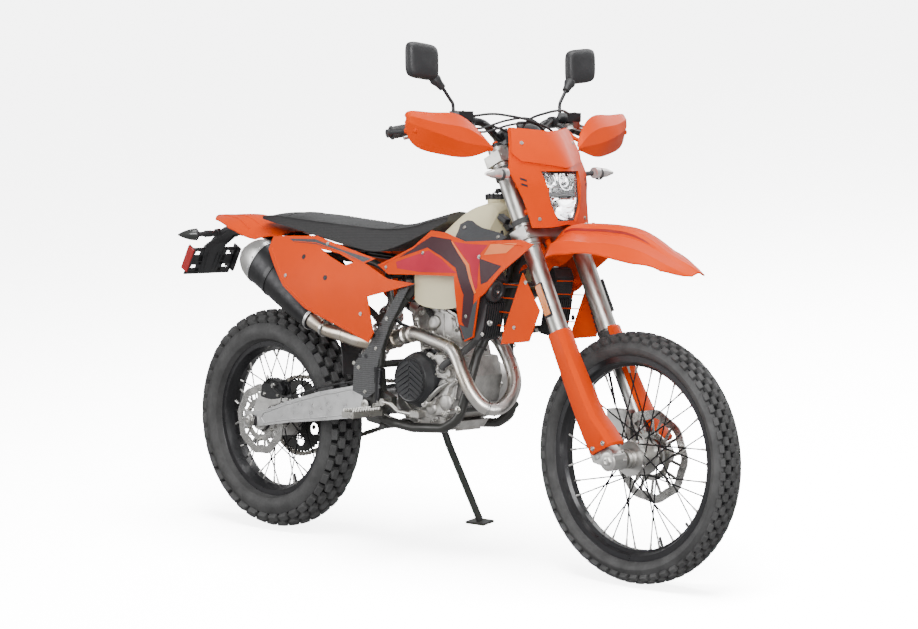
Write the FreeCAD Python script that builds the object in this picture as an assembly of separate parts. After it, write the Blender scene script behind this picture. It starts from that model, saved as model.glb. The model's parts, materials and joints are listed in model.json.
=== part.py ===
import FreeCAD, Part
import math
import os

from FreeCAD import Vector, Rotation, Placement

# Enduro dirt bike, modelled upright and then leaned on to its side stand.
# Units are millimetres. In the upright frame X points forward, Y points to the rider's
# left and Z points up from the ground. The chassis and front end keep their places and
# the swingarm and chain reach back to the rear axle, so the wheelbase sets their length.

# Overall stance
WHEELBASE = 1482.0
FRONT_AXLE_X = 1482.0
REAR_AXLE_X = FRONT_AXLE_X - WHEELBASE
RAKE = 26.1
LEAN = 9.0
REAR_AXLE_Z = 340.3
FRONT_AXLE_Z = 345.0
RUN_GAP = 0.3
SEAT_GAP = 0.3

# Front wheel
FRONT_TYRE_RADIUS = 345.0
FRONT_TYRE_WIDTH = 90.0
FRONT_RIM_RADIUS = 281.5
FRONT_RIM_WIDTH = 54.0
FRONT_AXLE_RADIUS = 12.0
FRONT_HUB_HALF = 60.0
FRONT_HUB_RADIUS = 24.0
FRONT_FLANGE_RADIUS = 48.0
FRONT_DISC_RADIUS = 130.0
FRONT_DISC_Y = 57.0
DISC_CLEARANCE = 4.5

# Rear wheel
REAR_TYRE_RADIUS = 340.0
REAR_TYRE_WIDTH = 136.0
REAR_RIM_RADIUS = 241.5
REAR_RIM_WIDTH = 70.0
REAR_AXLE_RADIUS = 12.5
REAR_HUB_HALF = 88.0
REAR_HUB_RADIUS = 33.0
REAR_FLANGE_RADIUS = 62.0
REAR_DISC_RADIUS = 110.0
REAR_DISC_Y = -80.0
DISC_THICKNESS = 4.0
LIP_WALL = 2.4
RIM_WELL = 12.0
RIM_DEPTH = 30.0
RIM_NOSE_HALF = 10.0

# Chain drive
CHAIN_PITCH = 15.875
CHAIN_Y = 84.0
CHAIN_WIDTH = 18.0
CHAIN_HEIGHT = 14.0
ROLLER_RADIUS = 4.5
REAR_TEETH = 48
FRONT_TEETH = 14
SPROCKET_THICKNESS = 6.0
FRONT_SPROCKET_X = 630.0
FRONT_SPROCKET_Z = 450.0

# Fork and steering head
FORK_SPACING = 196.0
FORK_TUBE_RADIUS = 26.5
FORK_LEG_RADIUS = 24.0
AXLE_LEAD = 32.0
CLAMP_OFFSET = 22.0
STEM_RADIUS = 15.0
HEAD_TUBE_RADIUS = 29.0
HEAD_TUBE_LOW = 705.0
HEAD_TUBE_HIGH = 893.0
LOWER_CLAMP_LOW = 665.0
LOWER_CLAMP_THICKNESS = 36.0
UPPER_CLAMP_LOW = 900.0
UPPER_CLAMP_THICKNESS = 32.0
FORK_TUBE_LOW = 375.0
FORK_TUBE_HIGH = 948.0

# Frame
FRAME_TUBE_RADIUS = 15.0
CRADLE_RADIUS = 14.0
DOWNTUBE_RADIUS = 21.0
SUBFRAME_RADIUS = 10.0
SUBFRAME_TAIL_Z = 916.0
SUBFRAME_TAIL_X = -80.0
SUBFRAME_Y = 88.0
SUBFRAME_MID_Z = 862.0
STRUT_Y = 108.0
SHOCK_EYE_HALF = 13.0
SHOCK_TOP = (566.0, 0.0, 786.0)
SHOCK_LOW = (388.0, 0.0, 494.0)
ENGINE_BAR_RADIUS = 9.0
PIVOT_X = 550.0
PIVOT_Z = 430.0
PIVOT_RADIUS = 22.0
ARM_INNER_Y = 97.5
ARM_OUTER_Y = 119.0
FRAME_SIDE_Y = 135.5
PLATE_OUTER_Y = 140.0
PEG_START = 152.0
RADIATOR_INNER = 102.0
RADIATOR_OUTER = 176.0

# Side stand
STAND_PIVOT = (566.0, 151.0, 352.0)
STAND_FOOT = (598.0, 285.0)
STAND_AXIS = (0.0, 0.966, 0.257)
STAND_LEG_RADIUS = 11.0
STAND_BOLT_RADIUS = 6.0
STAND_EYE_HALF = 8.0

# Body panels
PANEL_WALL = 4.0
GRIP_RADIUS = 16.5
BAR_RADIUS = 11.1
BAR_CLAMP_RADIUS = 14.3


def vec(point):
    return Vector(*point)


def mirrored(shape):
    return shape.mirror(Vector(0, 0, 0), Vector(0, 1, 0))


def both_sides(shape):
    return Part.makeCompound([shape, mirrored(shape)])


def fused(shapes):
    return shapes[0].multiFuse(shapes[1:]).removeSplitter()


def rod(start, end, radius):
    start = vec(start)
    axis = vec(end) - start
    return Part.makeCylinder(radius, axis.Length, start, axis)


def taper(start, end, start_radius, end_radius):
    start = vec(start)
    axis = vec(end) - start
    return Part.makeCone(start_radius, end_radius, axis.Length, start, axis)


def block(x0, x1, y0, y1, z0, z1):
    return Part.makeBox(x1 - x0, y1 - y0, z1 - z0, Vector(x0, y0, z0))


def ring(x, z, outer, inner, y0, y1):
    disc = Part.makeCylinder(outer, y1 - y0, Vector(x, y0, z), Vector(0, 1, 0))
    bore = Part.makeCylinder(inner, y1 - y0, Vector(x, y0, z), Vector(0, 1, 0))
    return disc.cut(bore)


def polygon(points):
    points = [vec(point) for point in points]
    return Part.makePolygon(points + [points[0]])


def side_plate(outline, y0, y1):
    """A plate with its outline in the XZ plane."""
    face = Part.Face(polygon([(x, y0, z) for x, z in outline]))
    return face.extrude(Vector(0, y1 - y0, 0))


def front_plate(outline, x0, x1):
    """A plate with its outline in the YZ plane."""
    face = Part.Face(polygon([(x0, y, z) for y, z in outline]))
    return face.extrude(Vector(x1 - x0, 0, 0))


def top_plate(outline, z0, z1):
    """A plate with its outline in the XY plane."""
    face = Part.Face(polygon([(x, y, z0) for x, y in outline]))
    return face.extrude(Vector(0, 0, z1 - z0))


def route(points, bend):
    """A line of straight runs joined by tangent arcs."""
    points = [vec(point) for point in points]
    edges = []
    last = points[0]
    for before, corner, after in zip(points, points[1:], points[2:]):
        back = (before - corner).normalize()
        ahead = (after - corner).normalize()
        half_turn = (math.pi - back.getAngle(ahead)) / 2
        if half_turn < 0.002:
            continue
        shorter = min((before - corner).Length, (after - corner).Length)
        reach = min(bend * math.tan(half_turn), 0.45 * shorter)
        radius = reach / math.tan(half_turn)
        start = corner + back * reach
        end = corner + ahead * reach
        inward = (back + ahead).normalize()
        middle = corner + inward * (radius / math.cos(half_turn) - radius)
        edges.append(Part.LineSegment(last, start).toShape())
        edges.append(Part.Arc(start, middle, end).toShape())
        last = end
    edges.append(Part.LineSegment(last, points[-1]).toShape())
    return Part.Wire(edges)


def pipe(points, radius, bend=60.0):
    """A round bar along a route."""
    spine = route(points, bend)
    start = vec(points[0])
    direction = vec(points[1]) - start
    circle = Part.Wire([Part.makeCircle(radius, start, direction)])
    return spine.makePipeShell([circle], True, False)


def studs(rows, direction, bars):
    """Bars that end on the back of a curved sheet."""
    backing = pole_surface(rows).extrude(vec(direction))
    return [bar.common(backing) for bar in bars]


def clamped_knots(count, degree):
    """Knots and their multiplicities for a curve that starts and ends on its poles."""
    spans = count - degree
    knots = [float(number) for number in range(spans + 1)]
    repeats = [degree + 1] + [1] * (spans - 1) + [degree + 1]
    return knots, repeats


def pole_surface(rows):
    """A smooth surface over a grid of poles."""
    poles = [[vec(point) for point in row] for row in rows]
    row_knots, row_repeats = clamped_knots(len(poles), 2)
    column_knots, column_repeats = clamped_knots(len(poles[0]), 2)
    surface = Part.BSplineSurface()
    surface.buildFromPolesMultsKnots(poles, row_repeats, column_repeats, row_knots, column_knots,
                                     False, False, 2, 2)
    return surface.toShape()


def smooth_sheet(rows, direction, outline):
    """A curved sheet of even thickness, trimmed to an outline."""
    return pole_surface(rows).extrude(vec(direction)).common(outline)


def creased_sheet(rows, offset):
    """A sheet lofted through rows of points, sharp along each point's line."""
    sections = []
    for row in rows:
        back = [tuple(vec(point) + vec(offset)) for point in reversed(row)]
        sections.append(list(row) + back)
    return loft(sections)


def loft(sections, ruled=False):
    return Part.makeLoft([polygon(section) for section in sections], True, ruled)


def ellipse_section(centre, direction, half_height, half_width):
    """An upright ellipse across a direction in the XZ plane."""
    centre = vec(centre)
    normal = vec(direction).normalize()
    across = Vector(0, 1, 0)
    up = normal.cross(across)
    if up.z < 0:
        up = up * -1
    if half_height >= half_width:
        curve = Part.Ellipse(centre + up * half_height, centre + across * half_width, centre)
    else:
        curve = Part.Ellipse(centre + across * half_width, centre + up * half_height, centre)
    return Part.Wire([curve.toShape()])


# Steering frame: X is ahead of the steering axis, Z runs up along it.
AXLE_AHEAD = AXLE_LEAD + CLAMP_OFFSET
RAKE_SIN = math.sin(math.radians(RAKE))
RAKE_COS = math.cos(math.radians(RAKE))
STEER_X = FRONT_AXLE_X - AXLE_AHEAD * RAKE_COS
STEER_Z = FRONT_AXLE_Z - AXLE_AHEAD * RAKE_SIN
STEER_PLACE = Placement(Vector(STEER_X, 0, STEER_Z), Rotation(Vector(0, 1, 0), -RAKE))
FORK_Y = FORK_SPACING / 2


def steered(shape):
    """Carries a shape from the steering frame to the upright frame."""
    shape = shape.copy()
    shape.transformShape(STEER_PLACE.toMatrix(), True)
    return shape


def on_fork(ahead, side, height):
    """A point of the steering frame in the upright frame."""
    point = STEER_PLACE.multVec(Vector(ahead, side, height))
    return (point.x, point.y, point.z)


# Leaned stance
LEAN_SIN = math.sin(math.radians(LEAN))
LEAN_COS = math.cos(math.radians(LEAN))


def revolved(profile, x, z):
    """Turns a profile of (y, radius) points about a wheel's axle."""
    face = Part.Face(polygon([(x, y, z + radius) for y, radius in profile]))
    return face.revolve(Vector(x, 0, z), Vector(0, 1, 0), 360)


def wheel_point(x, z, y, radius, angle):
    """A point at an angle round a wheel, counted from the top."""
    return Vector(x + radius * math.sin(angle), y, z + radius * math.cos(angle))


def tread(casing, knobs):
    """The tread's outline across the tyre at a gap and at a lug, between the shoulders."""
    gap = []
    lug = []
    for (inner, outer), tips in zip(casing, knobs):
        gap += [inner, outer]
        lug += [inner] + tips + [outer]
    return gap, lug


def shoulder_knob(inner, outer, tips):
    """The outlines of a shoulder's lug base and tips, on the right and the left."""
    right = ((inner, outer), tips)
    left = (((-outer[0], outer[1]), (-inner[0], inner[1])), [(-y, r) for y, r in reversed(tips)])
    return left, right


def side_rows(rim_radius, rim_width, width, depth, pitches):
    """The casing below the tread: sidewall, bead outside the lip, and bead in the rim's well."""
    bead = rim_width / 2 - LIP_WALL - SEAT_GAP
    flat = math.cos(math.pi / pitches)
    return [
        (0.46 * width, rim_radius + 0.25 * depth),
        (bead, (rim_radius + 1.0) / flat),
        (bead - 1.7, (rim_radius - RIM_WELL + SEAT_GAP) / flat),
    ]


def knobbed_tyre(x, z, pitches, shape, sides):
    """A flat-faced casing whose every pitch carries one row of lugs across it."""
    gap, lug = tread([base for base, tips in shape], [tips for base, tips in shape])
    right = sides
    left = [(-y, r) for y, r in sides]
    shoulder = gap[-1]
    faces = []
    for number in range(pitches):
        middle = 2 * math.pi * number / pitches
        first = middle - math.pi * LUG_SHARE / pitches
        second = middle + math.pi * LUG_SHARE / pitches
        third = first + 2 * math.pi / pitches

        def strip(low, high, start, stop):
            corners = [wheel_point(x, z, *low, start), wheel_point(x, z, *low, stop),
                       wheel_point(x, z, *high, stop), wheel_point(x, z, *high, start)]
            faces.append(Part.Face(polygon(corners)))

        for low, high in zip(lug, lug[1:]):
            strip(low, high, first, second)
        for low, high in zip(gap, gap[1:]):
            strip(low, high, second, third)
        for (inner, outer), tips in shape:
            for angle in (first, second):
                ends = [wheel_point(x, z, y, r, angle) for y, r in [inner] + tips + [outer]]
                faces.append(Part.Face(polygon(ends)))
        for edge, rows in (((-shoulder[0], shoulder[1]), left), (shoulder, right)):
            top = [wheel_point(x, z, *edge, angle) for angle in (first, second, third)]
            low = [wheel_point(x, z, *rows[0], angle) for angle in (first, third)]
            faces.append(Part.Face(polygon([top[0], top[1], low[0]])))
            faces.append(Part.Face(polygon([top[1], low[1], low[0]])))
            faces.append(Part.Face(polygon([top[1], top[2], low[1]])))
            for above, below in zip(rows, rows[1:]):
                strip(above, below, first, third)
        strip(left[-1], right[-1], first, third)
    shell = Part.makeShell(faces)
    shell.sewShape()
    tyre = Part.makeSolid(shell)
    if tyre.Volume < 0:
        tyre.reverse()
    return tyre


LUG_SHARE = 0.62
FRONT_PITCHES = 48
REAR_PITCHES = 40


def front_tread():
    """Lug bases on the casing and lug tips, as (y, radius), across the front tyre."""
    radius = FRONT_TYRE_RADIUS
    centre = (((-18.0, radius - 9.5), (18.0, radius - 9.5)), [(-15.0, radius - 0.8), (15.0, radius - 0.8)])
    left, right = shoulder_knob((22.5, radius - 12.0), (40.5, radius - 31.0),
                                [(25.0, radius - 4.0), (41.5, radius - 19.5)])
    return [left, centre, right]


def rear_tread():
    """Lug bases on the casing and lug tips, as (y, radius), across the rear tyre."""
    radius = REAR_TYRE_RADIUS
    centre = (((-27.0, radius - 12.5), (27.0, radius - 12.5)), [(-23.0, radius - 0.8), (23.0, radius - 0.8)])
    left, right = shoulder_knob((33.0, radius - 16.0), (60.0, radius - 54.0),
                                [(37.0, radius - 7.0), (62.0, radius - 31.0)])
    return [left, centre, right]


def rim(x, z, rim_radius, rim_width):
    lip = rim_width / 2
    profile = [
        (-lip, rim_radius),
        (-lip, rim_radius - 16.0),
        (-lip + 10.0, rim_radius - 22.0),
        (-RIM_NOSE_HALF, rim_radius - RIM_DEPTH),
        (RIM_NOSE_HALF, rim_radius - RIM_DEPTH),
        (lip - 10.0, rim_radius - 22.0),
        (lip, rim_radius - 16.0),
        (lip, rim_radius),
        (lip - LIP_WALL, rim_radius),
        (lip - LIP_WALL - 1.5, rim_radius - RIM_WELL),
        (-lip + LIP_WALL + 1.5, rim_radius - RIM_WELL),
        (-lip + LIP_WALL, rim_radius),
    ]
    return revolved(profile, x, z)


SPOKE_COUNT = 36
SPOKE_RADIUS = 2.0
SPOKE_SWEEP = 48.0


def spokes(x, z, flange_radius, flange_y, rim_radius):
    """Crossed spokes from the hub flanges to the rim."""
    hub_radius = flange_radius + SPOKE_RADIUS + SEAT_GAP
    rim_inner = rim_radius - RIM_DEPTH - SPOKE_RADIUS / 2
    rim_y = 0.6 * RIM_NOSE_HALF
    bars = []
    groups = [(-1, 1, 0.0), (1, 1, 0.0), (-1, -1, 7.5), (1, -1, 7.5)]
    for number in range(SPOKE_COUNT):
        side, turn, inward = groups[number % 4]
        angle = math.radians(360.0 * number / SPOKE_COUNT)
        hub_angle = angle - turn * math.radians(SPOKE_SWEEP)
        hub_y = side * (flange_y - inward)
        start = (x + hub_radius * math.sin(hub_angle), hub_y, z + hub_radius * math.cos(hub_angle))
        end = (x + rim_inner * math.sin(angle), side * rim_y, z + rim_inner * math.cos(angle))
        bars.append(rod(start, end, SPOKE_RADIUS))
    return Part.makeCompound(bars)


def wave_outline(x, z, y, radius, depth, waves):
    """The outer line of a petal disc."""
    points = []
    steps = waves * 6
    for number in range(steps):
        angle = 2 * math.pi * number / steps
        reach = radius - depth * (0.5 - 0.5 * math.cos(waves * angle)) ** 2
        points.append((x + reach * math.sin(angle), y, z + reach * math.cos(angle)))
    return polygon(points)


def brake_disc(x, z, y, radius, hub_radius, waves):
    """A petal disc with its carrier."""
    low = y - DISC_THICKNESS / 2
    blank = Part.Face(wave_outline(x, z, low, radius, 6.0, waves))
    blank = blank.extrude(Vector(0, DISC_THICKNESS, 0))
    bore = Part.makeCylinder(hub_radius, DISC_THICKNESS, Vector(x, low, z), Vector(0, 1, 0))
    holes = [bore]
    window_radius = (hub_radius + radius) * 0.5 - 7.0
    for number in range(6):
        angle = 2 * math.pi * (number + 0.5) / 6
        centre = Vector(x + window_radius * math.sin(angle), low, z + window_radius * math.cos(angle))
        holes.append(Part.makeCylinder(15.0, DISC_THICKNESS, centre, Vector(0, 1, 0)))
    return blank.cut(Part.makeCompound(holes))


def toothed_wheel(x, z, y, teeth, root, tip, bore):
    points = []
    for number in range(teeth):
        for share, reach in ((0.0, root), (0.3, tip), (0.5, tip), (0.8, root)):
            angle = 2 * math.pi * (number + share) / teeth
            points.append((x + reach * math.sin(angle), y, z + reach * math.cos(angle)))
    wheel = Part.Face(polygon(points)).extrude(Vector(0, SPROCKET_THICKNESS, 0))
    hole = Part.makeCylinder(bore, SPROCKET_THICKNESS, Vector(x, y, z), Vector(0, 1, 0))
    return wheel.cut(hole)


def pitch_radius(teeth):
    return CHAIN_PITCH / (2 * math.sin(math.pi / teeth))


# Wheels

def front_tyre():
    depth = FRONT_TYRE_RADIUS - FRONT_RIM_RADIUS
    sides = side_rows(FRONT_RIM_RADIUS, FRONT_RIM_WIDTH, FRONT_TYRE_WIDTH, depth, FRONT_PITCHES)
    return knobbed_tyre(FRONT_AXLE_X, FRONT_AXLE_Z, FRONT_PITCHES, front_tread(), sides)


def rear_tyre():
    depth = REAR_TYRE_RADIUS - REAR_RIM_RADIUS
    sides = side_rows(REAR_RIM_RADIUS, REAR_RIM_WIDTH, REAR_TYRE_WIDTH, depth, REAR_PITCHES)
    return knobbed_tyre(REAR_AXLE_X, REAR_AXLE_Z, REAR_PITCHES, rear_tread(), sides)


def front_rim():
    return rim(FRONT_AXLE_X, FRONT_AXLE_Z, FRONT_RIM_RADIUS, FRONT_RIM_WIDTH)


def rear_rim():
    return rim(REAR_AXLE_X, REAR_AXLE_Z, REAR_RIM_RADIUS, REAR_RIM_WIDTH)


FLANGE_Y = 30.0
REAR_FLANGE_Y = 34.0


def hub(x, z, half, radius, flange, flange_y, axle_radius):
    bore = axle_radius + RUN_GAP
    profile = [
        (-half, bore),
        (-half, radius),
        (-flange_y - 4.0, radius),
        (-flange_y - 4.0, flange),
        (-flange_y + 12.0, flange),
        (-flange_y + 18.0, radius),
        (flange_y - 18.0, radius),
        (flange_y - 12.0, flange),
        (flange_y + 4.0, flange),
        (flange_y + 4.0, radius),
        (half, radius),
        (half, bore),
    ]
    return revolved(profile, x, z)


def front_hub():
    return hub(FRONT_AXLE_X, FRONT_AXLE_Z, FRONT_HUB_HALF, FRONT_HUB_RADIUS,
               FRONT_FLANGE_RADIUS, FLANGE_Y, FRONT_AXLE_RADIUS)


def rear_hub():
    return hub(REAR_AXLE_X, REAR_AXLE_Z, REAR_HUB_HALF, REAR_HUB_RADIUS,
               REAR_FLANGE_RADIUS, REAR_FLANGE_Y, REAR_AXLE_RADIUS)


def front_spokes():
    return spokes(FRONT_AXLE_X, FRONT_AXLE_Z, FRONT_FLANGE_RADIUS, FLANGE_Y, FRONT_RIM_RADIUS)


def rear_spokes():
    return spokes(REAR_AXLE_X, REAR_AXLE_Z, REAR_FLANGE_RADIUS, REAR_FLANGE_Y, REAR_RIM_RADIUS)


def front_disc():
    return brake_disc(FRONT_AXLE_X, FRONT_AXLE_Z, FRONT_DISC_Y, FRONT_DISC_RADIUS,
                      FRONT_HUB_RADIUS + SEAT_GAP, 12)


def rear_disc():
    return brake_disc(REAR_AXLE_X, REAR_AXLE_Z, REAR_DISC_Y, REAR_DISC_RADIUS,
                      REAR_HUB_RADIUS + SEAT_GAP, 10)


def rear_sprocket():
    tip = pitch_radius(REAR_TEETH) - ROLLER_RADIUS - 1.2
    wheel = toothed_wheel(REAR_AXLE_X, REAR_AXLE_Z, CHAIN_Y - SPROCKET_THICKNESS / 2, REAR_TEETH,
                          tip - 7.0, tip, REAR_HUB_RADIUS + SEAT_GAP)
    holes = []
    for number in range(6):
        angle = math.pi * number / 3
        centre = Vector(REAR_AXLE_X + 76.0 * math.sin(angle), CHAIN_Y - SPROCKET_THICKNESS,
                        REAR_AXLE_Z + 76.0 * math.cos(angle))
        holes.append(Part.makeCylinder(20.0, 2 * SPROCKET_THICKNESS, centre, Vector(0, 1, 0)))
    return wheel.cut(Part.makeCompound(holes))


def front_axle():
    reach = FORK_Y + FORK_LEG_RADIUS + 4.0
    shaft = rod((FRONT_AXLE_X, -reach, FRONT_AXLE_Z), (FRONT_AXLE_X, reach, FRONT_AXLE_Z), FRONT_AXLE_RADIUS)
    nut = rod((FRONT_AXLE_X, reach, FRONT_AXLE_Z), (FRONT_AXLE_X, reach + 7.0, FRONT_AXLE_Z), 15.0)
    bore = rod((FRONT_AXLE_X, -reach - 1, FRONT_AXLE_Z), (FRONT_AXLE_X, reach + 8.0, FRONT_AXLE_Z), 7.5)
    return fused([shaft, nut]).cut(bore)


def rear_axle():
    reach = ARM_OUTER_Y + 8.0
    x = REAR_AXLE_X
    shaft = rod((x, -reach, REAR_AXLE_Z), (x, reach, REAR_AXLE_Z), REAR_AXLE_RADIUS)
    nut = rod((x, reach - 8.0 + SEAT_GAP, REAR_AXLE_Z), (x, reach + 8.0, REAR_AXLE_Z), 18.0)
    head = rod((x, -reach - 4.0, REAR_AXLE_Z), (x, -reach + 8.0 - SEAT_GAP, REAR_AXLE_Z), 18.0)
    bore = rod((x, -reach - 5, REAR_AXLE_Z), (x, reach + 9, REAR_AXLE_Z), 7.5)
    return fused([shaft, nut, head]).cut(bore)


# Chain loop

def chain_loop(offset):
    """The chain's side view as an outline, bent in equal steps round each sprocket."""
    big = pitch_radius(REAR_TEETH) + offset
    small = pitch_radius(FRONT_TEETH) + offset
    span_x = FRONT_SPROCKET_X - REAR_AXLE_X
    span_z = FRONT_SPROCKET_Z - REAR_AXLE_Z
    slope = math.atan2(span_z, span_x)
    spread = math.acos((big - small) / math.hypot(span_x, span_z))
    points = []
    for x, z, radius, start, turn, steps in (
            (REAR_AXLE_X, REAR_AXLE_Z, big, slope + spread, 2 * math.pi - 2 * spread, REAR_BENDS),
            (FRONT_SPROCKET_X, FRONT_SPROCKET_Z, small, slope - spread, 2 * spread, FRONT_BENDS)):
        for number in range(steps + 1):
            angle = start + turn * number / steps
            points.append((x + radius * math.cos(angle), z + radius * math.sin(angle)))
    return points


REAR_BENDS = 18
FRONT_BENDS = 8


def chain_band(inner, outer, y0, y1):
    return side_plate(chain_loop(outer), y0, y1).cut(side_plate(chain_loop(inner), y0, y1))


def chain():
    half = CHAIN_WIDTH / 2
    plate = 4.5
    low = chain_band(-CHAIN_HEIGHT / 2, CHAIN_HEIGHT / 2, CHAIN_Y - half, CHAIN_Y - half + plate)
    high = chain_band(-CHAIN_HEIGHT / 2, CHAIN_HEIGHT / 2, CHAIN_Y + half - plate, CHAIN_Y + half)
    rollers = chain_band(-ROLLER_RADIUS, ROLLER_RADIUS, CHAIN_Y - half + plate, CHAIN_Y + half - plate)
    return fused([low, rollers, high])


def front_sprocket():
    tip = pitch_radius(FRONT_TEETH) - ROLLER_RADIUS - 1.0
    wheel = toothed_wheel(FRONT_SPROCKET_X, FRONT_SPROCKET_Z, CHAIN_Y - SPROCKET_THICKNESS / 2,
                          FRONT_TEETH, tip - 6.0, tip, 12.0)
    shaft = rod((FRONT_SPROCKET_X, CASE_HALF + SEAT_GAP, FRONT_SPROCKET_Z),
                (FRONT_SPROCKET_X, CHAIN_Y + 10.0, FRONT_SPROCKET_Z), 12.0)
    return fused([wheel, shaft])


# Steering

def fork_tubes():
    tube = rod((CLAMP_OFFSET, FORK_Y, FORK_TUBE_LOW), (CLAMP_OFFSET, FORK_Y, FORK_TUBE_HIGH), FORK_TUBE_RADIUS)
    bore = rod((CLAMP_OFFSET, FORK_Y, FORK_TUBE_LOW - 1), (CLAMP_OFFSET, FORK_Y, FORK_TUBE_LOW + 120.0),
               FORK_LEG_RADIUS + SEAT_GAP)
    return steered(both_sides(tube.cut(bore)))


def fork_legs():
    leg = rod((CLAMP_OFFSET, FORK_Y, 20.0), (CLAMP_OFFSET, FORK_Y, FORK_TUBE_LOW + 115.0), FORK_LEG_RADIUS)
    eye = Part.makeCylinder(27.0, 50.0, Vector(AXLE_AHEAD, FORK_Y - 25.0, 0), Vector(0, 1, 0))
    web = side_plate([(CLAMP_OFFSET - 24, 18), (CLAMP_OFFSET - 24, 80), (CLAMP_OFFSET + 24, 80),
                      (AXLE_AHEAD + 25, 12), (AXLE_AHEAD, -25)], FORK_Y - 20.0, FORK_Y + 20.0)
    bore = Part.makeCylinder(FRONT_AXLE_RADIUS + SEAT_GAP, 60.0,
                             Vector(AXLE_AHEAD, FORK_Y - 30.0, 0), Vector(0, 1, 0))
    return steered(both_sides(fused([leg, eye, web]).cut(bore)))


def fork_guards():
    outer = [(-8, 96), (-8, 124), (0, 132), (40, 135), (74, 130), (96, 116), (104, 98), (104, 78)]
    inner = [(x - 4 if x > 60 else x + 4 if x < -4 else x, y - 4 if y > 120 else y) for x, y in reversed(outer)]
    shell = top_plate(outer + inner, 8.0, 380.0)
    trim = side_plate([(-20, 70), (-14, 230), (-20, 356), (6, 374), (50, 370), (90, 352), (108, 300), (104, 180),
                       (108, 44), (90, 24), (0, 20)], 60.0, 140.0)
    stay = rod((CLAMP_OFFSET, FORK_Y + FORK_LEG_RADIUS + SEAT_GAP, 50.0), (CLAMP_OFFSET, 132.0, 50.0), 8.0)
    return steered(both_sides(fused([shell.common(trim), stay])))


def clamp(low, thickness, front):
    """A fork clamp across both tubes."""
    outline = [(-26, -22), (-26, 22), (-10, 70), (-8, FORK_Y + 33), (CLAMP_OFFSET + 31, FORK_Y + 33),
               (CLAMP_OFFSET + 33, FORK_Y - 30), (front, 20), (front, -20),
               (CLAMP_OFFSET + 33, 30 - FORK_Y), (CLAMP_OFFSET + 31, -FORK_Y - 33),
               (-8, -FORK_Y - 33), (-10, -70)]
    body = top_plate(outline, low, low + thickness)
    for side in (-1, 1):
        bore = Part.makeCylinder(FORK_TUBE_RADIUS + SEAT_GAP, thickness, Vector(CLAMP_OFFSET, side * FORK_Y, low))
        body = body.cut(bore)
    return body


def triple_clamps():
    lower = clamp(LOWER_CLAMP_LOW, LOWER_CLAMP_THICKNESS, 50.0)
    upper = clamp(UPPER_CLAMP_LOW, UPPER_CLAMP_THICKNESS, 34.0)
    stem = rod((0, 0, LOWER_CLAMP_LOW + 2), (0, 0, UPPER_CLAMP_LOW + UPPER_CLAMP_THICKNESS + 8), STEM_RADIUS)
    risers = []
    for side in (-1, 1):
        risers.append(rod((4, side * 42, UPPER_CLAMP_LOW + 5), (4, side * 42, BAR_LOW), 14.0))
    return steered(fused([stem, lower, upper] + risers))


# Handlebar
BAR_HEIGHT = 986.0
BAR_AHEAD = 6.0
BAR_LOW = BAR_HEIGHT - BAR_CLAMP_RADIUS - 8.0
BAR_CENTRE = on_fork(BAR_AHEAD, 0, BAR_HEIGHT)
BAR_BEND = (1010.0, 125.0, 1258.0)
BAR_ELBOW = (990.0, 205.0, 1260.0)
BAR_END = (930.0, 405.0, 1226.0)


def bar_point(share):
    """A point on the grip stretch, from the elbow to the end."""
    return tuple(a + (b - a) * share for a, b in zip(BAR_ELBOW, BAR_END))


def inner_bar_point(share):
    """A point on the rising stretch, from the bend to the elbow."""
    return tuple(a + (b - a) * share for a, b in zip(BAR_BEND, BAR_ELBOW))


def handlebar():
    mid = (BAR_CENTRE[0], 0.0, BAR_CENTRE[2])
    shoulder = (mid[0], 62.0, mid[2])
    half = [shoulder, BAR_BEND, BAR_ELBOW, BAR_END]
    other = [(x, -y, z) for x, y, z in reversed(half)]
    bar = pipe(other + half, BAR_RADIUS, 70.0)
    middle = rod((mid[0], -58, mid[2]), (mid[0], 58, mid[2]), BAR_CLAMP_RADIUS)
    clamps = []
    for side in (-42.0, 42.0):
        clamps.append(steered(block(BAR_AHEAD - 22, BAR_AHEAD + 22, side - 15, side + 15,
                                    BAR_LOW + SEAT_GAP, BAR_HEIGHT + BAR_CLAMP_RADIUS + 8)))
    return fused([bar, middle] + clamps)


GRIP_START = 0.36
GRIP_END = 0.985


def grips():
    grip = rod(bar_point(GRIP_START), bar_point(GRIP_END), GRIP_RADIUS)
    flange = rod(bar_point(GRIP_START), bar_point(GRIP_START + 0.03), GRIP_RADIUS + 7.0)
    bore = rod(bar_point(GRIP_START - 0.05), bar_point(1.2), BAR_RADIUS + SEAT_GAP)
    return both_sides(fused([grip, flange]).cut(bore))


def levers():
    """Hand levers on their perches."""
    low = bar_point(0.02)
    high = bar_point(0.24)
    perch = rod(low, high, 19.0)
    bore = rod(bar_point(-0.1), bar_point(0.4), BAR_RADIUS + SEAT_GAP)
    arm = block(low[0] + 4, low[0] + 44, low[1] + 12, low[1] + 40, low[2] - 18, low[2] + 6)
    reservoir = block(low[0] + 10, low[0] + 48, low[1] - 16, low[1] + 40, low[2] + 2, low[2] + 28)
    lever = pipe([(1024, 240, 1243), (1030, 275, 1236), (1000, 330, 1226), (975, 400, 1212)], 5.5, 60.0)
    return both_sides(fused([perch, arm, reservoir, lever]).cut(bore))


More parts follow.
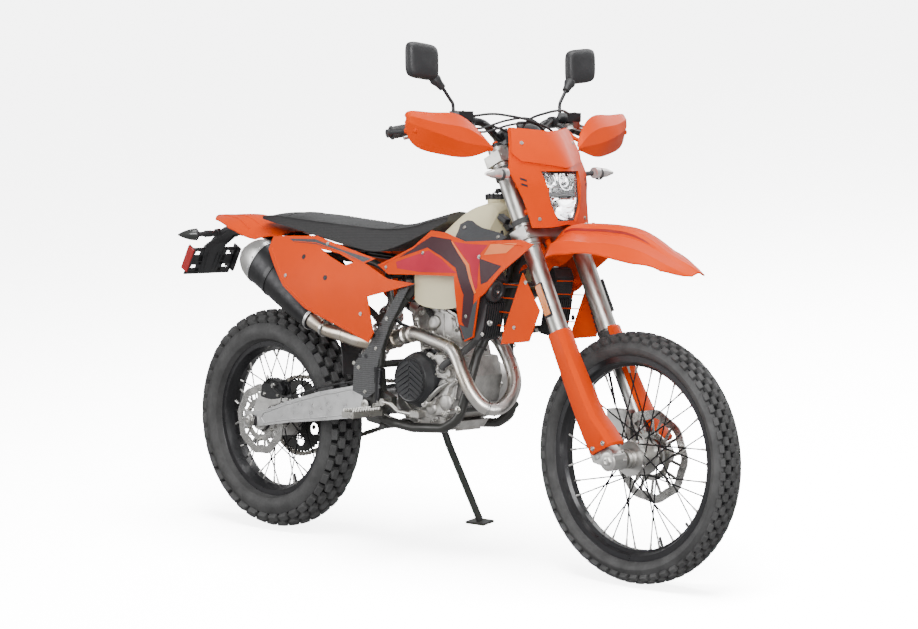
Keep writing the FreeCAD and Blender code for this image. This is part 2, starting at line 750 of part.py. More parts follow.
def handguards():
    rows = [
        [(1092, 176, 1192), (1097, 176, 1188), (1098, 176, 1182), (1094, 176, 1176)],
        [(1074, 215, 1238), (1092, 215, 1216), (1097, 215, 1192), (1092, 215, 1170)],
        [(1058, 286, 1280), (1082, 286, 1244), (1091, 286, 1202), (1079, 286, 1160)],
        [(1042, 402, 1285), (1062, 402, 1262), (1067, 402, 1236), (1046, 402, 1182)],
        [(1034, 436, 1285), (1046, 436, 1270), (1048, 436, 1250), (1036, 436, 1210)],
        [(1029, 446, 1272), (1034, 446, 1267), (1034, 446, 1262), (1030, 446, 1256)],
    ]
    shell = creased_sheet(rows, (-PANEL_WALL, 0, 0))
    plug = rod(bar_point(1.003), bar_point(1.06), 12.0)
    stay = pipe([(1052, 424, 1232), (1010, 440, 1231), (962, 436, 1229), bar_point(1.03)], 7.0, 40.0)
    ring_low, ring_high = inner_bar_point(0.42), inner_bar_point(0.62)
    ring_bore = rod(inner_bar_point(0.3), inner_bar_point(1.2), BAR_RADIUS + SEAT_GAP)
    brace = pipe([(1088, 206, 1200), (1050, 200, 1216), (1030, 184, 1244), inner_bar_point(0.52)], 6.0, 30.0)
    clasp = fused([brace, rod(ring_low, ring_high, BAR_RADIUS + 6.0)]).cut(ring_bore)
    return both_sides(fused([shell, stay, plug, clasp]))


MIRROR_CENTRE = (968.0, 322.0, 1424.0)


def mirrors():
    stem = pipe([(983, 217, 1278.5), (979, 217, 1312), (976, 258, 1350), (970, 292, 1375)], 6.0, 25.0)
    x, y, z = MIRROR_CENTRE
    outline = [(y - 58, z - 28), (y - 48, z - 46), (y + 46, z - 52), (y + 60, z - 38),
               (y + 58, z + 44), (y + 44, z + 56), (y - 42, z + 52), (y - 56, z + 40)]
    head = front_plate(outline, x - 12, x + 14)
    return both_sides(fused([stem, head]))


def mask_rows(shift):
    return [
        [(1180 + shift, -170, 940), (1206 + shift, -60, 940), (1210 + shift, 0, 940),
         (1206 + shift, 60, 940), (1180 + shift, 170, 940)],
        [(1140 + shift, -170, 1030), (1212 + shift, -60, 1030), (1222 + shift, 0, 1030),
         (1212 + shift, 60, 1030), (1140 + shift, 170, 1030)],
        [(1138 + shift, -170, 1120), (1204 + shift, -60, 1120), (1222 + shift, 0, 1120),
         (1204 + shift, 60, 1120), (1138 + shift, 170, 1120)],
        [(1062 + shift, -170, 1250), (1122 + shift, -60, 1250), (1130 + shift, 0, 1250),
         (1122 + shift, 60, 1250), (1062 + shift, 170, 1250)],
    ]


LAMP_OUTLINE = [(-76, 1122), (76, 1122), (60, 1030), (36, 984), (-36, 984), (-60, 1030)]


def headlight_mask():
    outline = front_plate([(-116, 1243), (0, 1232), (116, 1243), (157, 1120), (128, 1040), (114, 966),
                           (60, 966), (0, 974), (-60, 966), (-114, 966), (-128, 1040), (-157, 1120)],
                          1000, 1300)
    window = front_plate(LAMP_OUTLINE, 1000, 1300)
    brow = front_plate([(-116, 1243), (0, 1232), (116, 1243), (139, 1172), (122, 1150), (0, 1131),
                        (-122, 1150), (-139, 1172)], 1000, 1300)
    surround = front_plate([(1.07 * y, 1053 + 1.07 * (z - 1053)) for y, z in LAMP_OUTLINE], 1000, 1300)
    shell = fused([smooth_sheet(mask_rows(0), (PANEL_WALL, 0, 0), outline),
                   smooth_sheet(mask_rows(0), (PANEL_WALL + 7.0, 0, 0), brow),
                   smooth_sheet(mask_rows(-22), (24.0, 0, 0), surround)]).cut(window)
    start = CLAMP_OFFSET + FORK_TUBE_RADIUS + SEAT_GAP
    posts = []
    for side in (-FORK_Y, FORK_Y):
        for height in (740, 820):
            posts.append(rod(on_fork(start, side, height), on_fork(start + 200, side, height), 9.0))
    return fused([shell] + studs(mask_rows(0), (-200, 0, 0), posts))


def headlamp():
    """The lamp's housing: two open windows parted by a bar, with reflector bowls behind them."""
    outline = front_plate([(0.99 * y, 1053 + 0.99 * (z - 1053)) for y, z in LAMP_OUTLINE], 1100, 1300)
    body = smooth_sheet(mask_rows(-64), (50.0, 0, 0), outline)
    upper = front_plate([(-69, 1115), (69, 1115), (58, 1064), (-58, 1064)], 1100, 1300)
    lower = front_plate([(-54, 1052), (54, 1052), (32, 991), (-32, 991)], 1100, 1300)
    room = side_plate([(1148, 1130), (1166, 1052), (1174, 980), (1300, 980), (1300, 1130)], -100, 100)
    hollows = [upper.common(room), lower.common(room)]
    for side in (-1, 1):
        hollows.append(Part.makeSphere(22.0, Vector(1164, side * 31, 1089)))
    return body.cut(Part.makeCompound(hollows))


def front_fender():
    stations = [
        (1085.0, [(0, 852), (16, 851), (24, 845), (30, 839), (52, 833), (64, 826)]),
        (1140.0, [(0, 892), (18, 890), (27, 884), (33, 876), (56, 866), (70, 856)]),
        (1190.0, [(0, 934), (20, 932), (29, 924), (35, 914), (70, 898), (92, 878)]),
        (1240.0, [(0, 971), (22, 969), (32, 959), (38, 946), (86, 926), (114, 886)]),
        (1310.0, [(0, 980), (22, 977), (33, 966), (39, 951), (88, 932), (114, 900)]),
        (1400.0, [(0, 979), (22, 976), (33, 965), (39, 950), (86, 931), (110, 905)]),
        (1480.0, [(0, 968), (21, 965), (30, 956), (36, 944), (78, 926), (104, 892)]),
        (1560.0, [(0, 934), (19, 931), (27, 925), (32, 919), (68, 907), (92, 878)]),
        (1630.0, [(0, 896), (15, 894), (21, 890), (27, 886), (54, 876), (74, 856)]),
        (1700.0, [(0, 856), (8, 855), (12, 853), (16, 851), (30, 846), (44, 836)]),
    ]
    rows = []
    for x, half in stations:
        left = [(x, -y, z) for y, z in reversed(half[1:])]
        rows.append(left + [(x, y, z) for y, z in half])
    outline = top_plate([(1090, -62), (1190, -64), (1226, -68), (1236, -112), (1330, -114), (1500, -106),
                         (1620, -74), (1690, -26), (1697, 0), (1690, 26), (1620, 74), (1500, 106),
                         (1330, 114), (1236, 112), (1226, 68), (1190, 64), (1090, 62)], 700, 1100)
    shell = creased_sheet(rows, (0, 0, -PANEL_WALL)).common(outline)
    backing = creased_sheet(rows, (0, 0, -200))
    top = LOWER_CLAMP_LOW - SEAT_GAP
    posts = []
    for ahead, side in ((26, 26), (26, -26), (-4, 26), (-4, -26)):
        post = rod(on_fork(ahead, side, top), on_fork(ahead, side, top - 80), 8.0)
        posts.append(post.cut(backing))
    return fused([shell] + posts)


INDICATOR_HEIGHT = 868.0


def front_indicators():
    root = on_fork(CLAMP_OFFSET + 12, FORK_Y + 26, INDICATOR_HEIGHT)
    x, y, z = root
    stalk = pipe([root, (x + 40, y + 26, z - 6), (x + 64, y + 62, z)], 7.0, 20.0)
    lens = fused([rod((x + 68, y + 56, z), (x + 68, y + 68, z), 16.0),
                  taper((x + 68, y + 68, z), (x + 68, y + 108, z), 16.0, 12.0),
                  taper((x + 68, y + 108, z), (x + 68, y + 136, z), 12.0, 4.0)])
    tube_low = on_fork(CLAMP_OFFSET, FORK_Y, INDICATOR_HEIGHT - 12)
    tube_high = on_fork(CLAMP_OFFSET, FORK_Y, INDICATOR_HEIGHT + 12)
    band = rod(tube_low, tube_high, FORK_TUBE_RADIUS + 5.0)
    bore = rod(on_fork(CLAMP_OFFSET, FORK_Y, INDICATOR_HEIGHT - 40), on_fork(CLAMP_OFFSET, FORK_Y, INDICATOR_HEIGHT + 40),
               FORK_TUBE_RADIUS + SEAT_GAP)
    return both_sides(fused([stalk, lens, band]).cut(bore))


def front_caliper():
    y = FRONT_DISC_Y
    slot = DISC_THICKNESS / 2 + DISC_CLEARANCE
    inner = block(FRONT_AXLE_X - 142, FRONT_AXLE_X - 72, y - 26, y + 12, FRONT_AXLE_Z + 42, FRONT_AXLE_Z + 122)
    outer = block(FRONT_AXLE_X - 142, FRONT_AXLE_X - 104, y + 12, y + 28, FRONT_AXLE_Z + 48, FRONT_AXLE_Z + 112)
    reach = FRONT_DISC_RADIUS + DISC_CLEARANCE
    gap = ring(FRONT_AXLE_X, FRONT_AXLE_Z, reach, 20.0, y - slot, y + slot)
    bridge = steered(block(CLAMP_OFFSET - 40, CLAMP_OFFSET - FORK_LEG_RADIUS + 8, y + 8, y + 30, 60, 100))
    leg = rod(on_fork(CLAMP_OFFSET, FORK_Y, 0), on_fork(CLAMP_OFFSET, FORK_Y, 300), FORK_LEG_RADIUS + SEAT_GAP)
    foot = steered(block(CLAMP_OFFSET - FORK_LEG_RADIUS - SEAT_GAP, 90, FORK_Y - 26, FORK_Y + 26, -30, 81))
    return fused([inner, outer, bridge]).cut(gap).cut(leg).cut(foot)


HOSE_RADIUS = 3.5
HOSE_DOWN = [(10, 136, 860), (2, 136, 780), (-2, 136, 700), (-6, 138, 630), (-12, 114, 560), (-14, 104, 480),
             (-14, 98, 400), (-14, 90, 320), (-14, 78, 245), (-16, 66, 180)]


def brake_hose():
    points = [(1018, -192.2, 1274), (1018, -176, 1274), (1056, -134, 1282), (1108, -60, 1268), (1132, 20, 1240),
              (1122, 80, 1196), (1098, 134, 1140)]
    points += [on_fork(ahead, side, height) for ahead, side, height in HOSE_DOWN]
    return pipe(points, HOSE_RADIUS, 200.0)


# Engine
CASE_HALF = 72.0
HEAD_HALF = 63.0


CLUTCH_X = 747.0
CLUTCH_Z = 517.0


def crankcase():
    outline = [(606, 470), (622, 545), (690, 592), (780, 594), (878, 585), (896, 530), (880, 450),
               (850, 410), (790, 386), (700, 376), (640, 396), (612, 430)]
    case = side_plate(outline, -CASE_HALF, CASE_HALF)
    sump = side_plate([(660, 372), (650, 400), (860, 400), (840, 376)], -54, 54)
    mount = side_plate([(604, 470), (596, 500), (620, 560), (650, 540), (640, 480)], -40, 40)
    front = 905 - ENGINE_BAR_RADIUS - SEAT_GAP
    lug = side_plate([(860, 428), (front, 428), (front, 452), (870, 460)], -22, 22)
    cover_room = Part.makeCylinder(80.0 + SEAT_GAP, 60.0, Vector(CLUTCH_X, -CASE_HALF - 60.0, CLUTCH_Z), Vector(0, 1, 0))
    face = -CASE_HALF - 38.0
    pump_case = side_plate([(784, 414), (850, 424), (886, 466), (900, 530), (884, 572), (830, 592), (770, 588)],
                           face, -CASE_HALF)
    pump_cover = side_plate([(822, 530), (816, 546), (826, 562), (862, 566), (878, 556), (880, 538), (866, 528)],
                            face - 14.0, face)
    pump_boss = rod((848, face - 10.0, 500), (848, face, 500), 22.0)
    shaft = rod((806, face - 4.0, 462), (892, face - 4.0, 520), 6.0)
    shaft_boss = rod((806, face - 12.0, 462), (806, face, 462), 13.0)
    oil_boss = rod((700, -CASE_HALF - 12.0, 412), (700, -CASE_HALF, 412), 15.0)
    pump = fused([pump_case, pump_cover, pump_boss, shaft, shaft_boss]).cut(cover_room)
    return fused([case, sump, mount, lug, pump, oil_boss])


def cylinder():
    barrel = side_plate([(690, 592.3), (680, 645), (852, 632), (866, 586.5), (780, 594.3)],
                        -HEAD_HALF + 6, HEAD_HALF - 6)
    head = side_plate([(684, 640), (664, 668), (656, 700), (690, 722), (780, 732), (842, 708), (862, 638)],
                      -HEAD_HALF, HEAD_HALF)
    intake = rod((668, 0, 690), (608, 0, 722), 24.0)
    return fused([barrel, head, intake])


def clutch_cover():
    """A round cover with a bevelled rim and ribs that slope both ways from its middle line."""
    seat_y = -CASE_HALF - SEAT_GAP
    profile = [(seat_y, 0), (seat_y, 80), (seat_y - 42, 80), (seat_y - 60, 76), (seat_y - 80, 66), (seat_y - 86, 58),
               (seat_y - 84, 0)]
    cover = revolved([(y, radius) for y, radius in profile], CLUTCH_X, CLUTCH_Z)
    field = Part.makeCylinder(56.0, 8.0, Vector(CLUTCH_X, seat_y - 88.0, CLUTCH_Z), Vector(0, 1, 0))
    bars = []
    for number in range(-4, 7):
        low = CLUTCH_Z - 30 + 16 * number
        bars.append(side_plate([(CLUTCH_X - 1, low), (CLUTCH_X - 1, low + 7), (CLUTCH_X - 60, low + 7 - 34),
                                (CLUTCH_X - 60, low - 34)], seat_y - 88.0, seat_y - 82.0).common(field))
        bars.append(side_plate([(CLUTCH_X + 1, low), (CLUTCH_X + 1, low + 7), (CLUTCH_X + 60, low + 7 - 34),
                                (CLUTCH_X + 60, low - 34)], seat_y - 88.0, seat_y - 82.0).common(field))
    return fused([cover] + [bar for bar in bars if bar.Solids])


def ignition_cover():
    body = Part.makeCylinder(66.0, 52.0, Vector(808, CASE_HALF + SEAT_GAP, 500), Vector(0, 1, 0))
    sprocket_guard = side_plate([(590, 470), (598, 500), (650, 516), (720, 500), (735, 440), (700, 398),
                                 (640, 396)], CHAIN_Y + 14.0, CHAIN_Y + 22.0)
    post = rod((700, CASE_HALF + SEAT_GAP, 450), (700, CHAIN_Y + 16.0, 450), 10.0)
    return fused([body, sprocket_guard, post])


HEADER_RADIUS = 20.0
PORT_FACE = (852.3, 0.0, 672.0)
PORT_AXIS = (0.9615, 0.0, 0.2747)


def exhaust_header():
    start = vec(PORT_FACE) + vec(PORT_AXIS) * SEAT_GAP
    port = Part.makeCylinder(25.0, 14.0, start, vec(PORT_AXIS))
    first = start + vec(PORT_AXIS) * 6.0
    second = start + vec(PORT_AXIS) * 40.0
    points = [(first.x, first.y, first.z), (second.x, second.y, second.z), (940, 0, 650), (985, -4, 600), (1042, -14, 512), (1036, -70, 450),
              (985, -128, 486), (930, -144, 564), (850, -134, 626), (750, -114, 646), (660, -94, 630),
              (570, -92, 612), (470, -112, 620), (385, -126, 638)]
    pipe_run = pipe(points, HEADER_RADIUS, 120.0)
    end = vec(SILENCER_FRONT) - vec(SILENCER_AXIS).normalize() * SEAT_GAP
    cone = Part.makeLoft([ellipse_section((396, -124, 635), (-85, -14, 18), HEADER_RADIUS + 3.0, HEADER_RADIUS + 2.5),
                          ellipse_section((350, -126, 648), (-85, 0, 30), 28, 26),
                          ellipse_section((end.x, end.y, end.z), SILENCER_AXIS, 37, 33)], True, False)
    return fused([port, pipe_run, cone])


SILENCER_AXIS = (-264.0, 0.0, 178.0)
SILENCER_FRONT = (303.0, -128.0, 670.5)


def silencer():
    sections = [
        ellipse_section(SILENCER_FRONT, SILENCER_AXIS, 38, 34),
        ellipse_section((240, -128, 715), SILENCER_AXIS, 52, 42),
        ellipse_section((150, -128, 777), SILENCER_AXIS, 64, 46),
        ellipse_section((56, -128, 836), SILENCER_AXIS, 72, 46),
    ]
    return Part.makeLoft(sections, True, False)


def silencer_cap():
    sections = [
        ellipse_section((55.7, -128, 836.3), SILENCER_AXIS, 72, 46),
        ellipse_section((30, -128, 848), SILENCER_AXIS, 66, 43),
        ellipse_section((2, -128, 858), SILENCER_AXIS, 44, 33),
    ]
    return Part.makeLoft(sections, True, False)


# Frame

def side_tube(radius):
    """The left tube from the head down to the swingarm plate."""
    return pipe([on_fork(-6, 8, 760), (1000, 50, 900), (802, 95, 832), (722, 118, 780), (646, 131, 700),
                 (602, FRAME_SIDE_Y, 600), (590, FRAME_SIDE_Y, 500), (592, FRAME_SIDE_Y, 420)], radius, 90.0)


def main_frame():
    head_low = on_fork(0, 0, HEAD_TUBE_LOW)
    head_high = on_fork(0, 0, HEAD_TUBE_HIGH)
    head = rod(head_low, head_high, HEAD_TUBE_RADIUS)
    downtube = pipe([on_fork(-8, 0, 780), (1060, 0, 906), (972, 0, 716)], DOWNTUBE_RADIUS)
    cradle = pipe([(976, 8, 724), (960, 30, 688), (930, 64, 600), (918, 96, 490), (898, 108, 412),
                   (840, 110, 382), (715, 112, 374), (650, 116, 382), (600, 130, 396), (586, 132, 430)],
                  CRADLE_RADIUS, 60.0)
    top = side_tube(FRAME_TUBE_RADIUS)
    plate = side_plate([(528, 404), (552, 382), (600, 376), (622, 402), (654, 432), (654, 460), (612, 476),
                        (606, 540), (580, 548),
                        (548, 480), (530, 456)], ARM_OUTER_Y + 0.5, PLATE_OUTER_Y)
    peg_lug = block(590, 626, PLATE_OUTER_Y - 4, PEG_START - SEAT_GAP, 398, 428)
    half = fused([cradle, top, plate, peg_lug])
    cross_bars = [
        rod((722, -118, 780), (722, 118, 780), 12.0),
        rod((594, -130, 552), (594, 130, 552), 11.0),
        rod((596, -126, 372), (596, 126, 372), 11.0),
        rod((568, -76, 812), (568, 76, 812), 12.0),
        rod((905, -102, 440), (905, 102, 440), ENGINE_BAR_RADIUS),
        rod((1052, RADIATOR_INNER - SEAT_GAP, 800), (1052, SEAT_GAP - RADIATOR_INNER, 800), 7.0),
        block(1020, 1052, -10, 10, 794, 806),
    ]
    rails = []
    for side in (-1, 1):
        rails.append(pipe([(652, side * 130, 706), (612, side * 112, 776), (568, side * 72, 812)], 11.0, 40.0))
        rails.append(side_plate([(552, 772), (580, 772), (584, 812), (552, 812)],
                                side * SHOCK_EYE_HALF + side * SEAT_GAP, side * SHOCK_EYE_HALF + side * 7.0))
        ear_face = side * (SUBFRAME_Y - SUBFRAME_RADIUS - SEAT_GAP)
        rails.append(side_plate([(554, 806), (582, 800), (606, 822), (600, 838), (572, 836)],
                                ear_face - side * 9.0, ear_face))
        strut_face = side * (STRUT_Y + SUBFRAME_RADIUS + SEAT_GAP)
        rails.append(side_plate([(640, 690), (606, 650), (574, 662), (568, 690), (604, 706)],
                                strut_face, strut_face + side * 8.0))
    gusset = side_plate([(1074, 1000), (1080, 965), (1044, 880), (985, 760), (975, 790), (1000, 902)], -4, 4)
    axis = vec(STAND_AXIS).normalize()
    centre = vec(STAND_PIVOT)
    inner = centre - axis * (STAND_EYE_HALF + SEAT_GAP)
    stand_boss = Part.makeCylinder(14.0, 12.0, inner, axis * -1)
    stand_bolt = Part.makeCylinder(STAND_BOLT_RADIUS, 2 * STAND_EYE_HALF + 8, inner, axis)
    stand_ear = block(centre.x - 13, centre.x + 13, PLATE_OUTER_Y - 12, PLATE_OUTER_Y - 3, centre.z - 4, PIVOT_Z - 30)
    frame = fused([head, downtube, half, mirrored(half), gusset, stand_boss, stand_bolt, stand_ear]
                  + cross_bars + rails)
    bore = rod(on_fork(0, 0, HEAD_TUBE_LOW - 5), on_fork(0, 0, HEAD_TUBE_HIGH + 5), STEM_RADIUS + RUN_GAP)
    pivot = rod((PIVOT_X, -160, PIVOT_Z), (PIVOT_X, 160, PIVOT_Z), 9.0)
    return frame.cut(bore).cut(pivot)


def subframe():
    rail = pipe([(584, SUBFRAME_Y, 824), (520, SUBFRAME_Y, 847), (300, SUBFRAME_Y, SUBFRAME_MID_Z), (130, 70, 884),
                 (20, 46, SUBFRAME_TAIL_Z), (SUBFRAME_TAIL_X, 46, SUBFRAME_TAIL_Z)], SUBFRAME_RADIUS, 80.0)
    strut = pipe([(588, STRUT_Y, 676), (562, STRUT_Y, 680), (520, 84, 694), (300, 74, 800), (236, 84, 868)], SUBFRAME_RADIUS, 60.0)
    half = fused([rail, strut])
    bars = [rod((300, -SUBFRAME_Y, SUBFRAME_MID_Z), (300, SUBFRAME_Y, SUBFRAME_MID_Z), 8.0),
            rod((-20, -46, SUBFRAME_TAIL_Z), (-20, 46, SUBFRAME_TAIL_Z), 8.0)]
    return fused([half, mirrored(half)] + bars)


def frame_guards():
    outline = [(740, 786), (657, 668), (624, 598), (598, 520), (620, 486), (563, 452), (502, 470),
               (508, 552), (566, 602), (602, 652), (700, 776)]
    wall = side_plate(outline, FRAME_SIDE_Y + FRAME_TUBE_RADIUS + SEAT_GAP, FRAME_SIDE_Y + FRAME_TUBE_RADIUS + 4.0)
    return both_sides(wall)


# Swingarm and shock

def swingarm():
    x = REAR_AXLE_X
    beam = side_plate([(x - 34, 318), (x - 34, 364), (x + 60, 376), (x + 170, 412), (310, 450), (480, 482),
                       (560, 470), (574, 430), (560, 396), (490, 386), (310, 362), (x + 170, 346), (x + 60, 328)],
                      ARM_INNER_Y, ARM_OUTER_Y)
    brace = side_plate([(384, 392), (384, 446), (470, 454), (484, 400)], -ARM_INNER_Y - 2, ARM_INNER_Y + 2)
    tube = rod((PIVOT_X, -ARM_OUTER_Y, PIVOT_Z), (PIVOT_X, ARM_OUTER_Y, PIVOT_Z), PIVOT_RADIUS)
    lug = side_plate([(380, 440), (374, 490), (382, 506), (396, 506), (408, 448)],
                     SHOCK_EYE_HALF + SEAT_GAP, SHOCK_EYE_HALF + 8.0)
    arm = fused([beam, mirrored(beam), brace, tube, lug, mirrored(lug)])
    axle_hole = rod((x, -200, REAR_AXLE_Z), (x, 200, REAR_AXLE_Z), REAR_AXLE_RADIUS + SEAT_GAP)
    pivot_hole = rod((PIVOT_X, -200, PIVOT_Z), (PIVOT_X, 200, PIVOT_Z), 9.0)
    return arm.cut(axle_hole).cut(pivot_hole)


def shock():
    span = vec(SHOCK_TOP) - vec(SHOCK_LOW)

    def along(share):
        point = vec(SHOCK_LOW) + span * share
        return (point.x, point.y, point.z)

    neck = rod(along(0), along(1), 8.0)
    damper = rod(along(0.08), along(0.93), 14.0)
    body = rod(along(0.62), along(0.90), 27.0)
    spring = rod(along(0.14), along(0.66), 36.0)
    eyes = []
    for x, y, z in (SHOCK_TOP, SHOCK_LOW):
        eyes.append(rod((x, -SHOCK_EYE_HALF, z), (x, SHOCK_EYE_HALF, z), 12.0))
    return fused([neck, damper, body, spring] + eyes)


def pivot_bolt():
    shaft = rod((PIVOT_X, -PLATE_OUTER_Y - 3, PIVOT_Z), (PIVOT_X, PLATE_OUTER_Y + 3, PIVOT_Z), 8.7)
    ends = []
    for side in (-1, 1):
        ends.append(rod((PIVOT_X, side * (PLATE_OUTER_Y + SEAT_GAP), PIVOT_Z),
                        (PIVOT_X, side * (PLATE_OUTER_Y + 9), PIVOT_Z), 15.0))
    return fused([shaft] + ends)


def chain_guide():
    x = REAR_AXLE_X
    guide = side_plate([(x + 96, 236), (x + 104, 268), (x + 206, 300), (x + 214, 262), (x + 180, 226),
                        (x + 120, 218)], CHAIN_Y - 16, CHAIN_Y + 16)
    tunnel = side_plate([(x + 60, 224), (x + 60, 262), (x + 260, 324), (x + 260, 286)],
                        CHAIN_Y - 12, CHAIN_Y + 12)
    hanger = side_plate([(x + 130, 258), (x + 140, 352), (x + 186, 360), (x + 190, 284)],
                        CHAIN_Y + 10, ARM_INNER_Y - SEAT_GAP)
    return fused([guide.cut(tunnel), hanger])


def rear_caliper():
    y = REAR_DISC_Y
    slot = DISC_THICKNESS / 2 + DISC_CLEARANCE
    x = REAR_AXLE_X
    body = block(x + 14, x + 128, y - 17, y + 18, 410, 474)
    gap = ring(x, REAR_AXLE_Z, REAR_DISC_RADIUS + DISC_CLEARANCE, 20.0, y - slot, y + slot)
    bracket = side_plate([(x - 22, 340), (x - 10, 368), (x + 14, 430), (x + 60, 436), (x + 120, 420),
                          (x + 110, 396), (x + 60, 372), (x + 22, 340)],
                         -ARM_INNER_Y + SEAT_GAP, -ARM_INNER_Y + 6.0)
    eye = ring(x, REAR_AXLE_Z, 24.0, REAR_AXLE_RADIUS + SEAT_GAP, -ARM_INNER_Y + SEAT_GAP, -ARM_INNER_Y + 6.0)
    bore = rod((x, -120, REAR_AXLE_Z), (x, 0, REAR_AXLE_Z), REAR_AXLE_RADIUS + SEAT_GAP)
    return fused([body.cut(gap), bracket, eye]).cut(bore)


# Bodywork

def seat():
    stations = [
        (-4.0, 70.0, 962.0, 66.0, 968.0, 974.0),
        (76.0, 92.0, 952.0, 84.0, 972.0, 984.0),
        (200.0, 120.0, 938.0, 98.0, 966.0, 982.0),
        (330.0, 134.0, 916.0, 104.0, 958.0, 971.0),
        (455.0, 134.0, 894.0, 100.0, 950.0, 962.0),
        (570.0, 126.0, 880.0, 88.0, 944.0, 957.0),
        (660.0, 100.0, 905.0, 72.0, 952.0, 969.0),
        (740.0, 74.0, 944.0, 60.0, 972.0, 988.0),
        (792.0, 54.0, 972.0, 48.0, 984.0, 1001.0),
    ]
    sections = []
    for x, low_half, low, high_half, high, crown in stations:
        sections.append([(x, -low_half, low), (x, -high_half, high), (x, 0, crown), (x, high_half, high),
                         (x, low_half, low)])
    rest = SUBFRAME_MID_Z + SUBFRAME_RADIUS + SEAT_GAP + 1.2
    pads = []
    for side in (-SUBFRAME_Y, SUBFRAME_Y):
        pads.append(rod((300, side, rest), (300, side, 940), 12.0))
    return fused([loft(sections)] + pads)


FILLER_X = 950.0
FILLER_Z = 1040.0


def tank_body():
    stations = [
        (748.0, 138.0, 748.0, 140.0, 880.0, 60.0, 928.0),
        (800.0, 150.0, 732.0, 150.0, 890.0, 66.0, 958.0),
        (870.0, 150.0, 728.0, 150.0, 910.0, 70.0, 1004.0),
        (935.0, 150.0, 738.0, 140.0, 930.0, 66.0, 1034.0),
        (1000.0, 136.0, 840.0, 108.0, 930.0, 52.0, 1018.0),
    ]
    sections = []
    for x, low_half, low, mid_half, mid, top_half, top in stations:
        sections.append([(x, -low_half, low), (x, -mid_half, mid), (x, -top_half, top - 14), (x, 0, top),
                         (x, top_half, top - 14), (x, mid_half, mid), (x, low_half, low)])
    return loft(sections)


def fuel_tank():
    tunnel = side_plate([(690, 600), (690, 818), (780, 850), (1040, 946), (1040, 600)], -116, 116)
    neck = Part.makeCylinder(33.0, 30.0, Vector(FILLER_X, 0, FILLER_Z - 30.0), Vector(0, 0, 1))
    pads = []
    for side in (-1, 1):
        tube = Vector(870, side * 79.5, 855.4)
        across = Vector(-0.325, 0, 0.946)
        pads.append(Part.makeCylinder(9.0, 20.0, tube + across * (FRAME_TUBE_RADIUS + SEAT_GAP), across))
    channel = side_tube(FRAME_TUBE_RADIUS + 5.0)
    shell = tank_body().cut(tunnel).cut(channel).cut(mirrored(channel))
    return fused([shell, neck] + pads)


def fuel_cap():
    return Part.makeCylinder(37.0, 14.0, Vector(FILLER_X, 0, FILLER_Z + SEAT_GAP), Vector(0, 0, 1))


SHROUD_OUTLINE = [(600, 844), (668, 866), (760, 902), (828, 950), (900, 946), (990, 924), (1217, 936),
                  (1268, 925), (1228, 896), (1147, 842), (1085, 783), (1064, 771), (1028, 658), (991, 644),
                  (972, 695), (964, 827), (807, 824), (657, 819)]


def shrouds():
    rows = [
        [(560, 128, 620), (760, 158, 620), (960, 172, 620), (1300, 176, 620)],
        [(560, 140, 740), (760, 174, 740), (960, 190, 740), (1300, 190, 740)],
        [(560, 138, 850), (760, 172, 850), (960, 200, 850), (1300, 200, 850)],
        [(560, 124, 970), (760, 126, 970), (960, 166, 970), (1300, 186, 970)],
    ]
    outline = side_plate(SHROUD_OUTLINE, 0, 300)
    shell = smooth_sheet(rows, (0, PANEL_WALL, 0), outline)
    seat_y = RADIATOR_OUTER + PANEL_WALL + SEAT_GAP
    bars = [rod((1072, seat_y, 800), (1072, seat_y + 60, 800), 8.0)]
    shell = fused([shell] + studs(rows, (0, -60, 0), bars))
    return both_sides(shell)


def side_panels():
    rows = [
        [(90, 168, 580), (300, 194, 580), (480, 176, 580), (820, 162, 580)],
        [(90, 184, 700), (300, 196, 700), (480, 176, 700), (820, 160, 700)],
        [(90, 178, 820), (300, 186, 820), (480, 170, 820), (820, 156, 820)],
        [(90, 120, 940), (300, 136, 940), (480, 134, 940), (820, 136, 940)],
    ]
    outline = side_plate([(129, 914), (125, 875), (231, 768), (332, 706), (591, 618), (611, 645), (583, 751),
                          (771, 796), (660, 806), (560, 848), (600, 862), (462, 892), (332, 921), (221, 918)], 0, 300)
    slot = side_plate([(364, 884), (411, 862), (478, 838), (515, 850), (448, 872)], 0, 300)
    shell = smooth_sheet(rows, (0, PANEL_WALL, 0), outline.cut(slot))
    start = SUBFRAME_Y + SUBFRAME_RADIUS + SEAT_GAP
    bars = [rod((330, start, SUBFRAME_MID_Z - 2), (330, start + 100, SUBFRAME_MID_Z - 2), 7.0)]
    shell = fused([shell] + studs(rows, (0, -100, 0), bars))
    return both_sides(shell)


def rear_fender():
    stations = [
        (-320.0, 968.0, 964.0, 950.0),
        (-160.0, 978.0, 970.0, 928.0),
        (-70.0, 974.0, 960.0, 900.0),
        (-10.0, 946.0, 940.0, 894.0),
        (100.0, 922.0, 918.0, 890.0),
    ]
    rows = []
    for x, ridge, shoulder, edge in stations:
        rows.append([(x, -100, edge), (x, -62, shoulder), (x, 0, ridge), (x, 62, shoulder), (x, 100, edge)])
    outline = top_plate([(80, -62), (-10, -94), (-160, -92), (-270, -72), (-311, -40), (-311, 40), (-270, 72),
                         (-160, 92), (-10, 94), (80, 62)], 800, 1100)
    shell = smooth_sheet(rows, (0, 0, -PANEL_WALL), outline)
    seat_z = SUBFRAME_TAIL_Z + SUBFRAME_RADIUS + SEAT_GAP
    posts = []
    for side in (-46, 46):
        posts.append(rod((-66, side, seat_z), (-66, side, seat_z + 100), 7.0))
    return fused([shell] + studs(rows, (0, 0, -120), posts))


